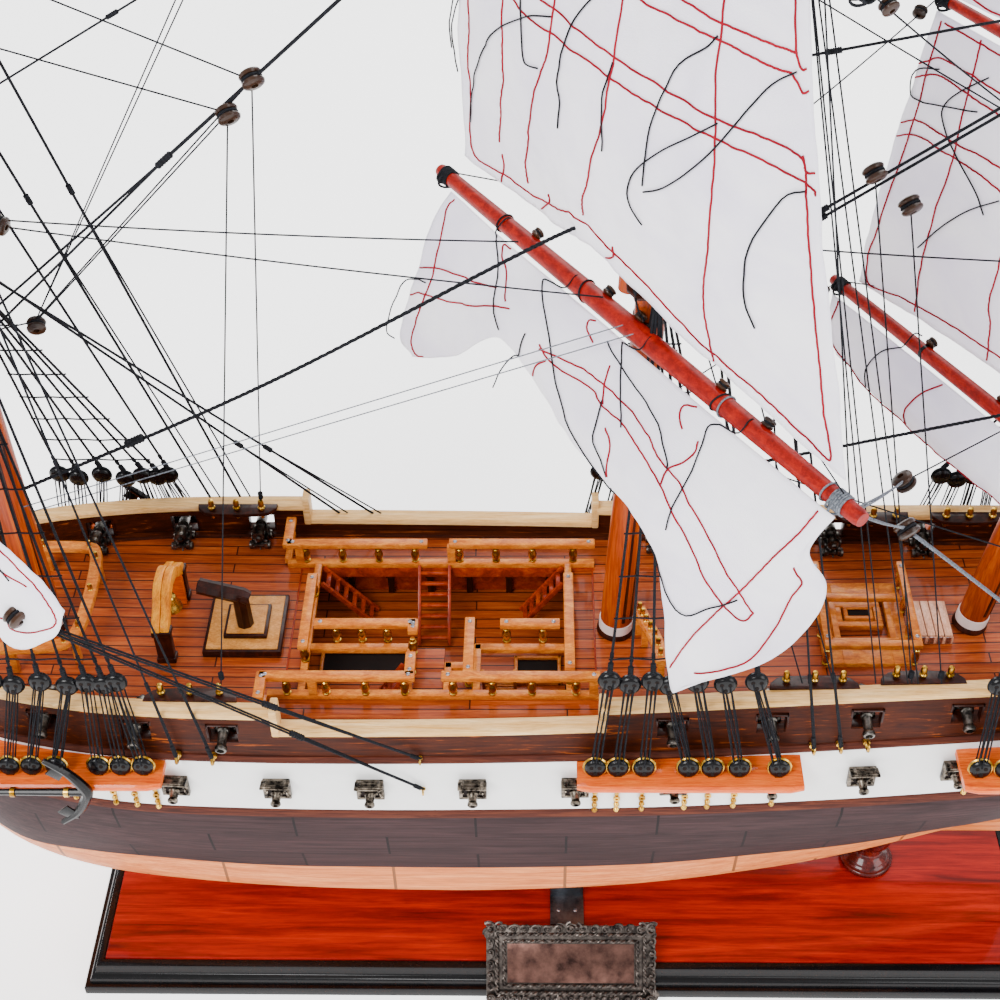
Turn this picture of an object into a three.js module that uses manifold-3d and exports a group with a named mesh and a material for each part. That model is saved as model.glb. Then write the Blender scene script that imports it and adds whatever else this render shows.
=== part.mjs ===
// Display model of a three-masted sailing frigate on its base board.
// Millimetres. +X points aft, -Y is the port side, +Z is up.
// The origin is the centre of the underside of the base board.
import * as THREE from "three";
import { mergeVertices } from "three/addons/utils/BufferGeometryUtils.js";
import Module from "manifold-3d";

const wasm = await Module();
wasm.setup();

// Driving dimensions
const GAP = 0.3; // clearance between neighbouring pieces
const BASE = { length: 506, width: 153, height: 17, moulding: 11, foot: 6 };
const KEEL_Z = 50; // underside of the keel amidships
const WATERLINE_Z = 95; // the light bottom planking ends here
const WALE_Z = 150; // the hull is widest here
const DECK_Z = 201; // upper deck amidships, at the ship's side
const GUN_DECK_Z = 175;
const RAIL_Z = 222; // cap rail of forecastle and quarterdeck, amidships
const WAIST_RAIL_Z = 212;
const DECK_THICK = 2.5;
const WALL = 4.2; // bulwark thickness
const CAP = { thick: 3, width: 8 };
const WAIST = { fore: -131, aft: 14, halfWidth: 41 };
const STEP = { fore: -131, aft: 17 }; // where the high cap rails drop to the waist
const HALF_TURN = Math.PI;

const MAST = {
  fore: { x: -248, rake: 0, radius: 7.8, top: 396, cap: 424, topmast: 560, truck: 716 },
  main: { x: 23.3, rake: 2.5, radius: 7.6, top: 404, cap: 434, topmast: 590, truck: 770 },
  mizzen: { x: 189, rake: 7.5, radius: 7, top: 356, cap: 382, topmast: 500, truck: 640 },
};

// Yards: mast, height, half length, brace angle in degrees, radius at the middle and at the tip.
// slung: how far the middle hangs to port of the mast
const YARDS = [
  { name: "fore_yard", mast: "fore", z: 381, half: 126, brace: 22, mid: 4.4, tip: 3.2 },
  { name: "fore_topsail_yard", mast: "fore", z: 512, half: 100, brace: 22, mid: 3.6, tip: 2.4 },
  { name: "fore_topgallant_yard", mast: "fore", z: 616, half: 70, brace: 22, mid: 2.8, tip: 1.9 },
  { name: "main_yard", mast: "main", z: 385, half: 139, brace: 34, mid: 4.5, tip: 3.3, slung: 5 },
  { name: "main_topsail_yard", mast: "main", z: 562, half: 106, brace: 34, mid: 3.8, tip: 2.5 },
  { name: "main_topgallant_yard", mast: "main", z: 664, half: 76, brace: 34, mid: 2.9, tip: 2 },
  { name: "crossjack_yard", mast: "mizzen", z: 322, half: 133, brace: 30, mid: 3.6, tip: 2.8 },
  { name: "mizzen_topsail_yard", mast: "mizzen", z: 471, half: 118, brace: 30, mid: 3, tip: 2.1 },
  { name: "mizzen_topgallant_yard", mast: "mizzen", z: 556, half: 68, brace: 30, mid: 2.4, tip: 1.6 },
];

// Hull stations, stem to sternpost: underside of the keel, then half breadths low in the bilge,
// at the waterline, at the wale and at the high cap rail
const STATIONS = [
  { x: -336, keel: 132, low: 1.8, water: 2, wide: 3, top: 6 },
  { x: -324, keel: 92, low: 5, water: 9, wide: 19, top: 24 },
  { x: -302, keel: 66, low: 17, water: 26, wide: 40, top: 41 },
  { x: -272, keel: 54, low: 31, water: 45, wide: 57, top: 54 },
  { x: -240, keel: KEEL_Z, low: 41, water: 52, wide: 66, top: 62 },
  { x: -200, keel: KEEL_Z, low: 48, water: 56.5, wide: 72, top: 67.3 },
  { x: -150, keel: KEEL_Z, low: 52, water: 60.5, wide: 74, top: 69.4 },
  { x: -90, keel: KEEL_Z, low: 54, water: 61.5, wide: 74.5, top: 69.2 },
  { x: -30, keel: KEEL_Z, low: 54, water: 61.5, wide: 74, top: 68 },
  { x: 40, keel: KEEL_Z, low: 50, water: 59, wide: 73, top: 65 },
  { x: 100, keel: KEEL_Z, low: 41, water: 52.5, wide: 71, top: 61.9 },
  { x: 150, keel: KEEL_Z, low: 30, water: 45.5, wide: 68.5, top: 59.7 },
  { x: 200, keel: KEEL_Z, low: 15, water: 33.5, wide: 65, top: 57.8 },
  { x: 245, keel: KEEL_Z, low: 5.5, water: 17, wide: 59.5, top: 55 },
  { x: 276, keel: KEEL_Z, low: 2.8, water: 5.5, wide: 54, top: 52 },
  { x: 290, keel: KEEL_Z, low: 2.5, water: 3, wide: 51, top: 50.5 },
];

// Centres of the gun ports, bow to stern
const GUN_PORTS = [-267, -223, -178.6, -132, -89.5, -43, 3.5, 48, 91.8, 133, 175.5, 218, 258];
const BULWARK_PORTS = [-234, -192, -153, 46, 90, 132, 176, 220, 260];

const PAINT = {
  board: { color: 0xa82810, roughness: 0.15 },
  moulding: { color: 0x0c0b0c, roughness: 0.25 },
  casting: { color: 0x4a423c, roughness: 0.45, metalness: 0.8 },
  steel: { color: 0x4c4e52, roughness: 0.5, metalness: 0.7 },
  bottom: { color: 0xe0a878, roughness: 0.4 },
  topside: { color: 0x574950, roughness: 0.45 },
  white: { color: 0xf0efec, roughness: 0.35 },
  rosewood: { color: 0x52291a, roughness: 0.3 },
  maple: { color: 0xe4c98c, roughness: 0.4 },
  deck: { color: 0xa0542f, roughness: 0.5 },
  channel: { color: 0xd25a2a, roughness: 0.3 },
  railing: { color: 0xc97f40, roughness: 0.35 },
  dark: { color: 0x3a1d14, roughness: 0.3 },
  brass: { color: 0xb8892e, roughness: 0.3, metalness: 0.9 },
  black: { color: 0x15140f, roughness: 0.3 },
  mast: { color: 0xc06418, roughness: 0.3 },
  yard: { color: 0xb83412, roughness: 0.3 },
  sail: { color: 0xe9e5f2, roughness: 0.9 },
};

const ship = new THREE.Group();
const point = (x, y, z) => new THREE.Vector3(x, y, z);
const radians = THREE.MathUtils.degToRad;

// Solids: a closed three.js geometry becomes a solid, facing out whichever way it was wound
function solid(geometry) {
  const bare = geometry.clone();
  for (const name of Object.keys(bare.attributes)) if (name !== "position") bare.deleteAttribute(name);
  const merged = mergeVertices(bare, 1e-4);
  const place = merged.attributes.position.array;
  const index = new Uint32Array(merged.index.array);
  let volume = 0;
  const corner = [point(), point(), point()];
  for (let i = 0; i < index.length; i += 3) {
    corner.forEach((c, k) => c.fromArray(place, index[i + k] * 3));
    volume += corner[0].dot(corner[1].clone().cross(corner[2]));
  }
  if (volume < 0)
    for (let i = 0; i < index.length; i += 3) [index[i + 1], index[i + 2]] = [index[i + 2], index[i + 1]];
  return new wasm.Manifold(new wasm.Mesh({ numProp: 3, vertProperties: place, triVerts: index }));
}

const join = (solids) => solids.reduce((whole, piece) => whole.add(piece));
const carve = (whole, tools) => tools.reduce((rest, tool) => rest.subtract(tool), whole);

function addNode(name, body, paint) {
  const mesh = body.getMesh();
  const geometry = new THREE.BufferGeometry();
  geometry.setAttribute("position", new THREE.Float32BufferAttribute(mesh.vertProperties, 3));
  geometry.setIndex(new THREE.Uint32BufferAttribute(mesh.triVerts, 1));
  geometry.computeVertexNormals();
  const node = new THREE.Mesh(geometry, new THREE.MeshStandardMaterial(paint));
  node.name = name;
  ship.add(node);
}

function box([x0, x1], [y0, y1], [z0, z1]) {
  const g = new THREE.BoxGeometry(x1 - x0, y1 - y0, z1 - z0);
  return solid(g.translate((x0 + x1) / 2, (y0 + y1) / 2, (z0 + z1) / 2));
}

function rod(from, to, radiusFrom, radiusTo = radiusFrom, sides = 8) {
  const length = from.distanceTo(to);
  const g = new THREE.CylinderGeometry(radiusTo, radiusFrom, length, sides);
  g.translate(0, length / 2, 0);
  const turn = new THREE.Quaternion().setFromUnitVectors(point(0, 1, 0), to.clone().sub(from).normalize());
  return solid(g.applyQuaternion(turn).translate(from.x, from.y, from.z));
}

// A square bar between two points, level across
function bar(from, to, width, height) {
  const along = to.clone().sub(from);
  const length = along.length();
  const g = new THREE.BoxGeometry(length, width, height);
  const turn = new THREE.Quaternion().setFromUnitVectors(point(1, 0, 0), along.normalize());
  const middle = from.clone().add(to).multiplyScalar(0.5);
  return solid(g.applyQuaternion(turn).translate(middle.x, middle.y, middle.z));
}

// A turned piece: a profile of [radius, height] pairs that starts and ends on the axis
function turned(profile, sides, x, y, z) {
  const g = new THREE.LatheGeometry(profile.map(([r, h]) => new THREE.Vector2(r, h)), sides);
  return solid(g.rotateX(HALF_TURN / 2).translate(x, y, z));
}

// A flat plate: an outline of [x, z] pairs, thick across the ship and centred on y
function plate(outline, thick, y = 0) {
  const shape = new THREE.Shape(outline.map(([x, z]) => new THREE.Vector2(x, z)));
  const g = new THREE.ExtrudeGeometry(shape, { depth: thick, bevelEnabled: false, curveSegments: 6 });
  return solid(g.rotateX(HALF_TURN / 2).translate(0, y + thick / 2, 0));
}

// Triangles that close a ring, wound with the ring or against it
function ringCap(ring, withRing) {
  const flat = ring.map((p) => new THREE.Vector2(p.y, p.z));
  const ringSign = Math.sign(THREE.ShapeUtils.area(flat));
  const wanted = withRing ? ringSign : -ringSign;
  return THREE.ShapeUtils.triangulateShape(flat, []).map(([a, b, c]) =>
    Math.sign(THREE.ShapeUtils.area([flat[a], flat[b], flat[c]])) === wanted ? [a, b, c] : [a, c, b],
  );
}

// A skin through rings with the same number of points, closed at both ends
function loft(rings) {
  const count = rings[0].length;
  const last = (rings.length - 1) * count;
  const index = [];
  for (let start = 0; start < last; start += count)
    for (let i = 0; i < count; i++) {
      const a = start + i;
      const b = start + ((i + 1) % count);
      index.push(a, b, a + count, b, b + count, a + count);
    }
  for (const triangle of ringCap(rings[0], false)) index.push(...triangle);
  for (const triangle of ringCap(rings[rings.length - 1], true)) index.push(...triangle.map((i) => last + i));
  const g = new THREE.BufferGeometry();
  const place = rings.flat().flatMap((p) => [p.x, p.y, p.z]);
  g.setAttribute("position", new THREE.Float32BufferAttribute(place, 3));
  g.setIndex(index);
  return solid(g);
}

// Hull lines
const sheer = (x) => 7e-5 * (x + 60) ** 2;
const deckAt = (x) => DECK_Z + sheer(x);
const railAt = (x) => RAIL_Z + sheer(x);
const bandTop = (x) => 192 + 1.2 * sheer(x);
const bandBottom = (x) => 160 + 1.2 * sheer(x);

// Half breadth of a station at height z above the wale: tumblehome that grows towards the rail
function upperBreadth(station, z) {
  const rise = Math.max(0, (z - WALE_Z) / (railAt(station.x) - WALE_Z));
  return station.wide - (station.wide - station.top) * rise ** 1.6;
}

// Half breadth at any place along the hull, above the wale
function breadthAt(x, z) {
  const aft = Math.max(1, STATIONS.findIndex((s) => s.x >= x));
  const [a, b] = [STATIONS[aft - 1], STATIONS[aft]];
  const t = (x - a.x) / (b.x - a.x);
  return upperBreadth(a, z) * (1 - t) + upperBreadth(b, z) * t;
}

// One side of a hull section from the keel up to height top, as [half breadth, z] pairs
function hullSide(station, top) {
  const waterline = Math.max(WATERLINE_Z, station.keel + 12);
  const low = station.keel + 0.39 * (waterline - station.keel);
  const side = [
    [1.5, station.keel],
    [station.low, low],
    [(station.low + station.water * 1.25) / 2.16, (low + waterline) / 2],
    [station.water, waterline],
    [station.water * 0.42 + station.wide * 0.58, waterline * 0.55 + WALE_Z * 0.45],
    [station.wide, WALE_Z],
  ];
  for (const share of [0.5, 1]) {
    const z = WALE_Z + (top - WALE_Z) * share;
    side.push([upperBreadth(station, z), z]);
  }
  return side;
}

// The closed ring of a section: up the port side and down the starboard side
const ringOf = (x, side) => [
  ...side.map(([b, z]) => point(x, -b, z)),
  ...side.toReversed().map(([b, z]) => point(x, b, z)),
];

// The space inside the hull's side, inset by a wall, between heights that follow the sheer
function insideLoft(inset, ...levels) {
  const side = (s) => levels.map((z) => [upperBreadth(s, z + sheer(s.x)) - inset, z + sheer(s.x)]);
  return loft(STATIONS.slice(1).map((s) => ringOf(s.x, side(s))));
}

// Hull, in two bodies that meet at the waterline
const hullTop = DECK_Z - DECK_THICK - GAP;
const wholeHull = loft(STATIONS.map((s) => ringOf(s.x, hullSide(s, hullTop + sheer(s.x)))));
const far = 1000;
const below = (z) => box([-far, far], [-far, far], [-far, z]);
const above = (z) => box([-far, far], [-far, far], [z, far]);
const stem = plate(
  [
    [-270, KEEL_Z + 6], [-300, 58], [-326, 78], [-341, 108], [-347, 140], [-352, 165], [-368, 192], [-366, 200],
    [-346, 196], [-338, 190], [-330, 140], [-318, 100], [-296, 74], [-270, 62],
  ],
  5,
);
const hullWithStem = wholeHull.add(stem);
const well = box([WAIST.fore - 12, WAIST.aft], [-52, 52], [GUN_DECK_Z - DECK_THICK, far]);
const STERNPOST_X = 290;
const keel = box([-250, STERNPOST_X], [-2.5, 2.5], [KEEL_Z - 5, KEEL_Z + 8]);
const bottom = hullWithStem.add(keel).intersect(below(WATERLINE_Z - GAP / 2));
addNode("hull_bottom", bottom, PAINT.bottom);
addNode("hull_topsides", carve(hullWithStem.intersect(above(WATERLINE_Z + GAP / 2)), [well]), PAINT.topside);

// Upper deck and gun deck
const opening = box([WAIST.fore, WAIST.aft], [-WAIST.halfWidth, WAIST.halfWidth], [0, far]);
const BOW_WALL_X = -319;
const STERN_WALL_X = 286;
const deckSlab = insideLoft(WALL + GAP, DECK_Z - DECK_THICK, DECK_Z).intersect(
  box([BOW_WALL_X + GAP, STERN_WALL_X - GAP], [-far, far], [0, far]),
);
const mastX = (mast, z) => mast.x + Math.tan(radians(mast.rake)) * (z - 197);
function mastHole(mast) {
  const wide = mast.radius + 2 * GAP;
  return rod(point(mastX(mast, 190), 0, 190), point(mastX(mast, 230), 0, 230), wide, wide, 16);
}
const deckHoles = [opening, ...Object.values(MAST).map(mastHole)];
function deckGun(x, side) {
  const z = deckAt(x) + GAP;
  const reach = side * (breadthAt(x, z + 7) - WALL - 2);
  const inner = reach - side * 17;
  return join([
    box([x - 5, x + 5], [Math.min(reach, inner), Math.max(reach, inner)], [z, z + 4]),
    rod(point(x, inner, z + 6.5), point(x, reach + side * 9, z + 7), 3, 2, 6),
    box([x - 2, x + 2], [Math.min(reach, inner + side * 2), Math.max(reach, inner + side * 2)], [z + 3, z + 6]),
  ]);
}
addNode("upper_deck", carve(deckSlab, deckHoles), PAINT.deck);

// Waterway: a margin plank round the deck at the foot of the bulwarks, with the deck guns on it
const WATERWAY = { width: 4, thick: 1.3 };
const waterwayTop = DECK_Z + GAP + WATERWAY.thick;
const insideWaterway = insideLoft(WALL + WATERWAY.width, DECK_Z - 5, waterwayTop + 5).intersect(
  box([BOW_WALL_X + WATERWAY.width, STERN_WALL_X - WATERWAY.width], [-far, far], [0, far]),
);
const waterway = insideLoft(WALL + GAP, DECK_Z + GAP, waterwayTop)
  .intersect(box([BOW_WALL_X + GAP, STERN_WALL_X - GAP], [-far, far], [0, far]))
  .subtract(insideWaterway);
const deckGuns = BULWARK_PORTS.flatMap((x) => [deckGun(x, -1), deckGun(x, 1)]);
addNode("waterway_guns", join([waterway, ...deckGuns]), PAINT.deck);
const wellFloor = [WAIST.fore - 12 + GAP, WAIST.aft - GAP];
addNode(
  "gun_deck",
  box(wellFloor, [-52 + GAP, 52 - GAP], [GUN_DECK_Z - DECK_THICK + GAP, GUN_DECK_Z]),
  PAINT.deck,
);

// Bulwarks: a wall round the upper deck, lower at the waist, with square gun ports
const wallTop = (x) => (x > STEP.fore && x < STEP.aft ? WAIST_RAIL_Z : RAIL_Z) - CAP.thick;
const outerWall = insideLoft(0, DECK_Z - DECK_THICK, RAIL_Z - CAP.thick);
const innerRoom = insideLoft(WALL, DECK_Z - 20, DECK_Z - DECK_THICK, RAIL_Z - CAP.thick, RAIL_Z + 20).intersect(
  box([BOW_WALL_X, STERN_WALL_X], [-far, far], [0, far]),
);
const waistCut = box([STEP.fore, STEP.aft], [-far, far], [WAIST_RAIL_Z - CAP.thick, far]);
const portHoles = BULWARK_PORTS.map((x) =>
  box([x - 6.5, x + 6.5], [-far, far], [deckAt(x) + 2.5, deckAt(x) + 12.5]),
);
const BOWSPRIT = { heel: point(-321, 0, 212), cap: point(-432, 0, 248), end: point(-556, 0, 288), radius: 6.5 };
const bowspritRoom = rod(BOWSPRIT.heel, BOWSPRIT.cap, BOWSPRIT.radius + GAP, BOWSPRIT.radius + GAP, 16);
addNode("bulwarks", carve(outerWall, [innerRoom, waistCut, bowspritRoom, ...portHoles]), PAINT.rosewood);

// Cap rails: pale strips on the bulwarks, with a post at each step down to the waist
function capRing(level, from, to) {
  const [low, high] = [level - CAP.thick + GAP, level];
  const across = box([from, to], [-far, far], [0, far]);
  const room = box([BOW_WALL_X + 3, STERN_WALL_X - 3], [-far, far], [0, far]);
  const hole = insideLoft(CAP.width - 2, low - 5, high + 5).intersect(room);
  return insideLoft(-2, low, high).subtract(hole).intersect(across);
}
function stepPost(x, side) {
  const outer = side * (breadthAt(x, WAIST_RAIL_Z) + 2);
  const inner = outer - side * (CAP.width + 1);
  const z = [WAIST_RAIL_Z - CAP.thick + GAP, RAIL_Z + 4];
  return box([x, x + 3.5], [Math.min(inner, outer), Math.max(inner, outer)], z);
}
const capRails = join([
  capRing(RAIL_Z, -far, STEP.fore + 1),
  capRing(WAIST_RAIL_Z, STEP.fore + GAP, STEP.aft - GAP),
  capRing(RAIL_Z, STEP.aft - 1, far),
  ...[-1, 1].flatMap((side) => [stepPost(STEP.fore, side), stepPost(STEP.aft - 3.5, side)]),
]);
addNode("cap_rails", capRails, PAINT.maple);

// Gun strips: the white band with a cast gun at every port
// The hull's own skin from the wale to the rail, moved out by an offset
function skinLoft(offset) {
  const side = (s) => {
    const top = hullTop + sheer(s.x);
    const levels = [WALE_Z - 2, WALE_Z, (WALE_Z + top) / 2, top, railAt(s.x) - CAP.thick, railAt(s.x) + 5];
    return levels.map((z) => [upperBreadth(s, z) + offset, z]);
  };
  return loft(STATIONS.slice(1).map((s) => ringOf(s.x, side(s))));
}
const hullRoom = skinLoft(GAP);
const half = (side) => box([BOW_WALL_X, STERN_WALL_X], side < 0 ? [-far, -5] : [5, far], [0, far]);
function sideStrip(offset, low, high) {
  const side = (s) => [low(s.x), (low(s.x) + high(s.x)) / 2, high(s.x)].map((z) => [upperBreadth(s, z) + offset, z]);
  return loft(STATIONS.slice(1).map((s) => ringOf(s.x, side(s))));
}
function gunCasting(x, side) {
  const z = (bandTop(x) + bandBottom(x)) / 2;
  const skin = breadthAt(x, z) + 0.9;
  const across = (from, to) => (side < 0 ? [-skin - to, -skin - from] : [skin + from, skin + to]);
  return join([
    box([x - 6.5, x + 6.5], across(-0.2, 2.4), [z - 5, z + 6]),
    box([x - 6.5, x + 6.5], across(0, 6), [z + 5, z + 7]),
    rod(point(x, side * skin, z), point(x, side * (skin + 9), z - 1), 2.6, 2, 6),
  ]);
}
const CHANNEL = { top: 193, thick: 4, reach: 88, deadeyeY: 79, deadeyeRadius: 4.8 };
const CHANNELS = [
  { from: -266, to: -181, deadeyes: [-258, -249, -239, -228, -209, -199, -189] },
  { from: 4, to: 104, deadeyes: [12, 22, 33.5, 53, 63.5, 75.5, 93] },
  { from: 174, to: 236, deadeyes: [181, 192, 203, 214, 226] },
];
const strake = { low: (x) => bandTop(x) + GAP, high: (x) => bandTop(x) + 3 };
const channelRoom = CHANNELS.map((c) =>
  box([c.from - GAP, c.to + GAP], [-far, far], [CHANNEL.top - CHANNEL.thick - GAP, far]),
);
for (const [name, side] of [["port", -1], ["starboard", 1]]) {
  const band = sideStrip(1.5, bandBottom, bandTop);
  const guns = GUN_PORTS.map((x) => gunCasting(x, side));
  const strip = carve(join([band, ...guns]), [hullRoom, ...channelRoom]).intersect(half(side));
  addNode("gun_strip_" + name, strip, PAINT.white);
  const strakeBody = carve(sideStrip(2, strake.low, strake.high), [hullRoom]).intersect(half(side));
  const channels = CHANNELS.flatMap((c) => {
    const y = side < 0 ? [-CHANNEL.reach, -40] : [40, CHANNEL.reach];
    const shelf = box([c.from, c.to], y, [CHANNEL.top - CHANNEL.thick, CHANNEL.top]);
    const eyeZ = CHANNEL.top + CHANNEL.deadeyeRadius - 0.5;
    const eyes = c.deadeyes.map((x) =>
      rod(
        point(x, side * (CHANNEL.deadeyeY - 1.5), eyeZ),
        point(x, side * (CHANNEL.deadeyeY + 1.5), eyeZ),
        CHANNEL.deadeyeRadius,
      ),
    );
    const link = box([c.from, c.to], side < 0 ? [-72, -50] : [50, 72], [CHANNEL.top - 1, bandTop(c.to) + 2]);
    return [shelf, link, ...eyes];
  });
  addNode("channels_" + name, carve(join([strakeBody, ...channels]), [hullRoom]), PAINT.channel);
}

// Base: a board in a stepped moulding
const ringInside = { x: BASE.length / 2 - BASE.moulding, y: BASE.width / 2 - BASE.moulding };
const slab = (dx, dy, z) => box([-dx, dx], [-dy, dy], z);
addNode("base_board", slab(ringInside.x, ringInside.y, [0, BASE.height]), PAINT.board);
const mouldingSteps = [
  { inset: 0, z: [0, BASE.foot] },
  { inset: 3, z: [BASE.foot, BASE.foot + 4] },
  { inset: 6, z: [BASE.foot + 4, BASE.height - 1] },
];
const moulding = join(
  mouldingSteps.map(({ inset, z }) => slab(BASE.length / 2 - inset, BASE.width / 2 - inset, [z[0], z[1]])),
);
const boardRoom = slab(ringInside.x + GAP, ringInside.y + GAP, [-1, BASE.height + 1]);
addNode("base_moulding", moulding.subtract(boardRoom), PAINT.moulding);

// Pedestals between board and keel
const keelBottom = KEEL_Z - 5;
for (const [name, x] of [["pedestal_fore", -172], ["pedestal_aft", 167]]) {
  const rise = keelBottom - GAP - BASE.height;
  const profile = [
    [0, 0], [14.2, 0], [14.2, 2.5], [12, 5], [8, 7], [6.5, 12], [8, 17], [11.5, 20], [11.5, rise], [0, rise],
  ];
  addNode(name, turned(profile, 20, x, 0, BASE.height + 0.05), PAINT.dark);
}

// Metal strap that holds the keel amidships
const strap = { x: [-7, 11], thick: 1.6, footHalf: 44.5, bend: 26 };
const strapTop = BASE.height + 0.05 + strap.thick;
const strapFloor = box(strap.x, [-strap.footHalf, strap.footHalf], [BASE.height + 0.05, strapTop]);
const strapLeg = (side) => {
  const y = [side * strap.bend - strap.thick / 2, side * strap.bend + strap.thick / 2];
  return box(strap.x, y, [strapTop - 0.6, 55.5]);
};
addNode("keel_bracket", join([strapFloor, strapLeg(-1), strapLeg(1)]), PAINT.steel);

// Name plate: a blank casting that leans on the moulding
function namePlate() {
  const width = 92;
  const height = 44;
  const g = new THREE.BoxGeometry(width, 2.5, height);
  const frame = [
    new THREE.BoxGeometry(width, 2, 5).translate(0, -2, height / 2 - 2.5),
    new THREE.BoxGeometry(width, 2, 5).translate(0, -2, 2.5 - height / 2),
    new THREE.BoxGeometry(5, 2, height).translate(width / 2 - 2.5, -2, 0),
    new THREE.BoxGeometry(5, 2, height).translate(2.5 - width / 2, -2, 0),
  ];
  const lean = radians(-38);
  const place = (piece) => solid(piece.rotateX(lean).translate(3.5, -68.9, 20.6));
  return join([g, ...frame].map(place)).intersect(above(0.4));
}
addNode("name_plate", namePlate(), PAINT.casting);

// Rudder, hung on the sternpost
const RUDDER = { axis: STERNPOST_X + 3, thick: 4.4, foot: KEEL_Z - 4, head: 150 };
const rudderBlade = plate(
  [
    [RUDDER.axis, RUDDER.foot], [RUDDER.axis + 19, RUDDER.foot], [RUDDER.axis + 18, 88],
    [RUDDER.axis + 12, 104], [RUDDER.axis + 8, RUDDER.head], [RUDDER.axis, RUDDER.head],
  ],
  RUDDER.thick,
);
const rudderStock = rod(
  point(RUDDER.axis, 0, RUDDER.foot), point(RUDDER.axis, 0, RUDDER.head), RUDDER.thick / 2, RUDDER.thick / 2, 12,
);
addNode("rudder", join([rudderBlade, rudderStock]), PAINT.dark);

// Stern: the raked transom with its gallery, carried on the after end of the hull
const transomSide = (x, low, high) =>
  ringOf(x, [
    [breadthAt(STERNPOST_X, WALE_Z) - 8, low],
    [breadthAt(STERNPOST_X, WALE_Z) - 2, low + 8],
    [breadthAt(STERNPOST_X, high) - 3, high],
  ]);
const sternX = STERNPOST_X + GAP;
const transom = loft([
  transomSide(sternX, 152, railAt(STERNPOST_X) + 2),
  transomSide(sternX + 8, 158, railAt(STERNPOST_X) + 6),
]);
const galleryStrip = (z) => box([sternX + 4, sternX + 11], [-44, 44], [z, z + 3]);
const sternPanes = [-34, -17, 0, 17, 34].map((y) => box([sternX + 6, sternX + 12], [y - 6, y + 6], [184, 200]));
addNode(
  "stern_gallery",
  carve(join([transom, galleryStrip(172), galleryStrip(210)]), sternPanes),
  PAINT.rosewood,
);

// Masts: lower mast with its top, topmast and topgallant mast stepped ahead of each other
function mastBody(mast, stays) {
  const at = (z, ahead = 0) => point(mastX(mast, z) - ahead, 0, z);
  const heel = deckAt(mast.x) - DECK_THICK + mast.radius * Math.sin(radians(mast.rake)) + 0.1;
  const topAhead = mast.radius * 0.8 + 3.4;
  const gallantAhead = topAhead + 6;
  const topX = mastX(mast, mast.top);
  const capX = mastX(mast, mast.cap);
  const crossX = mastX(mast, mast.topmast) - topAhead;
  return join([
    rod(at(heel), at(mast.top), mast.radius, mast.radius * 0.82, 12),
    rod(at(mast.top - 1), at(mast.cap + 2), mast.radius * 0.72, mast.radius * 0.7, 8),
    box([topX - 11, topX + 13], [-15, 15], [mast.top - 3, mast.top]),
    box([capX - topAhead - 5, capX + 5], [-5, 5], [mast.cap - 4, mast.cap + 1]),
    rod(at(mast.top - 6, topAhead), at(mast.topmast, topAhead), 4.2, 3, 8),
    box([crossX - 9, crossX + 5], [-10, 10], [mast.topmast - 19, mast.topmast - 17]),
    box([crossX - 8.5, crossX + 3.5], [-3, 3], [mast.topmast - 3, mast.topmast]),
    rod(at(mast.topmast - 21, gallantAhead), at(mast.truck, gallantAhead), 2.6, 1.2, 8),
    turned([[0, 0], [2.6, 0], [2.6, 1.5], [0, 1.5]], 8, mastX(mast, mast.truck) - gallantAhead, 0, mast.truck - 0.5),
    ...stays.map(({ z, ahead = 0, end }) => rod(at(z, ahead), end, 0.9, 0.9, 6)),
  ]);
}
const bowspritAt = (x) => {
  const [a, b] = x > BOWSPRIT.cap.x ? [BOWSPRIT.heel, BOWSPRIT.cap] : [BOWSPRIT.cap, BOWSPRIT.end];
  return a.z + ((b.z - a.z) * (x - a.x)) / (b.x - a.x);
};
const STAYS = {
  fore: [
    { z: 414, end: point(-404, 0, bowspritAt(-404) + 12) },
    { z: 541, ahead: 12, end: point(-428, 0, bowspritAt(-428) + 12) },
    { z: 543, ahead: 13, end: point(-505, 0, bowspritAt(-505) + 4.5) },
  ],
  main: [{ z: 411, end: point(-240.1, 0, 290) }],
  mizzen: [{ z: 340, end: point(35.1, 0, 294.3) }],
};
for (const name of ["fore", "main", "mizzen"])
  addNode(name + "_mast", mastBody(MAST[name], STAYS[name]), PAINT.mast);

// Bowsprit and jibboom
const jibboomStart = BOWSPRIT.heel.clone().lerp(BOWSPRIT.cap, 0.6).add(point(0, 0, 6));
addNode(
  "bowsprit",
  join([
    rod(BOWSPRIT.heel, BOWSPRIT.cap, BOWSPRIT.radius, 4.6, 12),
    rod(jibboomStart, BOWSPRIT.end, 3.6, 1.8, 8),
    box([BOWSPRIT.cap.x - 2, BOWSPRIT.cap.x + 2], [-5, 5], [BOWSPRIT.cap.z - 6, BOWSPRIT.cap.z + 8]),
    bar(point(-424, 0, 246), point(-428, 0, 214), 3, 4),
  ]),
  PAINT.mast,
);

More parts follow.
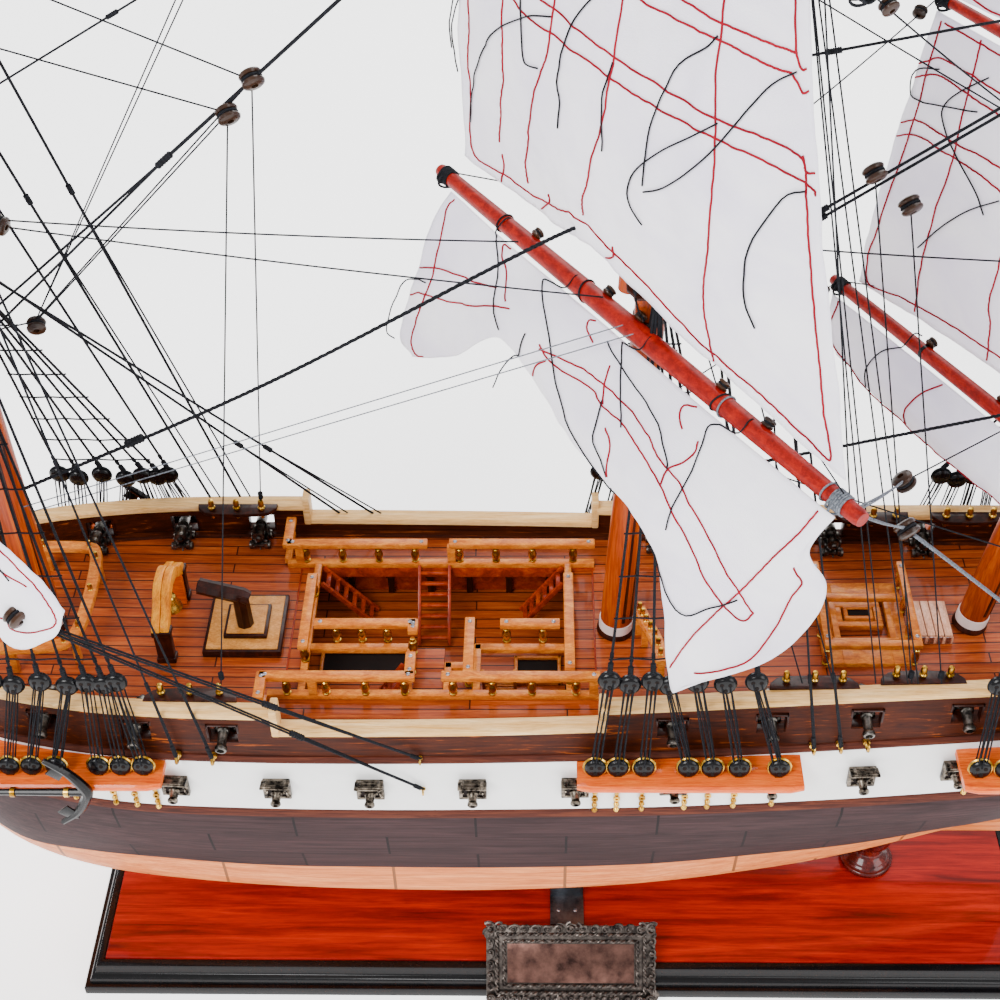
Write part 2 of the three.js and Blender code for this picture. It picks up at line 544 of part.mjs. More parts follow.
// Yards, braced round with the port end aft
const yardAlong = (yard) => point(Math.sin(radians(yard.brace)), -Math.cos(radians(yard.brace)), 0);
const yardAhead = (yard) => point(-Math.cos(radians(yard.brace)), -Math.sin(radians(yard.brace)), 0);
const taper = (z, [z0, r0], [z1, r1]) => r0 + ((r1 - r0) * (z - z0)) / (z1 - z0);
function yardCentre(yard) {
  const mast = MAST[yard.mast];
  const topAhead = mast.radius * 0.8 + 3.4;
  let ahead = 0;
  let radius = mast.radius * 0.84;
  if (yard.z > mast.topmast) {
    ahead = topAhead + 6;
    radius = taper(yard.z, [mast.topmast - 21, 2.6], [mast.truck, 1.2]);
  } else if (yard.z > mast.top) {
    ahead = topAhead;
    radius = taper(yard.z, [mast.top - 6, 4.2], [mast.topmast, 3]);
  }
  const reach = (radius + yard.mid + GAP) / Math.cos(radians(yard.brace));
  const atMast = point(mastX(mast, yard.z) - ahead - reach, 0, yard.z);
  return atMast.addScaledVector(yardAlong(yard), yard.slung ?? 0);
}
for (const yard of YARDS) {
  const centre = yardCentre(yard);
  const along = yardAlong(yard);
  const tips = [-1, 1].map((end) => centre.clone().addScaledVector(along, end * yard.half));
  const halves = tips.map((tip) => rod(centre, tip, yard.mid, yard.tip));
  addNode(yard.name, join(halves), PAINT.yard);
}

// Sails: thin curved sheets. The grid of points is closed by a second skin behind it.
const SAIL_THICK = 1.2;
function sheet(grid, behind) {
  const [rows, columns] = [grid.length, grid[0].length];
  const skin = grid.flat();
  const all = [...skin, ...skin.map((p) => p.clone().addScaledVector(behind, SAIL_THICK))];
  const back = skin.length;
  const index = [];
  const wall = (a, b) => index.push(a, b, b + back, a, b + back, a + back);
  for (let r = 0; r < rows - 1; r++)
    for (let c = 0; c < columns - 1; c++) {
      const [a, b, d, e] = [r * columns + c, r * columns + c + 1, (r + 1) * columns + c, (r + 1) * columns + c + 1];
      index.push(a, d, b, b, d, e);
      index.push(a + back, b + back, d + back, b + back, e + back, d + back);
    }
  for (let c = 0; c < columns - 1; c++) {
    wall(c, c + 1);
    wall((rows - 1) * columns + c + 1, (rows - 1) * columns + c);
  }
  for (let r = 0; r < rows - 1; r++) {
    wall((r + 1) * columns, r * columns);
    wall(r * columns + columns - 1, (r + 1) * columns + columns - 1);
  }
  const g = new THREE.BufferGeometry();
  g.setAttribute("position", new THREE.Float32BufferAttribute(all.flatMap((p) => p.toArray()), 3));
  g.setIndex(index);
  return solid(g);
}

// A square sail: head under its yard, foot over the yard below or hanging free.
// share: half width of head and foot as shares of the yards; belly: how far it fills ahead of them;
// tilt: how much lower the port clew hangs; swing: how far aft it trails
function squareSail({ head, foot, headShare, footShare, belly, rise, tilt = 0, swing = 0 }) {
  const rows = 5;
  const columns = 6;
  const ahead = yardAhead(head);
  const top = yardCentre(head).addScaledVector(ahead, head.mid + 1).setZ(head.z - head.mid * 0.5);
  const bottom = foot.centre;
  return sheet(
    Array.from({ length: rows + 1 }, (_, r) => {
      const v = r / rows;
      const middle = top.clone().lerp(bottom, v);
      const halfWidth = head.half * headShare * (1 - v) + foot.half * footShare * v;
      return Array.from({ length: columns + 1 }, (_, c) => {
        const u = (2 * c) / columns - 1;
        const fill = belly * Math.sin(HALF_TURN * 0.8 * v) * (1 - 0.75 * u * u) - swing * u * v;
        const lift = rise * v * v * (1 - u * u) - tilt * u * v;
        return middle
          .clone()
          .addScaledVector(yardAlong(head), u * halfWidth)
          .addScaledVector(ahead, fill)
          .add(point(0, 0, lift));
      });
    }),
    ahead.clone().negate(),
  );
}
const yardNamed = (name) => YARDS.find((yard) => yard.name === name);
const overYard = (yard) => ({
  half: yard.half,
  centre: yardCentre(yard).addScaledVector(yardAhead(yard), yard.mid + 2).setZ(yard.z + yard.mid + 4),
});
const SQUARE_SAILS = [
  { name: "fore_topsail", head: "fore_topsail_yard", foot: "fore_yard", belly: 16, rise: 18 },
  { name: "fore_topgallant_sail", head: "fore_topgallant_yard", foot: "fore_topsail_yard", belly: 12, rise: 14 },
  { name: "main_topsail", head: "main_topsail_yard", foot: "main_yard", belly: 16, rise: 18 },
  { name: "main_topgallant_sail", head: "main_topgallant_yard", foot: "main_topsail_yard", belly: 12, rise: 10 },
  { name: "mizzen_topsail", head: "mizzen_topsail_yard", foot: "crossjack_yard", belly: 13, rise: 14 },
  { name: "mizzen_topgallant_sail", head: "mizzen_topgallant_yard", foot: "mizzen_topsail_yard", belly: 9, rise: 8 },
];
for (const { name, head, foot, belly, rise } of SQUARE_SAILS)
  addNode(
    name,
    squareSail({ head: yardNamed(head), foot: overYard(yardNamed(foot)), headShare: 0.88, footShare: 0.9, belly, rise }),
    PAINT.sail,
  );

// Courses hang free below the lower yards. drop: how far the foot hangs below its yard; reach: how far
// ahead of it; shift: towards port; tilt: how much lower the port clew hangs; swing: how far aft the port
// clew trails; half: half the foot's width
const COURSES = [
  {
    name: "fore_course", head: "fore_yard", drop: 76, reach: -4, shift: 0, tilt: -4, swing: 16, half: 110,
    belly: 18, rise: 34,
  },
  {
    name: "main_course", head: "main_yard", drop: 98, reach: 28, shift: -18, tilt: 18, swing: 0, half: 109,
    belly: 20, rise: 46,
  },
  {
    name: "mizzen_course", head: "crossjack_yard", drop: 44, reach: 8, shift: 0, tilt: 0, swing: 0, half: 118,
    belly: 12, rise: 10,
  },
];
for (const { name, head, drop, reach, shift, tilt, swing, half, belly, rise } of COURSES) {
  const yard = yardNamed(head);
  const centre = yardCentre(yard)
    .addScaledVector(yardAhead(yard), reach)
    .addScaledVector(yardAlong(yard), shift)
    .setZ(yard.z - drop);
  addNode(
    name,
    squareSail({ head: yard, foot: { half, centre }, headShare: 0.88, footShare: 1, belly, rise, tilt, swing }),
    PAINT.sail,
  );
}

// A sail set fore and aft: four corners in order round the sail, filled to port
function foreAndAftSail(corners, belly) {
  const steps = 5;
  const [a, b, c, d] = corners;
  return sheet(
    Array.from({ length: steps + 1 }, (_, r) => {
      const v = r / steps;
      const [left, right] = [a.clone().lerp(d, v), b.clone().lerp(c, v)];
      return Array.from({ length: steps + 1 }, (_, k) => {
        const u = k / steps;
        const fill = belly * Math.sin(HALF_TURN * u) * Math.sin(HALF_TURN * v);
        return left.clone().lerp(right, u).add(point(0, -fill, 0));
      });
    }),
    point(0, 1, 0),
  );
}
const mizzenBack = (z) => mastX(MAST.mizzen, z) + MAST.mizzen.radius + 3;
const SPANKER = {
  gaffZ: 332,
  boomZ: 241,
  gaffEnd: point(318, 0, 392),
  boomEnd: point(398, 0, 260),
};
const spankerSail = foreAndAftSail(
  [
    point(mizzenBack(SPANKER.gaffZ) + 4, 0, SPANKER.gaffZ - 4),
    point(SPANKER.gaffEnd.x - 8, 0, SPANKER.gaffEnd.z - 9),
    point(SPANKER.boomEnd.x - 24, 0, SPANKER.boomEnd.z + 0.4),
    point(mizzenBack(SPANKER.boomZ) + 6, 0, SPANKER.boomZ + 4.2),
  ],
  12,
);
addNode("spanker_sail", spankerSail, PAINT.sail);
function sparFromMizzen(z, end, thick, thin) {
  const throat = point(mastX(MAST.mizzen, z) + MAST.mizzen.radius + GAP + 0.3, 0, z);
  return join([rod(throat, end, thick, thin), box([throat.x, throat.x + 3], [-5, 5], [z - 3, z + 3])]);
}
addNode("spanker_gaff", sparFromMizzen(SPANKER.gaffZ, SPANKER.gaffEnd, 2.6, 1.8), PAINT.mast);
addNode("spanker_boom", sparFromMizzen(SPANKER.boomZ, SPANKER.boomEnd, 3, 2), PAINT.mast);

const JIBS = [
  { name: "inner_jib", tack: point(-412.9, 0, 281), head: point(-295.7, 0, 478), clew: point(-336, -12, 262) },
  { name: "outer_jib", tack: point(-488.4, 0, 292), head: point(-303.8, 0, 494), clew: point(-434, -10, 287) },
];
for (const { name, tack, head, clew } of JIBS) {
  const nearHead = head.clone().lerp(clew, 0.03).add(point(2, 0, -2));
  addNode(name, foreAndAftSail([head, nearHead, clew, tack], 8), PAINT.sail);
}

// Outline of [y, z] pairs, thick along the ship from x
function crossPlate(outline, x, thick) {
  const shape = new THREE.Shape(outline.map(([y, z]) => new THREE.Vector2(y, z)));
  const g = new THREE.ExtrudeGeometry(shape, { depth: thick, bevelEnabled: false });
  const turn = new THREE.Matrix4().makeBasis(point(0, 1, 0), point(0, 0, 1), point(1, 0, 0));
  return solid(g.applyMatrix4(turn).translate(x, 0, 0));
}

// Waist: coamings and beams round the opening, with rails on turned posts
const WAIST_BEAM = { low: 201.75, high: 204.6, width: 3.4 };
const WAIST_TOP = { low: 214.4, high: 217.4, width: 4.2 };
const beamAlong = (x0, x1, y) =>
  box([x0, x1], [y - WAIST_BEAM.width / 2, y + WAIST_BEAM.width / 2], [WAIST_BEAM.low, WAIST_BEAM.high]);
const beamAcross = (x, y0, y1) =>
  box([x - WAIST_BEAM.width / 2, x + WAIST_BEAM.width / 2], [y0, y1], [WAIST_BEAM.low, WAIST_BEAM.high]);
const railAlong = (x0, x1, y) =>
  box([x0, x1], [y - WAIST_TOP.width / 2, y + WAIST_TOP.width / 2], [WAIST_TOP.low, WAIST_TOP.high]);
const railAcross = (x, y0, y1) =>
  box([x - WAIST_TOP.width / 2, x + WAIST_TOP.width / 2], [y0, y1], [WAIST_TOP.low, WAIST_TOP.high]);
const railPost = (x, y) => rod(point(x, y, WAIST_BEAM.high - 0.5), point(x, y, WAIST_TOP.low + 0.5), 1.2, 1.2, 4);
const ladder = (top, foot, half, across) => {
  const step = across.clone().multiplyScalar(half);
  const sides = [-1, 1].map((k) =>
    bar(top.clone().addScaledVector(step, k), foot.clone().addScaledVector(step, k), 1.4, 2.4),
  );
  const rungs = [0.2, 0.36, 0.52, 0.68, 0.84].map((t) => {
    const middle = top.clone().lerp(foot, t);
    return bar(middle.clone().sub(step), middle.clone().add(step), 2, 1);
  });
  return join([...sides, ...rungs]);
};
const postRow = [-128, -110, -92, -74, -52, -34, -16, 4];
const waistRailings = join([
  beamAlong(-136, 13.5, -42.6), beamAlong(-136, 13.5, 42.6),
  beamAcross(-131.5, -44, 44), beamAcross(-122, -44, 44), beamAcross(-45.5, -44, 44), beamAcross(1.4, -44, 44),
  beamAlong(-122, -72, -15), beamAcross(-73, -44, -13.4), beamAlong(-45.5, 1.4, -15),
  railAlong(-140, -69, -43), railAlong(-57, 14, -43), railAlong(-137, -67.5, 43), railAlong(-57, 14, 43),
  railAcross(-72, -43, -28), railAcross(-121.8, -26, 21.5), railAcross(-45, -41.5, -7.4), railAcross(1.2, -39, 22),
  railAlong(-123, -68.5, -13), railAlong(-45, -3, -13),
  ...postRow.flatMap((x) => [railPost(x, -43), railPost(x, 43)]),
  ...[[-72.5, -30], [-72.5, -15], [-121.9, -24], [-121.9, 20], [-45.2, -39], [-45.2, -15], [1.3, -37], [1.3, 20], [1.3, -14],
    [-105, -14.2], [-88, -14.2], [-30, -14.2], [-12, -14.2]].map(([x, y]) => railPost(x, y)),
  ladder(point(-64.5, 41.5, 203.4), point(-64.5, 14, GUN_DECK_Z + 1.6), 7.2, point(1, 0, 0)),
  ladder(point(-121, 34, 203), point(-94, 34, GUN_DECK_Z + 1.6), 5, point(0, 1, 0)),
  ladder(point(1, 34, 203), point(-22, 34, GUN_DECK_Z + 1.6), 5, point(0, 1, 0)),
]);
addNode("waist_railings", waistRailings, PAINT.railing);

// Belfry with its bell
const BELFRY = { x: -187, thick: 8, pivotUp: 24.6 };
const belfryFoot = deckAt(BELFRY.x) + GAP;
const belfryOutline = [
  [-23, 0], [-23, 21], [-17, 27.5], [-9, 30], [0, 34], [9, 30], [17, 27.5], [23, 21], [23, 0],
  [17.5, 0], [17.5, 14], [11, 23], [0, 27], [-11, 23], [-17.5, 14], [-17.5, 0],
];
const bellPin = rod(
  point(BELFRY.x, -3.2, belfryFoot + 28.5), point(BELFRY.x, -3.2, belfryFoot + BELFRY.pivotUp - 1), 0.8, 0.8, 6,
);
const bellPinTwin = bellPin.translate([0, 6.4, 0]);
addNode(
  "belfry",
  join([
    crossPlate(belfryOutline.map(([y, z]) => [y, belfryFoot + z]), BELFRY.x - BELFRY.thick / 2, BELFRY.thick),
    bellPin,
    bellPinTwin,
  ]),
  PAINT.dark,
);
const bellProfile = [[0, -11], [5.6, -11], [5, -9], [3.6, -6.5], [3, -3.6], [1.8, -2.4], [1.5, 1], [0, 1]];
addNode("bell", turned(bellProfile, 12, BELFRY.x, 0, belfryFoot + BELFRY.pivotUp), PAINT.brass);

// Galley funnel on its stepped base
const GALLEY = { x: [-171, -134], y: 18.8, inner: [-162, -142], innerY: 10.5 };
const galleyFoot = deckAt(GALLEY.x[0]) + GAP;
addNode(
  "galley_stack",
  join([
    box(GALLEY.x, [-GALLEY.y, GALLEY.y], [galleyFoot, galleyFoot + 4]),
    box(GALLEY.inner, [-GALLEY.innerY, GALLEY.innerY], [galleyFoot + 3.5, galleyFoot + 7]),
    rod(point(-152, -4, galleyFoot + 6), point(-152, -4, galleyFoot + 26), 4.2, 4.2, 12),
    rod(point(-149, -4, galleyFoot + 26), point(-172, -1, galleyFoot + 30), 4.2, 4.2, 12),
  ]),
  PAINT.dark,
);

// Quarterdeck: hatch with its railing, skylight, capstan, wheel
const hatchFoot = deckAt(160) + GAP;
const HATCH = { x: [117, 161], y: 27, railZ: 13 };
const hatchPost = (x, y) => rod(point(x, y, hatchFoot + 2), point(x, y, hatchFoot + HATCH.railZ + 1), 1.2, 1.2, 6);
const hatchFrame = box([119, 160], [-26, 26], [hatchFoot, hatchFoot + 3]);
const hatchHole = box([128, 151], [-12, 14], [0, far]);
addNode(
  "hatch_railing",
  join([
    hatchFrame.subtract(hatchHole),
    box([117, 121], [-HATCH.y, HATCH.y], [hatchFoot + HATCH.railZ, hatchFoot + HATCH.railZ + 2.6]),
    box([157.5, 161.5], [-HATCH.y, HATCH.y], [hatchFoot + HATCH.railZ, hatchFoot + HATCH.railZ + 2.6]),
    box([117, 161.5], [-HATCH.y, 3.6 - HATCH.y], [hatchFoot + HATCH.railZ, hatchFoot + HATCH.railZ + 2.6]),
    ...[-24, 0, 24].flatMap((y) => [hatchPost(120.4, y), hatchPost(158.6, y)]),
  ]),
  PAINT.railing,
);
const skylightFoot = deckAt(180) + GAP;
addNode(
  "skylight",
  join([
    box([163.5, 180], [-13, 10], [skylightFoot, skylightFoot + 5]),
    crossPlate([[-13, skylightFoot + 4.5], [-1.5, skylightFoot + 8], [10, skylightFoot + 4.5]], 163.5, 16.5),
  ]),
  PAINT.maple,
);
const CAPSTAN = { x: 82 };
const capstanFoot = deckAt(CAPSTAN.x) + 0.5;
addNode(
  "capstan",
  turned([[0, 0], [7.5, 0], [7.5, 1.6], [4.6, 4], [4.2, 9], [7, 11], [7, 14], [0, 14.6]], 12, CAPSTAN.x, 0, capstanFoot),
  PAINT.dark,
);
const WHEEL = { x: 232, radius: 10.5 };
const wheelFoot = deckAt(WHEEL.x + 9) + GAP;
const wheelAxis = wheelFoot + 15;
const wheelPost = (x) =>
  join([
    box([x - 1.2, x + 1.2], [-3.5, 3.5], [wheelFoot + 1, wheelAxis + 2.2]),
    box([x - 1.2, x + 1.2], [-6, 6], [wheelFoot + 1, wheelFoot + 3]),
  ]);
const axleRoom = rod(point(WHEEL.x - 12, 0, wheelAxis), point(WHEEL.x + 12, 0, wheelAxis), 1.5, 1.5, 12);
addNode(
  "wheel_stand",
  join([
    box([WHEEL.x - 8.4, WHEEL.x + 8.4], [-6, 6], [wheelFoot, wheelFoot + 2]),
    wheelPost(WHEEL.x - 7),
    wheelPost(WHEEL.x + 7),
  ]).subtract(axleRoom),
  PAINT.dark,
);
const wheelSpokes = Array.from({ length: 4 }, (_, k) => {
  const angle = (k * HALF_TURN) / 4;
  const reach = point(0, Math.cos(angle), Math.sin(angle)).multiplyScalar(WHEEL.radius + 1.9);
  const hub = point(WHEEL.x, 0, wheelAxis);
  return rod(hub.clone().sub(reach), hub.clone().add(reach), 0.7, 0.7, 4);
});
const wheelRim = new THREE.TorusGeometry(WHEEL.radius - 2.2, 0.9, 5, 16)
  .rotateY(HALF_TURN / 2)
  .translate(WHEEL.x, 0, wheelAxis);
addNode(
  "steering_wheel",
  join([
    solid(wheelRim),
    ...wheelSpokes,
    rod(point(WHEEL.x - 9.5, 0, wheelAxis), point(WHEEL.x + 9.5, 0, wheelAxis), 1, 1, 8),
    rod(point(WHEEL.x - 4.4, 0, wheelAxis), point(WHEEL.x + 4.4, 0, wheelAxis), 2.6, 2.6, 10),
  ]),
  PAINT.railing,
);

// Fife rails abaft the fore and main masts
for (const [name, x, half] of [["fife_rail_fore", -226, 30], ["fife_rail_main", 42, 33]]) {
  const foot = deckAt(x) + GAP;
  const posts = [-0.9, -0.35, 0.35, 0.9].map((k) =>
    box([x - 1.6, x + 1.6], [k * half - 1.6, k * half + 1.6], [foot, foot + 14.5]),
  );
  addNode(name, join([box([x - 2.6, x + 2.6], [-half, half], [foot + 14, foot + 17]), ...posts]), PAINT.railing);
}

// Anchors, lashed along the fore channels
for (const [name, side] of [["anchor_port", -1], ["anchor_starboard", 1]]) {
  const y = side * (CHANNEL.reach + GAP + 1.7);
  const z = CHANNEL.top - 1;
  const crown = point(-214, y, z);
  const arm = (k) => [
    rod(crown, point(-218, y, z + k * 12), 1.7, 1.5, 6),
    rod(point(-218, y, z + k * 12), point(-226, y, z + k * 22), 1.5, 1, 6),
    box([-228, -218], [y - 1, y + 1], [z + k * 17 - 4, z + k * 17 + 4]),
  ];
  const stock = rod(point(-284, y, z - 20), point(-284, y, z + 20), 1.8, 1.8, 6);
  addNode(name, join([rod(point(-292, y, z), crown, 1.3, 1.7, 6), ...arm(-1), ...arm(1), stock]), PAINT.black);
}

// Head of the ship: rails that sweep from the bows to the knee of the head
const headRail = (side, z0, z1) => rod(point(-364, side * 1.5, z0), point(-325, side * 21, z1), 1.3, 1.3, 6);
addNode(
  "beakhead",
  join([
    box([-367, -345], [-2.5, 2.5], [200.4, 204.4]),
    crossPlate([[-14, 203], [14, 203], [14, 204.6], [-14, 204.6]], -345.5, 6),
    ...[-1, 1].flatMap((side) => [
      headRail(side, 203, 205),
      rod(point(-364, side * 1.5, 203), point(-340, side * 13, 204), 1.2, 1.2, 6),
    ]),
  ]),
  PAINT.dark,
);

export default ship;
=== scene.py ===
"""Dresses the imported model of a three-masted frigate with its finished pieces.

Sizes are millimetres while a piece is shaped, and metres once it is finished.
+X points aft, -Y is the port side, +Z is up.
"""

import math
import random

import bmesh
import bpy
from mathutils import Matrix, Vector, noise


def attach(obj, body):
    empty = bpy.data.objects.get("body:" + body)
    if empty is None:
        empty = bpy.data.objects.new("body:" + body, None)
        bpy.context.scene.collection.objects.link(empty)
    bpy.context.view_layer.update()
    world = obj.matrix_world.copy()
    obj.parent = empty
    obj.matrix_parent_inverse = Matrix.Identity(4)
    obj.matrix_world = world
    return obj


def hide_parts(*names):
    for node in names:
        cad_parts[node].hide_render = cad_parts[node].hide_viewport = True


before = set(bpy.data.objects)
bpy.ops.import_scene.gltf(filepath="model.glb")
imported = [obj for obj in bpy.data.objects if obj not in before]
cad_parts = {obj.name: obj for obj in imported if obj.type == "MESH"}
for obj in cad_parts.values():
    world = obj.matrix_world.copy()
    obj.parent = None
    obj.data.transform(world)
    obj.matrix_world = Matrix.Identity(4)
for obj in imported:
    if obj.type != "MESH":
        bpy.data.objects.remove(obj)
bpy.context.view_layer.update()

bl_info = {
    "name": "Ship model dresser",
    "version": (1, 0, 0),
    "blender": (4, 5, 0),
    "location": "3D View > Sidebar > Ship",
    "description": "Adds planking, spars, sails and rigging to the packed ship model",
    "category": "Object",
}

MM = 0.001
UP = Vector((0, 0, 1))
AFT = Vector((1, 0, 0))
PORT, STARBOARD = -1, 1
SIDES = {"port": PORT, "starboard": STARBOARD}


def half_thick(name):
    """Half the thickness that the settings give a rope or thread, in millimetres."""
    return getattr(bpy.context.scene.ship_sizes, name) / MM / 2


def picked_colour(name):
    """The colour that the settings give a finish, or None when they have none for it."""
    picked = getattr(bpy.context.scene.ship_colours, name, None)
    return tuple(picked) if picked else None


# Shaping with bmesh


def mix(a, b, t):
    return a + (b - a) * t


def curve_value(knots, x):
    """Smooth value at x through sorted (x, value) pairs, or tuples of values."""
    if x <= knots[0][0]:
        return knots[0][1]
    if x >= knots[-1][0]:
        return knots[-1][1]
    i = next(k for k in range(1, len(knots)) if knots[k][0] >= x)
    (x0, p0), (x1, p1) = knots[i - 1], knots[i]
    t = (x - x0) / (x1 - x0)

    def slope(k):
        low, high = max(k - 1, 0), min(k + 1, len(knots) - 1)
        return (knots[high][1] - knots[low][1]) / (knots[high][0] - knots[low][0])

    h = x1 - x0
    return (
        p0 * (1 + 2 * t) * (1 - t) ** 2
        + slope(i - 1) * h * t * (1 - t) ** 2
        + p1 * t * t * (3 - 2 * t)
        - slope(i) * h * t * t * (1 - t)
    )


def through(points, count):
    """count + 1 points on a smooth line through the given points."""
    knots = [(float(i), Vector(p)) for i, p in enumerate(points)]
    return [curve_value(knots, i * (len(points) - 1) / count) for i in range(count + 1)]


def paint(faces, coat):
    for face in faces:
        face.material_index = coat


def pour(bm, part, coat, matrix=None):
    """Adds a shape that was made on its own to a piece, turned and moved by a matrix."""
    paint(part.faces, coat)
    if matrix:
        bmesh.ops.transform(part, matrix=matrix, verts=part.verts)
    part.to_mesh(SCRATCH)
    part.free()
    bm.from_mesh(SCRATCH)


def towards(direction, at=(0, 0, 0)):
    """A matrix that turns +Z to the direction and moves to the place."""
    turn = UP.rotation_difference(Vector(direction)).to_matrix().to_4x4()
    return Matrix.Translation(at) @ turn


def span(side, a, b):
    """Two distances from the middle of the ship as rising y on one side."""
    return sorted((side * a, side * b))


def soften(part, width, segments=2):
    if width:
        sharp = [e for e in part.edges if len(e.link_faces) == 2 and e.calc_face_angle(0) > 0.5]
        bmesh.ops.bevel(
            part, geom=sharp, offset=width, segments=segments, profile=0.5, affect="EDGES", material=-1
        )


def block(bm, x, y, z, coat=0, edge=0.3, matrix=None):
    """A box between pairs of coordinates, with softened edges."""
    size = Vector((x[1] - x[0], y[1] - y[0], z[1] - z[0]))
    middle = Vector((x[0] + x[1], y[0] + y[1], z[0] + z[1])) / 2
    part = bmesh.new()
    place = Matrix.Translation(middle) @ Matrix.Diagonal((*size, 1))
    bmesh.ops.create_cube(part, size=1, matrix=(matrix or Matrix()) @ place)
    soften(part, min(edge, min(size) * 0.45))
    pour(bm, part, coat)


def beam(bm, a, b, width, height, coat=0, edge=0.3):
    """A square bar from a to b, level across."""
    a, b = Vector(a), Vector(b)
    along = (b - a).normalized()
    across = UP.cross(along).normalized() if abs(along.z) < 0.99 else Vector((0, 1, 0))
    over = along.cross(across)
    turn = Matrix((along, across, over)).transposed().to_4x4()
    half = (b - a).length / 2
    block(
        bm, (-half, half), (-width / 2, width / 2), (-height / 2, height / 2), coat, edge,
        Matrix.Translation((a + b) / 2) @ turn,
    )


def lathe(bm, profile, at, direction=(0, 0, 1), steps=16, coat=0):
    """A turned form: (radius, height) pairs spun round a line that starts at a place."""
    part = bmesh.new()
    verts = [part.verts.new((r, 0, h)) for r, h in profile]
    edges = [part.edges.new(pair) for pair in zip(verts, verts[1:])]
    bmesh.ops.spin(
        part, geom=verts + edges, cent=(0, 0, 0), axis=(0, 0, 1), dvec=(0, 0, 0),
        angle=math.tau, steps=steps, use_merge=True, use_duplicate=False,
    )
    bmesh.ops.remove_doubles(part, verts=part.verts, dist=1e-4)
    pour(bm, part, coat, towards(direction, at))


def rod(bm, a, b, radius, end_radius=None, steps=10, coat=0, edge=0.25):
    """A round bar with softened ends."""
    a, b = Vector(a), Vector(b)
    end_radius = radius if end_radius is None else end_radius
    length = (b - a).length
    edge = min(edge, radius * 0.5, end_radius * 0.5, length * 0.25)
    profile = [
        (0, 0), (radius - edge, 0), (radius, edge),
        (end_radius, length - edge), (end_radius - edge, length), (0, length),
    ]
    lathe(bm, profile, a, b - a, steps, coat)


def next_ring(bm, ring, closed):
    pairs = list(zip(ring, ring[1:] + ring[:1])) if closed else list(zip(ring, ring[1:]))
    made = bmesh.ops.extrude_edge_only(bm, edges=[bm.edges.get(p) for p in pairs])["geom"]
    new = {v for v in made if isinstance(v, bmesh.types.BMVert)}
    return [next(e.other_vert(v) for e in v.link_edges if e.other_vert(v) in new) for v in ring]


def skin(bm, rings, coat=0, closed=True, caps=True):
    """A surface through rings of points, each extruded from the one before. Returns the rings of vertices."""
    ring = [bm.verts.new(p) for p in rings[0]]
    for pair in zip(ring, ring[1:] + ring[:1]) if closed else zip(ring, ring[1:]):
        bm.edges.new(pair)
    made = [ring]
    for points in rings[1:]:
        ring = next_ring(bm, ring, closed)
        for vert, p in zip(ring, points):
            vert.co = p
        made.append(ring)
    if caps and closed:
        bm.faces.new(made[0])
        bm.faces.new(made[-1])
    if coat:
        paint({f for ring in made for v in ring for f in v.link_faces}, coat)
    return made


def tube(bm, points, radius, sides=8, coat=0, squash=1.0):
    """A round bar along points. radius is a number or one for each point."""
    points = [Vector(p) for p in points]
    radii = radius if isinstance(radius, (list, tuple)) else [radius] * len(points)
    rings, across = [], None
    for i, p in enumerate(points):
        along = (points[min(i + 1, len(points) - 1)] - points[max(i - 1, 0)]).normalized()
        if across is None:
            across = along.orthogonal().normalized() if abs(along.z) > 0.9 else along.cross(UP).normalized()
        across = (across - along * across.dot(along)).normalized()
        other = along.cross(across)
        rings.append([
            p + (across * math.cos(k * math.tau / sides) + other * math.sin(k * math.tau / sides) * squash) * radii[i]
            for k in range(sides)
        ])
    skin(bm, rings, coat)


def hoop(bm, centre, radius, thick, count, plane, coat=0, sides=6):
    """A closed ring of round bar in the plane of two axes, such as "xz"."""
    first, second = ("xyz".index(axis) for axis in plane)
    points = []
    for k in range(count + 2):
        p = Vector(centre)
        p[first] += radius * math.cos(math.tau * k / count)
        p[second] += radius * math.sin(math.tau * k / count)
        points.append(p)
    tube(bm, points, thick, sides, coat)


def plate(bm, outline, thick, matrix, coat=0, edge=0.3):
    """A flat plate: an outline of (u, v) pairs, thick along +Z of its matrix."""
    part = bmesh.new()
    face = part.faces.new([part.verts.new((u, v, 0)) for u, v in outline])
    made = bmesh.ops.extrude_face_region(part, geom=[face])["geom"]
    top = [v for v in made if isinstance(v, bmesh.types.BMVert)]
    bmesh.ops.translate(part, vec=(0, 0, thick), verts=top)
    bmesh.ops.recalc_face_normals(part, faces=part.faces)
    soften(part, edge)
    pour(bm, part, coat, matrix)


UPRIGHT = Matrix(((1, 0, 0, 0), (0, 0, -1, 0), (0, 1, 0, 0), (0, 0, 0, 1)))
ATHWART = Matrix(((0, 0, 1, 0), (1, 0, 0, 0), (0, 1, 0, 0), (0, 0, 0, 1)))

SCRATCH = bpy.data.meshes.new("scratch")
_forms = {}


def form(name, shape):
    """A shape that is made once and stamped many times."""
    if name not in _forms:
        bm = bmesh.new()
        shape(bm)
        bmesh.ops.recalc_face_normals(bm, faces=bm.faces)
        mesh = bpy.data.meshes.new(name + "_form")
        bm.to_mesh(mesh)
        bm.free()
        _forms[name] = mesh
    return _forms[name]


def stamp(bm, mesh, matrix):
    copy = mesh.copy()
    copy.transform(matrix)
    if matrix.determinant() < 0:
        copy.flip_normals()
    bm.from_mesh(copy)
    bpy.data.meshes.remove(copy)


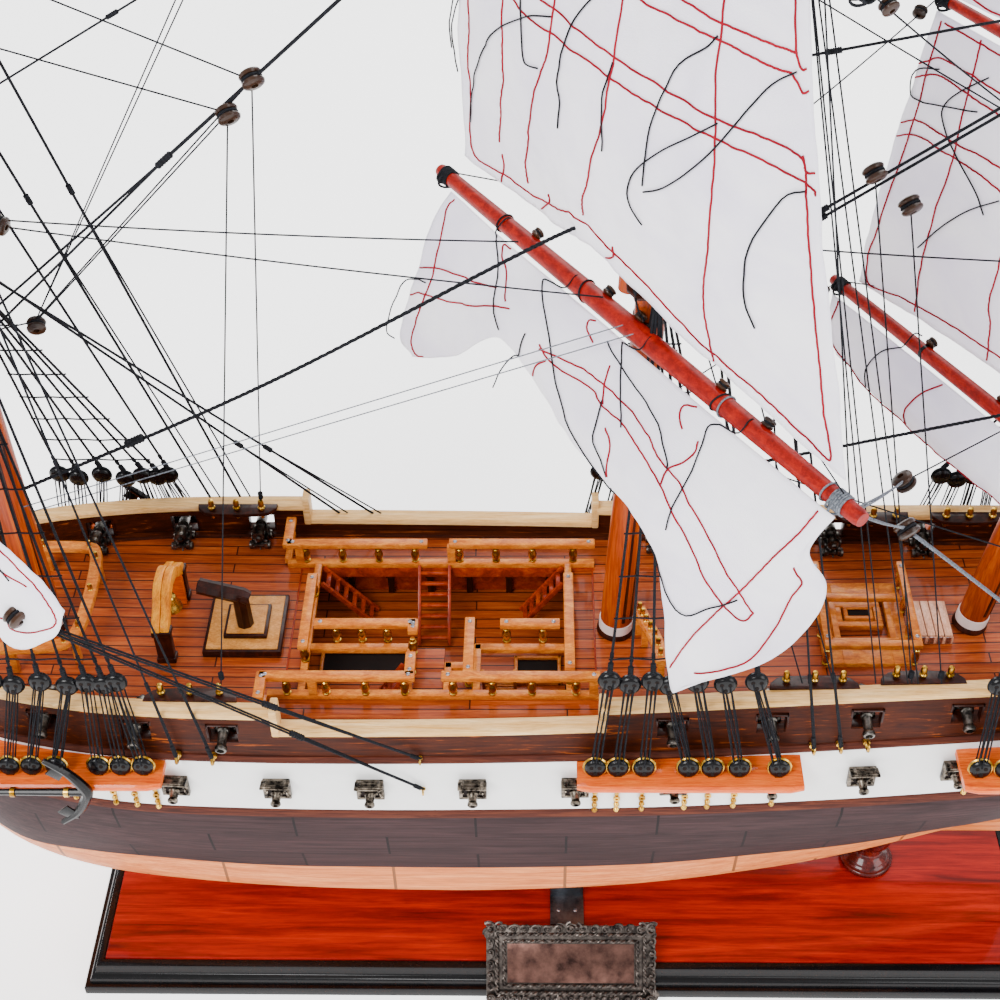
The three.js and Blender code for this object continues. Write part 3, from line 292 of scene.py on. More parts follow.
def finished(name, bm, coats, stands_for=(), body="ship", smooth=35, recalc=True):
    """Turns a bmesh in millimetres into a piece that rides on a body."""
    if recalc:
        bmesh.ops.recalc_face_normals(bm, faces=bm.faces)
    bmesh.ops.scale(bm, vec=(MM, MM, MM), verts=bm.verts)
    mesh = bpy.data.meshes.new(name)
    bm.to_mesh(mesh)
    bm.free()
    mesh.shade_smooth()
    mesh.set_sharp_from_angle(angle=math.radians(smooth))
    piece = bpy.data.objects.new(name, mesh)
    bpy.context.scene.collection.objects.link(piece)
    for coat in coats:
        mesh.materials.append(finish_named(coat))
    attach(piece, body)
    if stands_for:
        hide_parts(*stands_for)
    return piece


def thread_piece(name, lines, coat, sides=6, body="ship"):
    """Threads: (points, radius) pairs become round lines in one piece."""
    curve = bpy.data.curves.new(name, "CURVE")
    curve.dimensions = "3D"
    curve.bevel_depth = MM
    curve.bevel_resolution = max(0, sides // 2 - 2)
    curve.use_fill_caps = True
    for points, radius in lines:
        spline = curve.splines.new("POLY")
        spline.points.add(len(points) - 1)
        for knot, p in zip(spline.points, points):
            knot.co = (p[0] * MM, p[1] * MM, p[2] * MM, 1)
            knot.radius = radius
    made = bpy.data.objects.new(name, curve)
    bpy.context.scene.collection.objects.link(made)
    bpy.context.view_layer.update()
    graph = bpy.context.evaluated_depsgraph_get()
    mesh = bpy.data.meshes.new_from_object(made.evaluated_get(graph))
    bpy.data.objects.remove(made)
    bpy.data.curves.remove(curve)
    mesh.name = name
    mesh.materials.clear()
    mesh.materials.append(finish_named(coat))
    mesh.shade_smooth()
    piece = bpy.data.objects.new(name, mesh)
    bpy.context.scene.collection.objects.link(piece)
    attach(piece, body)
    return piece


def sagging(a, b, sag=0.0, count=1):
    """Points from a to b with a slack of so many millimetres at the middle."""
    a, b = Vector(a), Vector(b)
    return [a.lerp(b, i / count) - UP * (sag * 4 * (i / count) * (1 - i / count)) for i in range(count + 1)]


# Finishes


class Coat:
    """Builds the nodes of one finish."""

    def __init__(self, name, rough, metal=0.0, gloss=0.0, gloss_rough=0.06, sheen=0.0):
        self.made = bpy.data.materials.new(name)
        self.made.use_nodes = True
        self.tree = self.made.node_tree
        self.shader = self.tree.nodes["Principled BSDF"]
        self.shader.inputs["Roughness"].default_value = rough
        self.shader.inputs["Metallic"].default_value = metal
        self.shader.inputs["Coat Weight"].default_value = gloss
        self.shader.inputs["Coat Roughness"].default_value = gloss_rough
        self.shader.inputs["Sheen Weight"].default_value = sheen
        self.shader.inputs["Specular IOR Level"].default_value = 0.15

    def node(self, kind, plugs=None, **settings):
        made = self.tree.nodes.new("ShaderNode" + kind)
        for name, value in settings.items():
            setattr(made, name, value)
        for key, value in (plugs or {}).items():
            socket = made.inputs[key]
            if isinstance(value, bpy.types.NodeSocket):
                self.tree.links.new(value, socket)
            else:
                socket.default_value = value
        return made

    def place(self, scale, source="Object", turn=(0, 0, 0)):
        """Coordinates in pattern units: scale is units for each millimetre, or for each UV unit."""
        coords = self.node("TexCoord").outputs[source]
        factor = 1000 if source == "Object" else 1
        plugs = {"Vector": coords, "Scale": tuple(s * factor for s in scale), "Rotation": turn}
        return self.node("Mapping", plugs).outputs["Vector"]

    def noise(self, vector, detail=6, rough=0.6, distortion=0.0, scale=1.0):
        plugs = {"Vector": vector, "Scale": scale, "Detail": detail, "Roughness": rough, "Distortion": distortion}
        return self.node("TexNoise", plugs).outputs["Fac"]

    def ramp(self, value, *stops):
        made = self.node("ValToRGB", {"Fac": value})
        elements = made.color_ramp.elements
        while len(elements) < len(stops):
            elements.new(0.5)
        for element, (position, colour) in zip(elements, stops):
            element.position = position
            element.color = (*colour, 1)
        return made.outputs["Color"]

    def blend(self, factor, a, b, mode="MIX"):
        made = self.node("Mix", data_type="RGBA", blend_type=mode)
        for socket, value in zip((made.inputs[0], made.inputs[6], made.inputs[7]), (factor, a, b)):
            if isinstance(value, bpy.types.NodeSocket):
                self.tree.links.new(value, socket)
            else:
                socket.default_value = value if isinstance(value, float) else (*value, 1)
        return made.outputs[2]

    def math(self, operation, a, b=0.0):
        made = self.node("Math", operation=operation)
        for socket, value in zip(made.inputs, (a, b)):
            if isinstance(value, bpy.types.NodeSocket):
                self.tree.links.new(value, socket)
            else:
                socket.default_value = value
        return made.outputs[0]

    def colour(self, socket):
        self.tree.links.new(socket, self.shader.inputs["Base Color"])

    def rough(self, value, low, high):
        """Roughness that follows a pattern."""
        plugs = {"Value": value, "To Min": low, "To Max": high}
        self.tree.links.new(self.node("MapRange", plugs).outputs[0], self.shader.inputs["Roughness"])

    def bump(self, height, strength, depth):
        plugs = {"Height": height, "Strength": strength, "Distance": depth * MM}
        self.tree.links.new(self.node("Bump", plugs).outputs["Normal"], self.shader.inputs["Normal"])


def shade(hexed):
    """A linear colour from an sRGB code."""
    parts = [int(hexed[i : i + 2], 16) / 255 for i in (0, 2, 4)]
    return tuple(c / 12.92 if c <= 0.04045 else ((c + 0.055) / 1.055) ** 2.4 for c in parts)


# Woods: dark, middle and light grain, roughness, lacquer, stretch of the grain along x, y and z for each mm
WOODS = {
    "hull_plum": ("1e1214", "322022", "442e30", 0.7, 0.0, (0.02, 0.5, 0.5)),
    "bottom_pale": ("b85820", "dc7c3c", "f09e5e", 0.45, 0.06, (0.02, 0.45, 0.45)),
    "wale_brown": ("2a100a", "4c2014", "6c3822", 0.6, 0.0, (0.03, 0.7, 0.7)),
    "rosewood": ("180502", "481a03", "c05c0a", 0.55, 0.0, (0.035, 0.9, 0.55)),
    "maple": ("cf9848", "e6b875", "f4d39c", 0.45, 0.08, (0.03, 0.6, 0.6)),
    "rail_varnish": ("a24a0c", "cc701c", "ea983a", 0.4, 0.2, (0.12, 0.35, 0.35)),
    "ladder_red": ("621602", "922a06", "b44812", 0.4, 0.12, (0.2, 0.2, 0.2)),
    "dark_wood": ("140502", "2a0c04", "441808", 0.38, 0.15, (0.3, 0.3, 0.06)),
    "channel_wood": ("bc3c06", "e8600e", "f88430", 0.35, 0.3, (0.05, 0.9, 0.9)),
    "mast_wood": ("6e2200", "983602", "bc5808", 0.4, 0.12, (0.5, 0.5, 0.02)),
    "yard_red": ("600701", "8e0c01", "ac1e02", 0.42, 0.08, (0.22, 0.22, 0.4)),
    "belfry_gold": ("c46202", "f0920c", "ffb838", 0.4, 0.2, (0.3, 0.15, 0.15)),
    "board_red": ("4c0200", "8c0c02", "b81c02", 0.3, 0.35, (0.012, 0.2, 0.2)),
    "pedestal_red": ("240402", "4e0c08", "7c2010", 0.25, 0.4, (0.2, 0.2, 0.08)),
    "skylight_maple": ("c4825e", "e2a686", "f0c0a4", 0.4, 0.3, (0.3, 0.12, 0.3)),
    "panel_maple": ("b4702a", "cc8a40", "e0a25c", 0.45, 0.1, (0.15, 0.3, 0.3)),
}


def make_wood(name, dark, middle, light, rough, gloss, stretch):
    coat = Coat(name, rough, gloss=gloss)
    streak = coat.noise(coat.place(stretch), detail=8, rough=0.62, distortion=0.7)
    fine = coat.noise(coat.place([s * 5 for s in stretch]), detail=4, rough=0.7)
    spread = 0.6 if name == "rosewood" else 0.5
    tones = [shade(tone) for tone in (dark, middle, light)]
    chosen = picked_colour(name) or tones[1]
    tones = [tuple(c * t / max(m, 1e-4) for c, t, m in zip(chosen, tone, tones[1])) for tone in tones]
    base = coat.ramp(streak, *zip((0.28, spread, 0.74), tones))
    pores = coat.ramp(fine, (0.35, (0.72, 0.66, 0.6)), (0.6, (1, 1, 1)))
    base = coat.blend(1.0, base, pores, "MULTIPLY")
    return coat, base, fine


def plain_wood(name):
    coat, base, fine = make_wood(name, *WOODS[name])
    coat.colour(base)
    coat.rough(fine, WOODS[name][3] - 0.06, WOODS[name][3] + 0.1)
    coat.bump(fine, 0.25, 0.08)
    return coat.made


def planked_wood(name, wood, length, width, seam, seam_colour, tint, source, offset=0.5, turn=(0, 0, 0)):
    """Wood laid in planks: seams and butts from rows of bricks, each plank with its own tone."""
    coat, base, fine = make_wood(wood, *WOODS[wood])
    coat.made.name = name
    scale = (1 / length, 1 / length, 1 / length) if source == "Object" else (1, 1, 1)
    ratio = width / length if source == "Object" else width
    bricks = coat.node(
        "TexBrick",
        {
            "Vector": coat.place(scale, source, turn), "Color1": (0, 0, 0, 1), "Color2": (1, 1, 1, 1),
            "Mortar": (0.5, 0.5, 0.5, 1), "Scale": 1.0, "Mortar Size": seam, "Mortar Smooth": 0.2,
            "Bias": 0.0, "Brick Width": 1.0, "Row Height": ratio,
        },
        offset=offset, offset_frequency=2,
    )
    tone = coat.ramp(bricks.outputs["Color"], (0, tuple(1 - tint for _ in range(3))), (1, (1 + tint,) * 3))
    base = coat.blend(1.0, base, tone, "MULTIPLY")
    base = coat.blend(bricks.outputs["Fac"], base, shade(seam_colour))
    coat.colour(base)
    coat.rough(fine, WOODS[wood][3] - 0.05, WOODS[wood][3] + 0.1)
    height = coat.math("SUBTRACT", fine, bricks.outputs["Fac"])
    coat.bump(height, 0.3, 0.15)
    return coat.made


def painted(name, colour, rough, gloss, variation=0.06, grain=0.4):
    coat = Coat(name, rough, gloss=gloss)
    mottled = coat.noise(coat.place((0.05, 0.05, 0.05)), detail=5)
    fresh = picked_colour(name) or shade(colour)
    worn = tuple(c * (1 - variation * 2) for c in fresh)
    coat.colour(coat.ramp(mottled, (0.35, worn), (0.65, fresh)))
    fine = coat.noise(coat.place((grain, grain, grain)), detail=3)
    coat.rough(fine, max(0.05, rough - 0.06), rough + 0.08)
    coat.bump(fine, 0.15, 0.05)
    return coat.made


def metal(name, dark, light, rough, speckle=0.5, contrast=(0.4, 0.62), bumpy=0.3):
    coat = Coat(name, rough, metal=1.0)
    patina = coat.noise(coat.place((speckle,) * 3), detail=6, rough=0.65)
    coat.colour(coat.ramp(patina, (contrast[0], shade(dark)), (contrast[1], shade(light))))
    coat.rough(patina, rough + 0.18, max(0.1, rough - 0.08))
    coat.bump(patina, bumpy, 0.12)
    return coat.made


def rope_coat(name, dark, light):
    """Laid rope: the twist of the strands runs round and along each line."""
    coat = Coat(name, 0.8)
    fibre = coat.noise(coat.place((1.3, 1.3, 1.3)), detail=4)
    coat.colour(coat.ramp(fibre, (0.3, shade(dark)), (0.7, shade(light))))
    twist = coat.node(
        "TexWave", {"Vector": coat.place((1.2, 1.2, 1.2), turn=(0.6, 0.6, 0.6)), "Scale": 1.0, "Distortion": 0.6},
        bands_direction="DIAGONAL",
    ).outputs["Fac"]
    coat.bump(twist, 0.6, 0.12)
    return coat.made


def sailcloth(name):
    """Thin white cotton with its weave, faint creases, and a cool lavender tone that varies in random patches."""
    coat = Coat(name, 0.85, sheen=0.2)
    cloud = coat.noise(coat.place((0.012, 0.012, 0.02)), detail=5, distortion=0.4)
    coat.colour(coat.ramp(cloud, (0.3, shade("e6e0f2")), (0.55, shade("f6f3fb")), (0.8, shade("fdfcff"))))
    weave = [
        coat.node(
            "TexWave", {"Vector": coat.place((1, 1, 1), "UV"), "Scale": 1.0, "Distortion": 0.15},
            bands_direction=axis,
        ).outputs["Fac"]
        for axis in ("X", "Y")
    ]
    crease = coat.noise(coat.place((0.05, 0.05, 0.03)), detail=3, distortion=1.2)
    cloth = coat.math("MULTIPLY", coat.math("ADD", *weave), 0.12)
    coat.bump(coat.math("ADD", cloth, crease), 0.35, 0.8)
    return coat.made


PAINTS = {"band_white": "f4f3f1", "stitch_crimson": "94001e"}
FINISHES = {
    **{name: (lambda name=name: plain_wood(name)) for name in WOODS},
    "side_planks": lambda: planked_wood(
        "side_planks", "hull_plum", 1, 1, 0.008, "181012", 0.1, "UV"),
    "bottom_planks": lambda: planked_wood(
        "bottom_planks", "bottom_pale", 1, 1, 0.01, "7a4620", 0.07, "UV"),
    "deck_planks": lambda: planked_wood(
        "deck_planks", "deck_mahogany", 120, 6.2, 0.0032, "2e1208", 0.16, "Object", 0.37),
    "gloss_black": lambda: painted("gloss_black", "0a090c", 0.25, 0.15, 0.3),
    "band_white": lambda: painted("band_white", PAINTS["band_white"], 0.32, 0.3, 0.03),
    "tape_white": lambda: painted("tape_white", "ead8d2", 0.8, 0.0, 0.1, 1.2),
    # Painted shade: a dark finish laid in hatch openings, the funnel mouth, gun ports, deadeye holes and channel
    # slots, where there is only shade.
    "dark_inside": lambda: painted("dark_inside", "1a0e0a", 0.7, 0.0, 0.3),
    "cast_bronze": lambda: metal("cast_bronze", "120d0a", "978b7c", 0.32, 0.35, (0.4, 0.72), 0.5),
    "gun_steel": lambda: metal("gun_steel", "141312", "8a847c", 0.3, 0.25, (0.35, 0.75)),
    "brass": lambda: metal("brass", "8a5f12", "e0b450", 0.24, 0.15),
    "strap_steel": lambda: metal("strap_steel", "33363c", "6d7278", 0.35, 0.06),
    "screw_silver": lambda: metal("screw_silver", "8a8a90", "d8d8de", 0.25, 0.4),
    "plate_cast": lambda: metal("plate_cast", "191516", "6b625c", 0.36, 0.3, (0.3, 0.72), 0.6),
    "plate_copper": lambda: metal("plate_copper", "2c1e1c", "78564c", 0.34, 0.12, (0.3, 0.75)),
    "rope_black": lambda: rope_coat("rope_black", "050506", "1e2026"),
    "rope_grey": lambda: rope_coat("rope_grey", "3a3e46", "858a92"),
    "stitch_crimson": lambda: painted("stitch_crimson", PAINTS["stitch_crimson"], 0.7, 0.0, 0.15, 3.0),
    "block_brown": lambda: painted("block_brown", "38200f", 0.35, 0.25, 0.35, 0.8),
    "sail_cotton": lambda: sailcloth("sail_cotton"),
    "window_glass": lambda: painted("window_glass", "2c3540", 0.1, 0.8, 0.2),
}
WOODS["deck_mahogany"] = ("742608", "9c4010", "ba5e24", 0.45, 0.1, (0.03, 0.6, 0.6))

_coats = {}


def finish_named(name):
    if name not in _coats:
        _coats[name] = FINISHES[name]()
    return _coats[name]


# Hull lines, as in the part's source

DECK_Z, GUN_DECK_Z, RAIL_Z, WAIST_RAIL_Z, WALE_Z, WATERLINE_Z = 201, 175, 222, 212, 150, 95
DECK_THICK, WALL, CAP_THICK = 2.5, 4.2, 3
# Pieces stand so far above a surface that no two faces lie in one plane
HAIR = 0.05
STEP_FORE, STEP_AFT = -131, 17
WAIST = {"fore": -131, "aft": 14, "half": 41}
BOW_X, STERN_X = -319, 286
PLANK_LENGTH = 85
# x, underside of the keel, half breadths low in the bilge, at the waterline, at the wale and at the rail
STATIONS = [
    (-336, (132, 1.8, 2, 3, 6)), (-324, (92, 5, 9, 19, 24)), (-302, (66, 17, 26, 40, 41)),
    (-272, (54, 31, 45, 57, 54)), (-240, (50, 41, 52, 66, 62)), (-200, (50, 48, 56.5, 72, 67.3)),
    (-150, (50, 52, 60.5, 74, 69.4)), (-90, (50, 54, 61.5, 74.5, 69.2)), (-30, (50, 54, 61.5, 74, 68)),
    (40, (50, 50, 59, 73, 65)), (100, (50, 41, 52.5, 71, 61.9)), (150, (50, 30, 45.5, 68.5, 59.7)),
    (200, (50, 15, 33.5, 65, 57.8)), (245, (50, 5.5, 17, 59.5, 55)), (276, (50, 2.8, 5.5, 54, 52)),
    (290, (50, 2.5, 3, 51, 50.5)),
]
GUN_PORTS = [-267, -223, -178.6, -132, -89.5, -43, 3.5, 48, 91.8, 133, 175.5, 218, 258]
BULWARK_PORTS = [-234, -192, -153, 46, 90, 132, 176, 220, 260]
_section = {}


def sheer(x):
    return 7e-5 * (x + 60) ** 2


def deck_at(x):
    return DECK_Z + sheer(x)


def rail_at(x):
    return (WAIST_RAIL_Z if STEP_FORE < x < STEP_AFT else RAIL_Z) + sheer(x)


def band_top(x):
    return 192 + 1.2 * sheer(x)


def band_bottom(x):
    return 160 + 1.2 * sheer(x)


def station(x):
    key = round(x, 2)
    if key not in _section:
        knots = [(sx, Vector(values[:3] + (0,))) for sx, values in STATIONS]
        upper = [(sx, Vector((values[3], values[4]))) for sx, values in STATIONS]
        low, high = curve_value(knots, x), curve_value(upper, x)
        _section[key] = (low[0], low[1], low[2], high[0], high[1])
    return _section[key]


def breadth(x, z):
    """Half breadth of the ship's side above the wale."""
    wide, top = station(x)[3:]
    rise = max(0.0, (z - WALE_Z) / (RAIL_Z + sheer(x) - WALE_Z))
    return wide - (wide - top) * rise**1.6


def side_curve(x, count=18):
    """Points (half breadth, z) from the keel up to the wale."""
    keel, low, water, wide, _ = station(x)
    waterline = max(WATERLINE_Z, keel + 12)
    bend = keel + 0.39 * (waterline - keel)
    points = [
        (1.5, keel), (low, bend), ((low + water * 1.25) / 2.16, (bend + waterline) / 2), (water, waterline),
        (water * 0.42 + wide * 0.58, waterline * 0.55 + WALE_Z * 0.45), (wide, WALE_Z),
    ]
    return [(p[0], p[1]) for p in through([Vector((b, z)) for b, z in points], count)]


def half_breadth(x, z):
    """Half breadth at any height."""
    if z >= WALE_Z:
        return breadth(x, z)
    points = side_curve(x)
    for (b0, z0), (b1, z1) in zip(points, points[1:]):
        if z <= z1:
            return mix(b0, b1, max(0.0, (z - z0) / max(z1 - z0, 1e-6)))
    return points[-1][0]


def girth(x, low, high, count):
    """Rows of points on one side between two heights, evenly spaced along the girth."""
    fine = [(half_breadth(x, mix(low, high, k / 40)), mix(low, high, k / 40)) for k in range(41)]
    run = [0.0]
    for a, b in zip(fine, fine[1:]):
        run.append(run[-1] + math.dist(a, b))
    rows, k = [], 0
    for i in range(count + 1):
        goal = run[-1] * i / count
        while k < 39 and run[k + 1] < goal:
            k += 1
        t = (goal - run[k]) / max(run[k + 1] - run[k], 1e-6)
        rows.append((mix(fine[k][0], fine[k + 1][0], t), mix(fine[k][1], fine[k + 1][1], t)))
    return rows


def stations_between(x0, x1, step=8):
    count = max(1, round((x1 - x0) / step))
    return [mix(x0, x1, i / count) for i in range(count + 1)]


def planked_shell(bm, low, high, strakes, first, start=-335, thick=2.5):
    """Both sides between two heights, in strakes. The UV map counts planks along and strakes up."""
    uv = bm.loops.layers.uv.verify()
    rows = strakes * 3
    xs = stations_between(start, 290, 7)
    for side in SIDES.values():
        rings = []
        for x in xs:
            keel = station(x)[0]
            outer = [(side * b, z) for b, z in girth(x, max(low(x), keel), max(high(x), keel + 3), rows)]
            inner = [(side * max(abs(y) - thick, 0.4), z) for y, z in reversed(outer)]
            rings.append([Vector((x, y, z)) for y, z in outer + inner])
        made = skin(bm, rings)
        lookup = {}
        for i, ring in enumerate(made):
            for j, vert in enumerate(ring):
                level = j if j <= rows else 2 * rows + 1 - j
                lookup[vert] = (xs[i] / PLANK_LENGTH, first + level / 3)
        for ring in made:
            for vert in ring:
                for loop in vert.link_loops:
                    loop[uv].uv = lookup[vert]


def side_strip(bm, xs, side, profile, coat=0):
    """A strip along the ship's side: a profile of (out, height) pairs, where each height is a function of x."""
    rings = []
    for x in xs:
        rings.append([Vector((x, side * (breadth(x, z(x)) + out), z(x))) for out, z in profile])
    skin(bm, rings, coat)


def raised(line, up):
    """A height that follows another one at a distance."""
    return lambda x: line(x) + up


def build_hull():
    bm = bmesh.new()
    planked_shell(bm, lambda x: station(x)[0], lambda x: WATERLINE_Z, 4, 0, -323)
    block(bm, (-250, 290), (-2.5, 2.5), (45, 53), 1, 0.5)
    stem_low = [(-270, 56), (-300, 58), (-320, 72), (-330, 84), (-335, 94.8), (-316, 94.8), (-296, 74), (-270, 62)]
    plate(bm, stem_low, 5, Matrix.Translation((0, 2.5, 0)) @ UPRIGHT, 1, 0.5)
    finished("bottom_planking", bm, ["bottom_planks", "bottom_pale"], ["hull_bottom"])

    bm = bmesh.new()
    planked_shell(bm, lambda x: WATERLINE_Z, lambda x: WALE_Z + 4 + 1.2 * sheer(x), 3, 0)
    planked_shell(bm, lambda x: WALE_Z + 4 + 1.2 * sheer(x), lambda x: deck_at(x) - DECK_THICK - 0.4, 2, 3)
    knee = [
        (-330, 95.2), (-336.5, 95.2), (-341, 108), (-346.5, 138), (-351, 160), (-358, 176), (-367.5, 191),
        (-368, 196),
        (-365, 199.6), (-358, 199.5), (-350, 196.6), (-342, 192), (-334, 186), (-328, 176), (-326, 140), (-322, 100),
    ]
    outline = [(p.x, p.y) for p in through([Vector(k) for k in knee + knee[:1]], 70)[:-1]]
    plate(bm, outline, 5, Matrix.Translation((0, 2.5, 0)) @ UPRIGHT, 1, 0.6)
    finished("side_planking", bm, ["side_planks", "hull_plum"], ["hull_topsides"])

    bm = bmesh.new()
    xs = stations_between(-334, 289.5, 6)
    for side in SIDES.values():
        low, high = raised(band_bottom, -6.2), raised(band_bottom, -0.2)
        profile = [
            (-0.8, low), (0.9, low), (1.5, raised(low, 0.7)), (1.5, raised(high, -0.5)), (1.2, high), (-0.8, high)
        ]
        side_strip(bm, xs, side, profile)
    finished("wale", bm, ["wale_brown"])

    for word, side in SIDES.items():
        bm = bmesh.new()
        inner = stations_between(BOW_X, STERN_X, 6)
        high = raised(band_top, -0.1)
        profile = [
            (0.3, band_bottom), (1.1, band_bottom), (1.3, raised(band_bottom, 0.4)), (1.3, raised(high, -0.4)),
            (1.1, high), (0.3, high)
        ]
        side_strip(bm, inner, side, profile)
        cheek = [
            (0.4, (lambda x: band_bottom(x) + 0.2)), (1.5, (lambda x: band_bottom(x) + 0.2)),
            (1.5, raised(band_top, -0.2)), (0.4, raised(band_top, -0.2))
        ]
        side_strip(bm, stations_between(-333, BOW_X, 5), side, cheek)
        finished("white_band_" + word, bm, ["band_white"], ["gun_strip_" + word])

    bm = bmesh.new()
    for side in SIDES.values():
        low = raised(band_top, 0.1)
        profile = [
            (-0.5, low), (1.5, low), (2.3, raised(low, 0.6)), (2.4, raised(low, 1.6)), (1.6, raised(low, 2.4)),
            (1.0, raised(low, 3.2)), (-0.5, raised(low, 3.4))
        ]
        side_strip(bm, xs, side, profile)
    finished("sheer_moulding", bm, ["wale_brown"])


def build_bulwarks():
    """The wall round the upper deck, with its square ports lined in dark wood."""
    bm = bmesh.new()
    foot = raised(band_top, 3)
    for side in SIDES.values():
        for x0, x1 in [(-333, STEP_FORE), (STEP_FORE, STEP_AFT), (STEP_AFT, 289.5)]:
            waist = x0 == STEP_FORE
            top = (
                lambda x: WAIST_RAIL_Z + sheer(x) - CAP_THICK
            ) if waist else (lambda x: RAIL_Z + sheer(x) - CAP_THICK)
            sill, lintel = raised(deck_at, 2.5), raised(deck_at, 12.5)
            ports = [x for x in BULWARK_PORTS if x0 < x < x1]
            marks = [x0] + [x + d for x in ports for d in (-6.5, 6.5)] + [x1]
            strips = [(x0, x1, foot, top)] if waist else [(x0, x1, foot, sill), (x0, x1, lintel, top)]
            strips += [] if waist else [(a, b, sill, lintel) for a, b in zip(marks[::2], marks[1::2])]
            for a, b, low, high in strips:
                side_strip(
                    bm, stations_between(a, b, 7), side, [(0.35, low), (0.35, high), (-WALL, high), (-WALL, low)]
                )
    for x, thick, share in [(BOW_X - 4, 4, 0.9), (STERN_X, 3.4, 0.98)]:
        top = RAIL_Z + sheer(x) - CAP_THICK
        half, low = breadth(x, top) * share, DECK_Z + sheer(x) - 2
        wall = [(-half, low), (half, low), (half, top), (-half, top)]
        plate(bm, wall, thick, Matrix.Translation((x, 0, 0)) @ ATHWART, 0, 0.2)
    finished("bulwark_walls", bm, ["rosewood"], ["bulwarks"], smooth=25)

    bm = bmesh.new()
    for side in SIDES.values():
        for x in BULWARK_PORTS:
            sill = deck_at(x) + 2.5
            y = breadth(x, sill + 5)
            for dz in (-0.5, 10.5):
                block(
                    bm, (x - 7.2, x + 7.2), span(side, y - 4, y + 0.42),
                    (sill + dz - 0.5, sill + dz + 0.5), 0, 0.15
                )
            for dx in (-6.8, 6.8):
                block(
                    bm, (x + dx - 0.5, x + dx + 0.5), span(side, y - 4, y + 0.42),
                    (sill - 1, sill + 11), 0, 0.15
                )
    finished("port_linings", bm, ["dark_wood"])


def cap_profile(width, thick, edge=0.8):
    half = width / 2
    return [
        (-half, 0), (half, 0), (half, thick - edge), (half - edge * 0.4, thick - edge * 0.3), (half - edge, thick),
        (edge - half, thick), (edge * 0.4 - half, thick - edge * 0.3), (-half, thick - edge),
    ]


def build_cap_rails():
    bm = bmesh.new()
    runs = [
        (-331, STEP_FORE + 1, RAIL_Z), (STEP_FORE + 0.5, STEP_AFT - 0.5, WAIST_RAIL_Z), (STEP_AFT - 1, 289.5, RAIL_Z)
    ]
    for side in SIDES.values():
        for x0, x1, level in runs:
            rings = []
            for x in stations_between(x0, x1, 8):
                z = level + sheer(x)
                middle = breadth(x, z) - 2
                rings.append(
                    [
                        Vector((x, side * max(middle + out, 0.4), z - CAP_THICK + up))
                        for out, up in cap_profile(8, CAP_THICK)
                    ]
                )
            skin(bm, rings)
        for x in (STEP_FORE, STEP_AFT - 3.5):
            outer = breadth(x, WAIST_RAIL_Z) + 2.4
            low, high = WAIST_RAIL_Z - CAP_THICK + 0.2, RAIL_Z + 4
            block(bm, (x, x + 3.5), span(side, outer, outer - 9.2), (low, high), 0, 0.7)
    z = RAIL_Z + sheer(STERN_X)
    half = breadth(STERN_X, z)
    block(bm, (STERN_X - 3, STERN_X + 4), (-half, half), (z - CAP_THICK, z), 0, 0.7)
    block(bm, (-331, -322.5), (-20, 20), (rail_at(-325) - CAP_THICK, rail_at(-325)), 0, 0.7)
    finished("cap_rails_maple", bm, ["maple"], ["cap_rails"])


MASTS = {
    "fore": dict(x=-248, rake=0.0, radius=7.8, top=396, cap=424, topmast=560, truck=716),
    "main": dict(x=23.3, rake=2.5, radius=7.6, top=404, cap=434, topmast=590, truck=770),
    "mizzen": dict(x=189, rake=7.5, radius=7.0, top=356, cap=382, topmast=500, truck=640),
}


def mast_x(mast, z):
    return mast["x"] + math.tan(math.radians(mast["rake"])) * (z - 197)


def deck_slab(bm, xs, low, high, inner=None):
    """A deck that follows the sheer, with an opening for the waist."""
    for a, b in zip(xs, xs[1:]):
        mid = (a + b) / 2
        hole = inner if inner and WAIST["fore"] < mid < WAIST["aft"] else 0
        sides = [(-1, 1)] if not hole else [(-1, -hole), (hole, 1)]
        for left, right in sides:
            rings = []
            for x in (a, b):
                z = sheer(x)
                half = breadth(x, high + z) - WALL - 0.2
                y0 = left * half if abs(left) == 1 and left < 0 else left
                y1 = right * half if right == 1 else right
                rings.append(
                    [
                        Vector((x, y0, low + z)), Vector((x, y1, low + z)), Vector((x, y1, high + z)),
                        Vector((x, y0, high + z))
                    ]
                )
            skin(bm, rings)


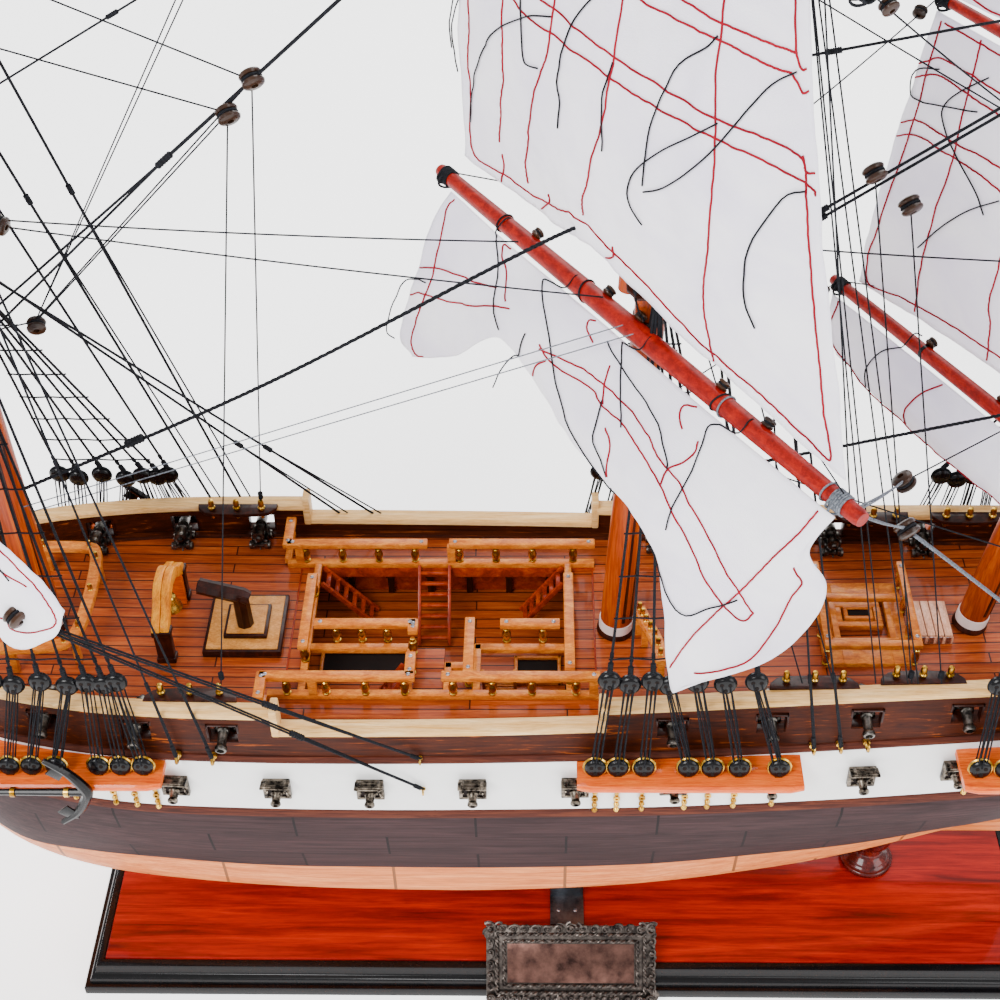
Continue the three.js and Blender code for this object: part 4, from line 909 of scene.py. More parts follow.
def build_decks():
    bm = bmesh.new()
    marks = [BOW_X + 0.3, WAIST["fore"], WAIST["aft"], STERN_X - 0.3]
    xs = sorted({x for a, b in zip(marks, marks[1:]) for x in stations_between(a, b, 12)})
    deck_slab(bm, xs, DECK_Z - DECK_THICK, DECK_Z, WAIST["half"])
    finished("deck_planking", bm, ["deck_planks"], ["upper_deck"], smooth=50)

    bm = bmesh.new()
    x0, x1 = WAIST["fore"] - 11.7, WAIST["aft"] - 0.3
    block(bm, (x0, x1), (-51.7, 51.7), (GUN_DECK_Z - 2.2, GUN_DECK_Z), 0, 0.1)
    finished("gun_deck_planking", bm, ["deck_planks"], ["gun_deck"])

    bm = bmesh.new()
    top = DECK_Z - DECK_THICK - 0.6
    for y in (-52.5, 51.7):
        block(bm, (x0, x1), (y, y + 0.8), (GUN_DECK_Z, top), 0, 0.1)
    block(bm, (x0 - 0.8, x0), (-51.7, 51.7), (GUN_DECK_Z, top), 0, 0.1)
    block(bm, (x1, x1 + 0.2), (-51.7, 51.7), (GUN_DECK_Z, top), 0, 0.1)
    for x in range(-128, 12, 20):
        for side in SIDES.values():
            block(bm, (x - 1.6, x + 1.6), span(side, 41.4, 51.6), (top - 4.4, top), 1, 0.3)
            block(bm, (x - 1.6, x + 1.6), span(side, 49, 51.6), (GUN_DECK_Z, top), 1, 0.3)
    finished("gun_deck_walls", bm, ["ladder_red", "dark_wood"])

    bm = bmesh.new()
    for x0, x1, y0, y1 in [(-119, -77, -8, 8), (-24, -3, -12, 4)]:
        # A dark panel of painted shade fills each hatch opening.
        block(bm, (x0, x1), (y0, y1), (GUN_DECK_Z, GUN_DECK_Z + 0.5), 0, 0.1)
        for y in (y0, y1):
            block(bm, (x0 - 1, x1 + 1), (y - 0.8, y + 0.8), (GUN_DECK_Z, GUN_DECK_Z + 2), 1, 0.3)
        for x in (x0, x1):
            block(bm, (x - 0.8, x + 0.8), (y0 - 0.8, y1 + 0.8), (GUN_DECK_Z, GUN_DECK_Z + 2), 1, 0.3)
    finished("gun_deck_hatches", bm, ["dark_inside", "rail_varnish"])


# Deck fittings


def screw(bm, x, y, z, coat):
    """A small round screw head with its slot."""
    lathe(bm, [(0, 0), (1.05, 0), (1.0, 0.35), (0.6, 0.6), (0, 0.65)], (x, y, z), steps=10, coat=coat)
    block(bm, (x - 0.8, x + 0.8), (y - 0.09, y + 0.09), (z + 0.5, z + 0.72), coat + 1, 0)


BALUSTER = [
    (0, 0), (1.9, 0), (1.9, 0.8), (1.3, 1.1), (1.3, 1.8), (1.8, 2.2), (2.15, 4.0), (2.0, 5.6), (1.35, 6.6),
    (1.35, 7.2), (1.75, 7.6), (1.75, 8.2), (1.2, 8.6), (1.2, 10.2), (0, 10.2),
]
PIN = [
    (0, 0), (0.75, 0), (0.85, 3.5), (0.8, 4.6), (1.5, 5.2), (1.5, 5.7), (1.1, 6.2), (1.25, 8.0), (0.9, 9.2), (0, 9.5)
]


def ladder(bm, top, foot, half, across, rungs, coat):
    top, foot, across = Vector(top), Vector(foot), Vector(across)
    for k in SIDES.values():
        beam(bm, top + across * half * k, foot + across * half * k, 1.5, 2.6, coat, 0.2)
    for i in range(rungs):
        middle = top.lerp(foot, (i + 0.7) / (rungs + 0.4))
        beam(bm, middle - across * half, middle + across * half, 2.2, 1.0, coat, 0.2)


# Railings round the waist: sills on the deck along and across the ship, top rails and turned posts
SILL_HEIGHTS, RAIL_HEIGHTS = (201.5, 204.6), (214.6, 217.6)
SILLS_ALONG = [
    (-137.5, 14.5, -42.6), (-137.5, 14.5, 42.6), (-120.3, -73, -14.2), (-43, -1, -14.2), (-56.6, -43, -25.7),
]
SILLS_ACROSS = [
    (-122, -41, 41), (-73, -41, -12.4), (1.4, -41, 41), (-55, -41, -24), (-41.6, -41, -12.6), (-139, -62, -44),
    (-137.6, 44, 64),
]
TOP_RAILS = [
    ((-140, -43), (-69, -43)), ((-57, -43), (15, -43)), ((-137, 43), (-67.5, 43)), ((-57, 43), (14.5, 43)),
    ((-121.8, -26), (-121.8, 21.5)), ((-45, -41.5), (-45, -7.4)), ((1.2, -39), (1.2, 22)),
    ((-118, -10.5), (-70, -10.5)), ((-31, -10.5), (-3, -10.5)), ((-71.5, -43), (-71.5, -29)),
    ((-71.5, -16.5), (-71.5, -8.4)), ((-138.6, -57), (-138.6, -41)), ((-136.4, 41), (-136.4, 61)),
]
POSTS = (
    [(x, side * 43) for x in (-128, -110, -92, -74, -52, -34, -16, 4) for side in SIDES.values()]
    + [(-71.5, -31), (-71.5, -18.5), (-121.8, -23), (-121.8, 19), (-45, -38), (-45, -10), (1.2, -36), (1.2, 19)]
    + [(x, -10.5) for x in (-108, -96, -84, -28, -11)]
)


def build_waist():
    bm = bmesh.new()
    low, high = SILL_HEIGHTS
    for x0, x1, y in SILLS_ALONG:
        block(bm, (x0, x1), (y - 1.9, y + 1.9), (low, high), 0, 0.35)
    for x, y0, y1 in SILLS_ACROSS:
        block(bm, (x - 1.7, x + 1.7), (y0, y1), (low, high), 0, 0.35)
    for a, b in TOP_RAILS:
        a, b = Vector((*a, 0)), Vector((*b, 0))
        along = (b - a).normalized()
        half = Vector((abs(along.y), abs(along.x), 0)) * 2.4
        x, y = sorted((a.x, b.x)), sorted((a.y, b.y))
        block(bm, (x[0] - half.x, x[1] + half.x), (y[0] - half.y, y[1] + half.y), RAIL_HEIGHTS, 0, 0.5)
        for end in (a + along * 3, b - along * 3):
            screw(bm, end.x, end.y, RAIL_HEIGHTS[1] - 0.1, 3)
    for x, y in POSTS:
        lathe(bm, BALUSTER, (x, y, 204.5), steps=12, coat=2)
    for x, y in [(-116, -43), (-56, 43), (12, -43), (-131, 43)]:
        block(bm, (x - 2, x + 2), (y - 1.7, y + 1.7), (204.5, 214.7), 0, 0.3)
    ladder(bm, (-64.5, 41, 203.2), (-64.5, 12.5, 176), 7.4, (1, 0, 0), 7, 1)
    ladder(bm, (-119.5, 34, 203), (-94, 31, 176), 5.5, (0, 1, 0), 6, 1)
    ladder(bm, (-1.2, 34, 203), (-22, 31, 176), 5.5, (0, 1, 0), 6, 1)
    ladder(bm, (-31.5, -31, 205.5), (-31.5, -18, 176), 7.4, (1, 0, 0), 7, 0)
    ladder(bm, (-76, -30, 203), (-92, -28, 176), 5.5, (0, 1, 0), 6, 1)
    coats = ["rail_varnish", "ladder_red", "brass", "screw_silver", "dark_wood"]
    finished("waist_rails_and_ladders", bm, coats, ["waist_railings"])

    bm = bmesh.new()
    for y0, y1 in ((-41.2, -40.4), (40.4, 41.2)):
        block(bm, (WAIST["fore"], WAIST["aft"]), (y0, y1), (DECK_Z - 5.5, DECK_Z + 0.4), 0, 0.2)
    for x in (WAIST["fore"], WAIST["aft"] - 0.8):
        block(bm, (x, x + 0.8), (-41, 41), (DECK_Z - 5.5, DECK_Z + 0.3), 0, 0.2)
    finished("waist_coaming", bm, ["ladder_red"])

    bm = bmesh.new()
    for x0, x1, y0, y1 in [(-132, -123.6, -41, 41), (3.2, 14, -41, 41), (-71, -57, -41, -27), (-57, -43, -41, -28)]:
        block(bm, (x0, x1), (y0, y1), (DECK_Z - 2.4, DECK_Z - 0.1), 0, 0.1)
    block(bm, (-70.8, -57.2), (-26.8, -12), (DECK_Z - 2.4, DECK_Z - 0.1), 0, 0.1)
    finished("waist_gangways", bm, ["deck_planks"])


BELL_X, CAPSTAN_X, WHEEL_X = -187, 82, 232


def arch_outline(grow):
    """The bell-shaped arch of the belfry, as (y, height) from one shoulder over the top to the other."""
    right = [(23, 19.5), (21.6, 23), (17.5, 25.4), (13.4, 28.2), (9.4, 32.4), (4.6, 34.6), (0, 35)]
    low = [(18, 18), (15, 21.2), (11, 23.6), (7, 27), (3.4, 28.8), (0, 29.2)]
    outer = [(p.x, p.y) for p in through([Vector(p) for p in right], 22)]
    inner = [(p.x, p.y) for p in through([Vector(p) for p in low], 16)]
    ring = outer + [(-y, z) for y, z in outer[-2::-1]]
    ring += [(-y, z) for y, z in inner] + inner[-2::-1]
    return [(y * (1 + grow), z + grow * 10) for y, z in ring]


def build_belfry():
    foot = deck_at(BELL_X) + HAIR
    bm = bmesh.new()
    for x, grow in [(-191.4, 0.0), (-187.3, -0.015)]:
        place = Matrix.Translation((x, 0, foot)) @ ATHWART
        plate(bm, arch_outline(grow), 3.9, place, 0, 0.45)
    finished("belfry_arch", bm, ["belfry_gold"], ["belfry"])

    bm = bmesh.new()
    for side in SIDES.values():
        y = span(side, 18, 22.6)
        block(bm, (-191, -183.2), y, (foot, foot + 18.4), 0, 0.4)
        block(bm, (-191.6, -182.6), (y[0] - 0.6, y[1] + 0.6), (foot, foot + 3), 0, 0.4)
        block(bm, (-191.6, -182.6), (y[0] - 0.6, y[1] + 0.8), (foot + 17.4, foot + 20.4), 0, 0.4)
        block(bm, (-190.2, -184), span(side, 15.4, 18.1), (foot, foot + 21), 1, 0.2)
    hook = [(0, 0), (1.4, 0), (1.4, 1.4), (0.5, 1.8), (0.5, 4.6), (0, 4.6)]
    lathe(bm, hook, (BELL_X, 0, foot + 29.4), (0, 0, -1), 12, 2)
    finished("belfry_posts", bm, ["dark_wood", "channel_wood", "brass"])

    bm = bmesh.new()
    top = foot + 24.85
    profile = [
        (0, -10.6), (0.9, -10.6), (1.1, -9.9), (0.5, -9.2), (3.2, -8.6), (4.4, -10.9), (5.6, -10.9), (5.5, -10.1),
        (4.6, -8.2), (3.7, -6.2), (3.3, -4.0), (2.9, -3.2), (1.7, -2.6), (1.5, -1.9), (0.9, -1.4), (1.3, -0.7),
        (1.3, 0.2), (0, 0.7),
    ]
    lathe(bm, profile, (BELL_X, 0, top), steps=28)
    finished("bell_cast", bm, ["brass"], ["bell"], body="bell", smooth=50)


def build_galley():
    foot = deck_at(-171) + HAIR
    bm = bmesh.new()
    block(bm, (-171, -134), (-18.8, 18.8), (foot, foot + 3.6), 0, 0.5)
    block(bm, (-169.4, -135.6), (-17.2, 17.2), (foot + 3.2, foot + 4.2), 1, 0.3)
    block(bm, (-161.8, -141.2), (-11, 10), (foot + 3.6, foot + 6.2), 0, 0.5)
    block(bm, (-160.4, -142.6), (-9.6, 8.6), (foot + 5.8, foot + 7), 1, 0.3)
    bend = foot + 25.5
    tube(bm, [(-152, -3.5, foot + 6.6), (-152.3, -3.5, bend - 1), (-152.4, -3.5, bend + 1.8)], [4.1, 3.9, 3.9], 8, 0)
    tube(bm, [(-148.6, -3.7, bend - 1.4), (-151, -3.5, bend), (-171.5, -1.4, bend + 4.6)], [3.6, 4, 3.9], 8, 0)
    # A dark disc of painted shade in the mouth of the funnel.
    lathe(bm, [(2.6, 0), (2.6, 0.6), (0, 0.6)], (-171.4, -1.4, bend + 4.6), (-1, 0.1, 0.2), 8, 2)
    finished(
        "galley_funnel", bm, ["dark_wood", "panel_maple", "dark_inside"], ["galley_stack"], smooth=28
    )


def build_quarterdeck():
    foot = deck_at(160) + HAIR
    bm = bmesh.new()
    for x0, x1, y0, y1 in [(119, 128, -26, 26), (151, 160, -26, 26), (128, 151, -26, -12), (128, 151, 14, 26)]:
        block(bm, (x0, x1), (y0, y1), (foot - 2, foot + 1.6), 0, 0.3)
    for x0, x1, y0, y1 in [(124, 155, -15, -12), (124, 155, 14, 17), (125, 128, -12, 14), (151, 154, -12, 14)]:
        block(bm, (x0, x1), (y0, y1), (foot, foot + 4.2), 0, 0.4)
    top = foot + 12.4
    for x in (117.4, 158.2):
        block(bm, (x, x + 3.8), (-23.7, 27.4), (top, top + 3), 0, 0.5)
        for y in (-21.5, 24):
            screw(bm, x + 1.9, y, top + 2.9, 3)
    block(bm, (117.4, 162), (-27.4, -23.6), (top, top + 3), 0, 0.5)
    block(bm, (121, 158), (7.6, 11), (top - 5, top - 2.4), 0, 0.4)
    for x in (119.3, 160.1):
        for y in (-25, -8, 8, 24):
            lathe(bm, [(r * 0.85, h * 1.18) for r, h in BALUSTER], (x, y, foot + 0.4), steps=12, coat=2)
    for grow, high in ((0, 3.4), (4.2, 4.6)):
        x0, x1, y0, y1, wall = 127.2 + grow, 149.2 - grow, -4 + grow * 0.9, 11.8 - grow * 0.9, 3.4 - grow * 0.36
        for xs, ys in (
            ((x0, x1), (y0, y0 + wall)), ((x0, x1), (y1 - wall, y1)),
            ((x0, x0 + wall), (y0 + wall, y1 - wall)), ((x1 - wall, x1), (y0 + wall, y1 - wall)),
        ):
            block(bm, xs, ys, (foot, foot + high), 0, 0.35)
    # A dark block of painted shade in the hatch opening.
    block(bm, (132.6, 143.8), (0.9, 6.9), (foot, foot + 3.9), 5, 0)
    coats = ["rail_varnish", "ladder_red", "brass", "screw_silver", "dark_wood", "dark_inside"]
    finished("hatch_rail", bm, coats, ["hatch_railing"])

    bm = bmesh.new()
    foot = deck_at(180) + HAIR
    block(bm, (163.5, 180), (-13, 10), (foot, foot + 4.6), 0, 0.4)
    for i in range(4):
        x = 163.9 + i * 4.0
        block(bm, (x, x + 3.6), (-12.6, 9.6), (foot + 4.4, foot + 5.7), 0, 0.3)
        block(bm, (x + 0.5, x + 3.1), (-13.3, -12.9), (foot + 0.6, foot + 4.9), 1, 0.1)
    # A dark sheet of painted shade under the slats, seen between them.
    block(bm, (163.7, 179.8), (-12.4, 9.4), (foot + 4.3, foot + 4.9), 2, 0)
    finished("skylight_slats", bm, ["skylight_maple", "screw_silver", "dark_inside"], ["skylight"])

    bm = bmesh.new()
    foot = deck_at(CAPSTAN_X) + 0.35
    profile = [
        (0, 0), (7.5, 0), (7.5, 1.2), (6.4, 1.8), (5, 3.2), (4.5, 5), (4.5, 7.6), (5.4, 9.6), (7, 10.6), (7.1, 13.2),
        (6.2, 14.1), (2, 14.6), (0, 14.6)
    ]
    lathe(bm, profile, (CAPSTAN_X, 0, foot), steps=32)
    for i in range(8):
        turn = Matrix.Translation((CAPSTAN_X, 0, 0)) @ Matrix.Rotation(math.tau * (i + 0.5) / 8, 4, "Z")
        block(bm, (4.3, 6.1), (-0.6, 0.6), (foot + 1.4, foot + 10), 0, 0.25, turn)
        block(bm, (6.4, 7.25), (-0.8, 0.8), (foot + 11.2, foot + 12.8), 1, 0.1, turn)
    finished("capstan_drum", bm, ["dark_wood", "brass"], ["capstan"], body="capstan")

    bm = bmesh.new()
    foot = deck_at(241) + HAIR
    axis = foot + 15.25
    block(bm, (223.8, 240.2), (-6, 6), (foot, foot + 1.9), 0, 0.4)
    for x in (WHEEL_X - 7, WHEEL_X + 7):
        for k in SIDES.values():
            beam(bm, (x, k * 5, foot + 1.6), (x, k * 1.6, axis + 1.6), 1.5, 1.5, 0, 0.2)
        block(bm, (x - 1, x + 1), (-3.2, 3.2), (axis - 3.6, axis - 1.7), 0, 0.2)
        lathe(bm, [(1.5, 0), (2.6, 0), (2.6, 2), (1.5, 2), (1.5, 0)], (x - 1, 0, axis), (1, 0, 0), 16, 1)
    finished("wheel_frame", bm, ["dark_wood", "brass"], ["wheel_stand"])

    bm = bmesh.new()
    spoke = [
        (0, 2), (0.55, 2), (0.55, 5.4), (0.9, 6), (0.6, 7), (0.6, 9), (0.85, 10), (0.5, 10.6), (0.75, 11.6),
        (0.5, 12.3), (0, 12.4)
    ]
    for i in range(8):
        angle = math.tau * i / 8
        lathe(bm, spoke, (WHEEL_X, 0, axis), (0, math.cos(angle), math.sin(angle)), 8, 0)
    for x in (WHEEL_X - 0.8, WHEEL_X + 0.8):
        hoop(bm, (x, 0, axis), 8.3, 0.75, 40, "yz")
    hub = [(1, 9.4), (1, 4.6), (2.3, 4.4), (2.3, 1.2), (2.7, 1)]
    hub = [(0, -9.4)] + [(r, -h) for r, h in hub] + hub[::-1] + [(0, 9.4)]
    lathe(bm, hub, (WHEEL_X, 0, axis), (1, 0, 0), 18, 1)
    finished("wheel_spoked", bm, ["rail_varnish", "brass"], ["steering_wheel"], body="wheel")


def cast_knobs(part, rng, places, low, high):
    """Small lumps of a rough casting. Each place is drawn just before its own radius."""
    for place in places:
        matrix = Matrix.Translation(place)
        bmesh.ops.create_icosphere(part, subdivisions=1, radius=rng.uniform(low, high), matrix=matrix)


def deck_gun_form():
    """A cast gun on its carriage, muzzle along +Y and wheels on the ground plane."""

    def shape(part):
        barrel = [
            (0, -7), (0.9, -7), (1.2, -6.2), (0.8, -5.6), (2.4, -5.2), (2.5, -3.6), (2.1, -3.2), (2.0, 0.4),
            (2.2, 0.7), (1.8, 1.2), (1.6, 7.4), (2.0, 7.8), (2.0, 8.6), (1.0, 9.0), (0.9, 7.6), (0, 7.6)
        ]
        lathe(part, barrel, (0, 0, 7), (0, 1, 0), 14, 0)
        wheel = [(0, -0.8), (1.7, -0.8), (1.9, 0), (1.7, 0.8), (0.7, 1.1), (0, 1.1)]
        for x in (-2.7, 2.7):
            for y, h in ((-4.6, 4.2), (-1.6, 5.2), (1.8, 6.4)):
                block(part, (x - 0.75, x + 0.75), (y - 1.8, y + 1.8), (1.4, h), 0, 0.3)
            for y in (-4.2, 2.4):
                lathe(part, wheel, (x * 1.35, y, 1.7), (1, 0, 0), 12, 0)
        block(part, (-2.6, 2.6), (-5.6, 3.4), (1.6, 2.8), 0, 0.3)
        rng = random.Random(7)
        places = (
            Vector((rng.uniform(-3.4, 3.4), rng.uniform(-6.4, -2), rng.uniform(0.8, 6.6))) for _ in range(16)
        )
        cast_knobs(part, rng, places, 0.45, 0.85)

    return form("deck_gun", shape)


# Barrel that shows through the port of the bulwark: radius and distance from its hidden end
MUZZLE = [
    (0, 0), (2.7, 0), (2.6, 6), (2.3, 6.5), (2.1, 13), (2.7, 13.8), (2.9, 14.8), (2.5, 15.8), (1.6, 16), (1.4, 14.5),
    (0, 14.3),
]


def build_deck_guns():
    bm = bmesh.new()
    for x in BULWARK_PORTS:
        for side in SIDES.values():
            z = deck_at(x) + 0.3
            y = side * (breadth(x, z + 7) - WALL - 6.5)
            turn = Matrix.Rotation(0 if side > 0 else math.pi, 4, "Z")
            stamp(bm, deck_gun_form(), Matrix.Translation((x, y, z)) @ turn @ Matrix.Scale(1.18, 4))
            lathe(bm, MUZZLE, (x, side * (breadth(x, z + 7) - 7), z + 8.2), (0, side, -0.16), 18)
    finished("deck_guns", bm, ["gun_steel"], ["waterway_guns"], recalc=False)

    bm = bmesh.new()
    low, high = raised(deck_at, HAIR), raised(deck_at, 1.6)
    inner = -WALL - 0.25
    profile = [(inner, low), (inner, high), (inner - 3.3, high), (inner - 4, low)]
    for side in SIDES.values():
        side_strip(bm, stations_between(BOW_X + 0.5, STERN_X - 0.5, 7), side, profile)
    finished("waterway_planks", bm, ["rosewood"])


# Pin racks: side, x and half length. Fife rails: x where the deck sets their height, and their line
RACKS = [
    (PORT, -167, 21), (PORT, 108.5, 20), (PORT, 156.3, 19), (STARBOARD, -163, 20), (STARBOARD, 150, 18),
    (PORT, 207, 18), (STARBOARD, 196, 18),
]


FIFE_RAILS = [
    (-240, [
        (-262, 38), (-236, 37.6), (-229, 33), (-226.5, 14), (-226.5, -12), (-230, -24), (-240, -28), (-262, -29)
    ]),
    (38, [(34, -2), (37, -11), (41, -22), (43, -36)]),
]


def build_pin_racks():
    """Dark wooden racks along the bulwarks, each with three brass pins, and the fife rails at the masts."""
    bm = bmesh.new()
    for side, x, half in RACKS:
        z = 220.6 + sheer(x)
        outline = [
            (-half, 0), (half, 0), (half - 0.6, 3.4), (half - 4, 6.6), (half * 0.5, 7.6), (0, 8), (-half * 0.5, 7.6),
            (4 - half, 6.6), (0.6 - half, 3.4)
        ]
        y = side * (breadth(x, 218) - WALL - 1.2)
        place = Matrix.Translation((x, y, z)) @ Matrix.Diagonal((1, -side, 1, 1))
        plate(bm, outline, 2.2, place, 0, 0.5)
        for k in (-0.62, 0, 0.62):
            place = Matrix.Translation((x + k * half, y - side * 4.2, z - 3.2))
            stamp(bm, pin_form_on(1), place @ Matrix.Scale(1.25, 4))
    rail = ((-3, 0), (3, 0), (3, 2), (2.6, 2.6), (-2.6, 2.6), (-3, 2))
    for x, path in FIFE_RAILS:
        z = deck_at(x) + 14.6
        line = through([Vector((*p, z)) for p in path], 28)
        rings = []
        for i, p in enumerate(line):
            along = (line[min(i + 1, 28)] - line[max(i - 1, 0)]).normalized()
            across = along.cross(UP)
            rings.append([p + across * u + UP * v for u, v in rail])
        skin(bm, rings, 2)
        for k in range(1, len(line) - 1, 4):
            stamp(bm, pin_form_on(1), Matrix.Translation(line[k] - UP * 3.2))
        for k in (1, 9, 19, 27):
            foot = deck_at(line[k].x)
            block(bm, (line[k].x - 1.6, line[k].x + 1.6), (line[k].y - 1.6, line[k].y + 1.6), (foot, z + 0.5), 2, 0.3)
    finished(
        "pin_racks", bm, ["dark_wood", "brass", "rail_varnish"], ["fife_rail_fore", "fife_rail_main"]
    )


def pin_form_on(coat):
    return form("pin_%d" % coat, lambda part: lathe(part, PIN, (0, 0, 0), steps=10, coat=coat))


# Ship's side: guns, channels, deadeyes, anchors, bow and stern

CHANNEL_TOP, CHANNEL_THICK, CHANNEL_REACH = 193, 4, 88
DEADEYE_Y, UPPER_DEADEYE_Y, DEADEYE_R = 79.5, 67.5, 4.8
DEADEYE_SEAT = CHANNEL_TOP + DEADEYE_R - 0.2
# How far each upper deadeye of a row hangs above or below the row's height
DEADEYE_SHIFTS = (1.6, -0.8, 1.2, -1.5, 0.4, -0.6, 1.0)
HOLE_OUT = 2.1
HOLE_ANGLES = [math.radians(angle) for angle in (90, 210, 330)]
DEADEYE_HOLES = [(HOLE_OUT * math.cos(a), -HOLE_OUT * math.sin(a)) for a in HOLE_ANGLES]
# x of the ends, the lower deadeyes, and the upper deadeyes with their heights
CHANNELS = {
    "fore": (
        -266, -181, [-258, -249, -239, -228, -209, -199, -189], [-250, -241, -229, -217.6, -208.8, -201.5, -196], 239
    ),
    "main": (4, 104, [12, 22, 33.5, 53, 63.5, 75.5, 93], [17.4, 26.2, 35.9, 43.3, 55, 67.2, 80.4], 240),
    "mizzen": (174, 236, [181, 192, 203, 214, 226], [184, 192, 200, 208, 217], 237),
}


def port_gun_form():
    """A cast gun port: square frame, a barred lid held open above, and a short barrel. Outwards is +Y."""

    def shape(part):
        block(part, (-6.3, 6.3), (-0.3, 1.4), (-6.2, 5.6), 0, 0.5)
        for x in (-5.4, 5.4):
            block(part, (x - 0.9, x + 0.9), (1, 2.4), (-6.2, 5.6), 0, 0.4)
        block(part, (-6.3, 6.3), (1, 2.4), (-6.3, -4.6), 0, 0.4)
        # A dark panel of painted shade inside the port, behind the barrel.
        block(part, (-4.6, 4.6), (1.2, 1.7), (-4.6, 4.4), 1, 0.1)
        tilt = Matrix.Translation((0, 1.6, 5.4)) @ Matrix.Rotation(math.radians(14), 4, "X")
        block(part, (-6.6, 6.6), (0, 5.6), (-0.5, 0.6), 0, 0.35, tilt)
        for k in range(5):
            y = 0.7 + k * 1.06
            block(part, (-6.4, 6.4), (y - 0.28, y + 0.28), (0.4, 1.15), 0, 0.2, tilt)
        for x in (-4.4, 4.4):
            block(part, (x - 0.7, x + 0.7), (0.2, 5.4), (0.5, 1.5), 0, 0.25, tilt)
        barrel = [
            (0, 0), (2.7, 0), (2.7, 2), (2.2, 2.6), (1.9, 5.6), (2.3, 6.1), (2.4, 7.0), (2.0, 7.6), (1.1, 7.8),
            (1.0, 6.4), (0, 6.4)
        ]
        lathe(part, barrel, (0, 1.4, -1.2), (0, 1, -0.2), 16, 0)
        rng = random.Random(3)
        places = (
            Vector((rng.choice((-1, 1)) * rng.uniform(2.6, 5.4), rng.uniform(1.6, 2.8), rng.uniform(-5.4, 4)))
            for _ in range(12)
        )
        cast_knobs(part, rng, places, 0.4, 0.8)

    return form("port_gun", shape)


def on_side(x, z, side, out=0.0):
    """A matrix at a place on the ship's side, with +Y pointing outwards and +X level."""
    slope = breadth(x + 4, z) - breadth(x - 4, z)
    turn = Matrix.Rotation(math.atan2(slope, 8) * side, 4, "Z")
    flip = Matrix.Identity(4) if side > 0 else Matrix.Diagonal((1, -1, 1, 1))
    return Matrix.Translation((x, side * (breadth(x, z) + out), z)) @ turn @ flip


def build_port_guns():
    for word, side in SIDES.items():
        bm = bmesh.new()
        for x in GUN_PORTS:
            z = (band_top(x) + band_bottom(x)) / 2
            stamp(bm, port_gun_form(), on_side(x, z, side, 1.2))
        finished("port_guns_" + word, bm, ["cast_bronze", "dark_inside"], recalc=False)


def deadeye_form(strapped):
    """A deadeye on edge: a grooved black disc with three holes, and a gold strap when strapped. Faces +Y."""

    def shape(part):
        r = DEADEYE_R
        profile = [
            (0, -2.2), (r - 1.5, -2.2), (r - 0.5, -1.7), (r, -0.9), (r - 0.55, -0.4), (r - 0.55, 0.4), (r, 0.9),
            (r - 0.5, 1.7), (r - 1.5, 2.2), (0, 2.2)
        ]
        lathe(part, profile, (0, 0, 0), (0, 1, 0), 24, 0)
        # Dark rims of painted shade in the three holes, on both faces.
        rim = [(0, 0), (0.85, 0), (0.95, 0.12), (0.7, 0.2), (0, 0.05)]
        for x, z in DEADEYE_HOLES:
            for y in (-2.25, 2.25):
                lathe(part, rim, (x, y * 0.98, z), (0, y, 0), 10, 2)
        if strapped:
            hoop(part, (0, 0, 0), r * 1.02, 0.75, 28, "xz", 1)
            rod(part, (0, 0, -r), (0, 0, -r - 2.6), 0.8, None, 8, 1)

    return form("deadeye_%d" % strapped, shape)


def chain_plate_form():
    """A brass plate from the channel down the ship's side to its bolts."""

    def shape(part):
        block(part, (-0.9, 0.9), (0, 1), (-16, 0), 1, 0.3)
        for z in (-15, -11.4, -2):
            lathe(part, [(0, 0), (1.35, 0), (1.35, 0.7), (0.8, 1.4), (0, 1.5)], (0, 0.9, z), (0, 1, 0), 12, 1)
        lathe(part, [(0.7, 0), (1.6, 0), (1.6, 0.9), (0.7, 0.9), (0.7, 0)], (0, 0.9, -7), (0, 1, 0), 12, 1)

    return form("chain_plate", shape)


def build_channels():
    for word, side in SIDES.items():
        bm = bmesh.new()
        for x0, x1, lower, _, _ in CHANNELS.values():
            xs = stations_between(x0, x1, 6)
            rings = []
            for i, x in enumerate(xs):
                inner = breadth(x, CHANNEL_TOP) + 1.4
                end = 1.2 if i in (0, len(xs) - 1) else 0
                outer = CHANNEL_REACH - end
                z0, z1 = CHANNEL_TOP - CHANNEL_THICK + end * 0.3, CHANNEL_TOP - end * 0.3
                profile = [
                    (inner, z0), (outer - 1.4, z0), (outer - 0.4, z0 + 0.6), (outer, z0 + 1.8),
                    (outer - 0.3, z1 - 0.8), (outer - 1.3, z1), (inner, z1)
                ]
                rings.append([Vector((x, side * y, z)) for y, z in profile])
            skin(bm, rings)
            # A dark patch of painted shade in the slot where each lower deadeye sits.
            for x in lower:
                notch = (CHANNEL_TOP - 0.1, CHANNEL_TOP + 0.12)
                block(bm, (x - 1.7, x + 1.7), span(side, 77, 81.5), notch, 1, 0)
        finished("channel_" + word, bm, ["channel_wood", "dark_inside"], ["channels_" + word])

        bm = bmesh.new()
        for x0, x1, lower, upper, upper_z in CHANNELS.values():
            for x in lower:
                place = Matrix.Translation((x, side * DEADEYE_Y, DEADEYE_SEAT))
                stamp(bm, deadeye_form(True), place @ Matrix.Rotation(0.2 * side, 4, "X"))
                z = band_bottom(x) + 14
                stamp(bm, chain_plate_form(), on_side(x + 0.5, z - 4, side, 1.2) @ Matrix.Translation((0, 0, 5)))
            for i, x in enumerate(upper):
                place = Matrix.Translation((x, side * UPPER_DEADEYE_Y, upper_z + DEADEYE_SHIFTS[i]))
                stamp(bm, deadeye_form(False), place @ Matrix.Rotation(0.12 * side, 4, "X"))
        finished("deadeyes_" + word, bm, ["gloss_black", "brass", "dark_inside"], recalc=False)


EYEBOLTS = [-174.5, -158.5, 109, 121, 133, 228]


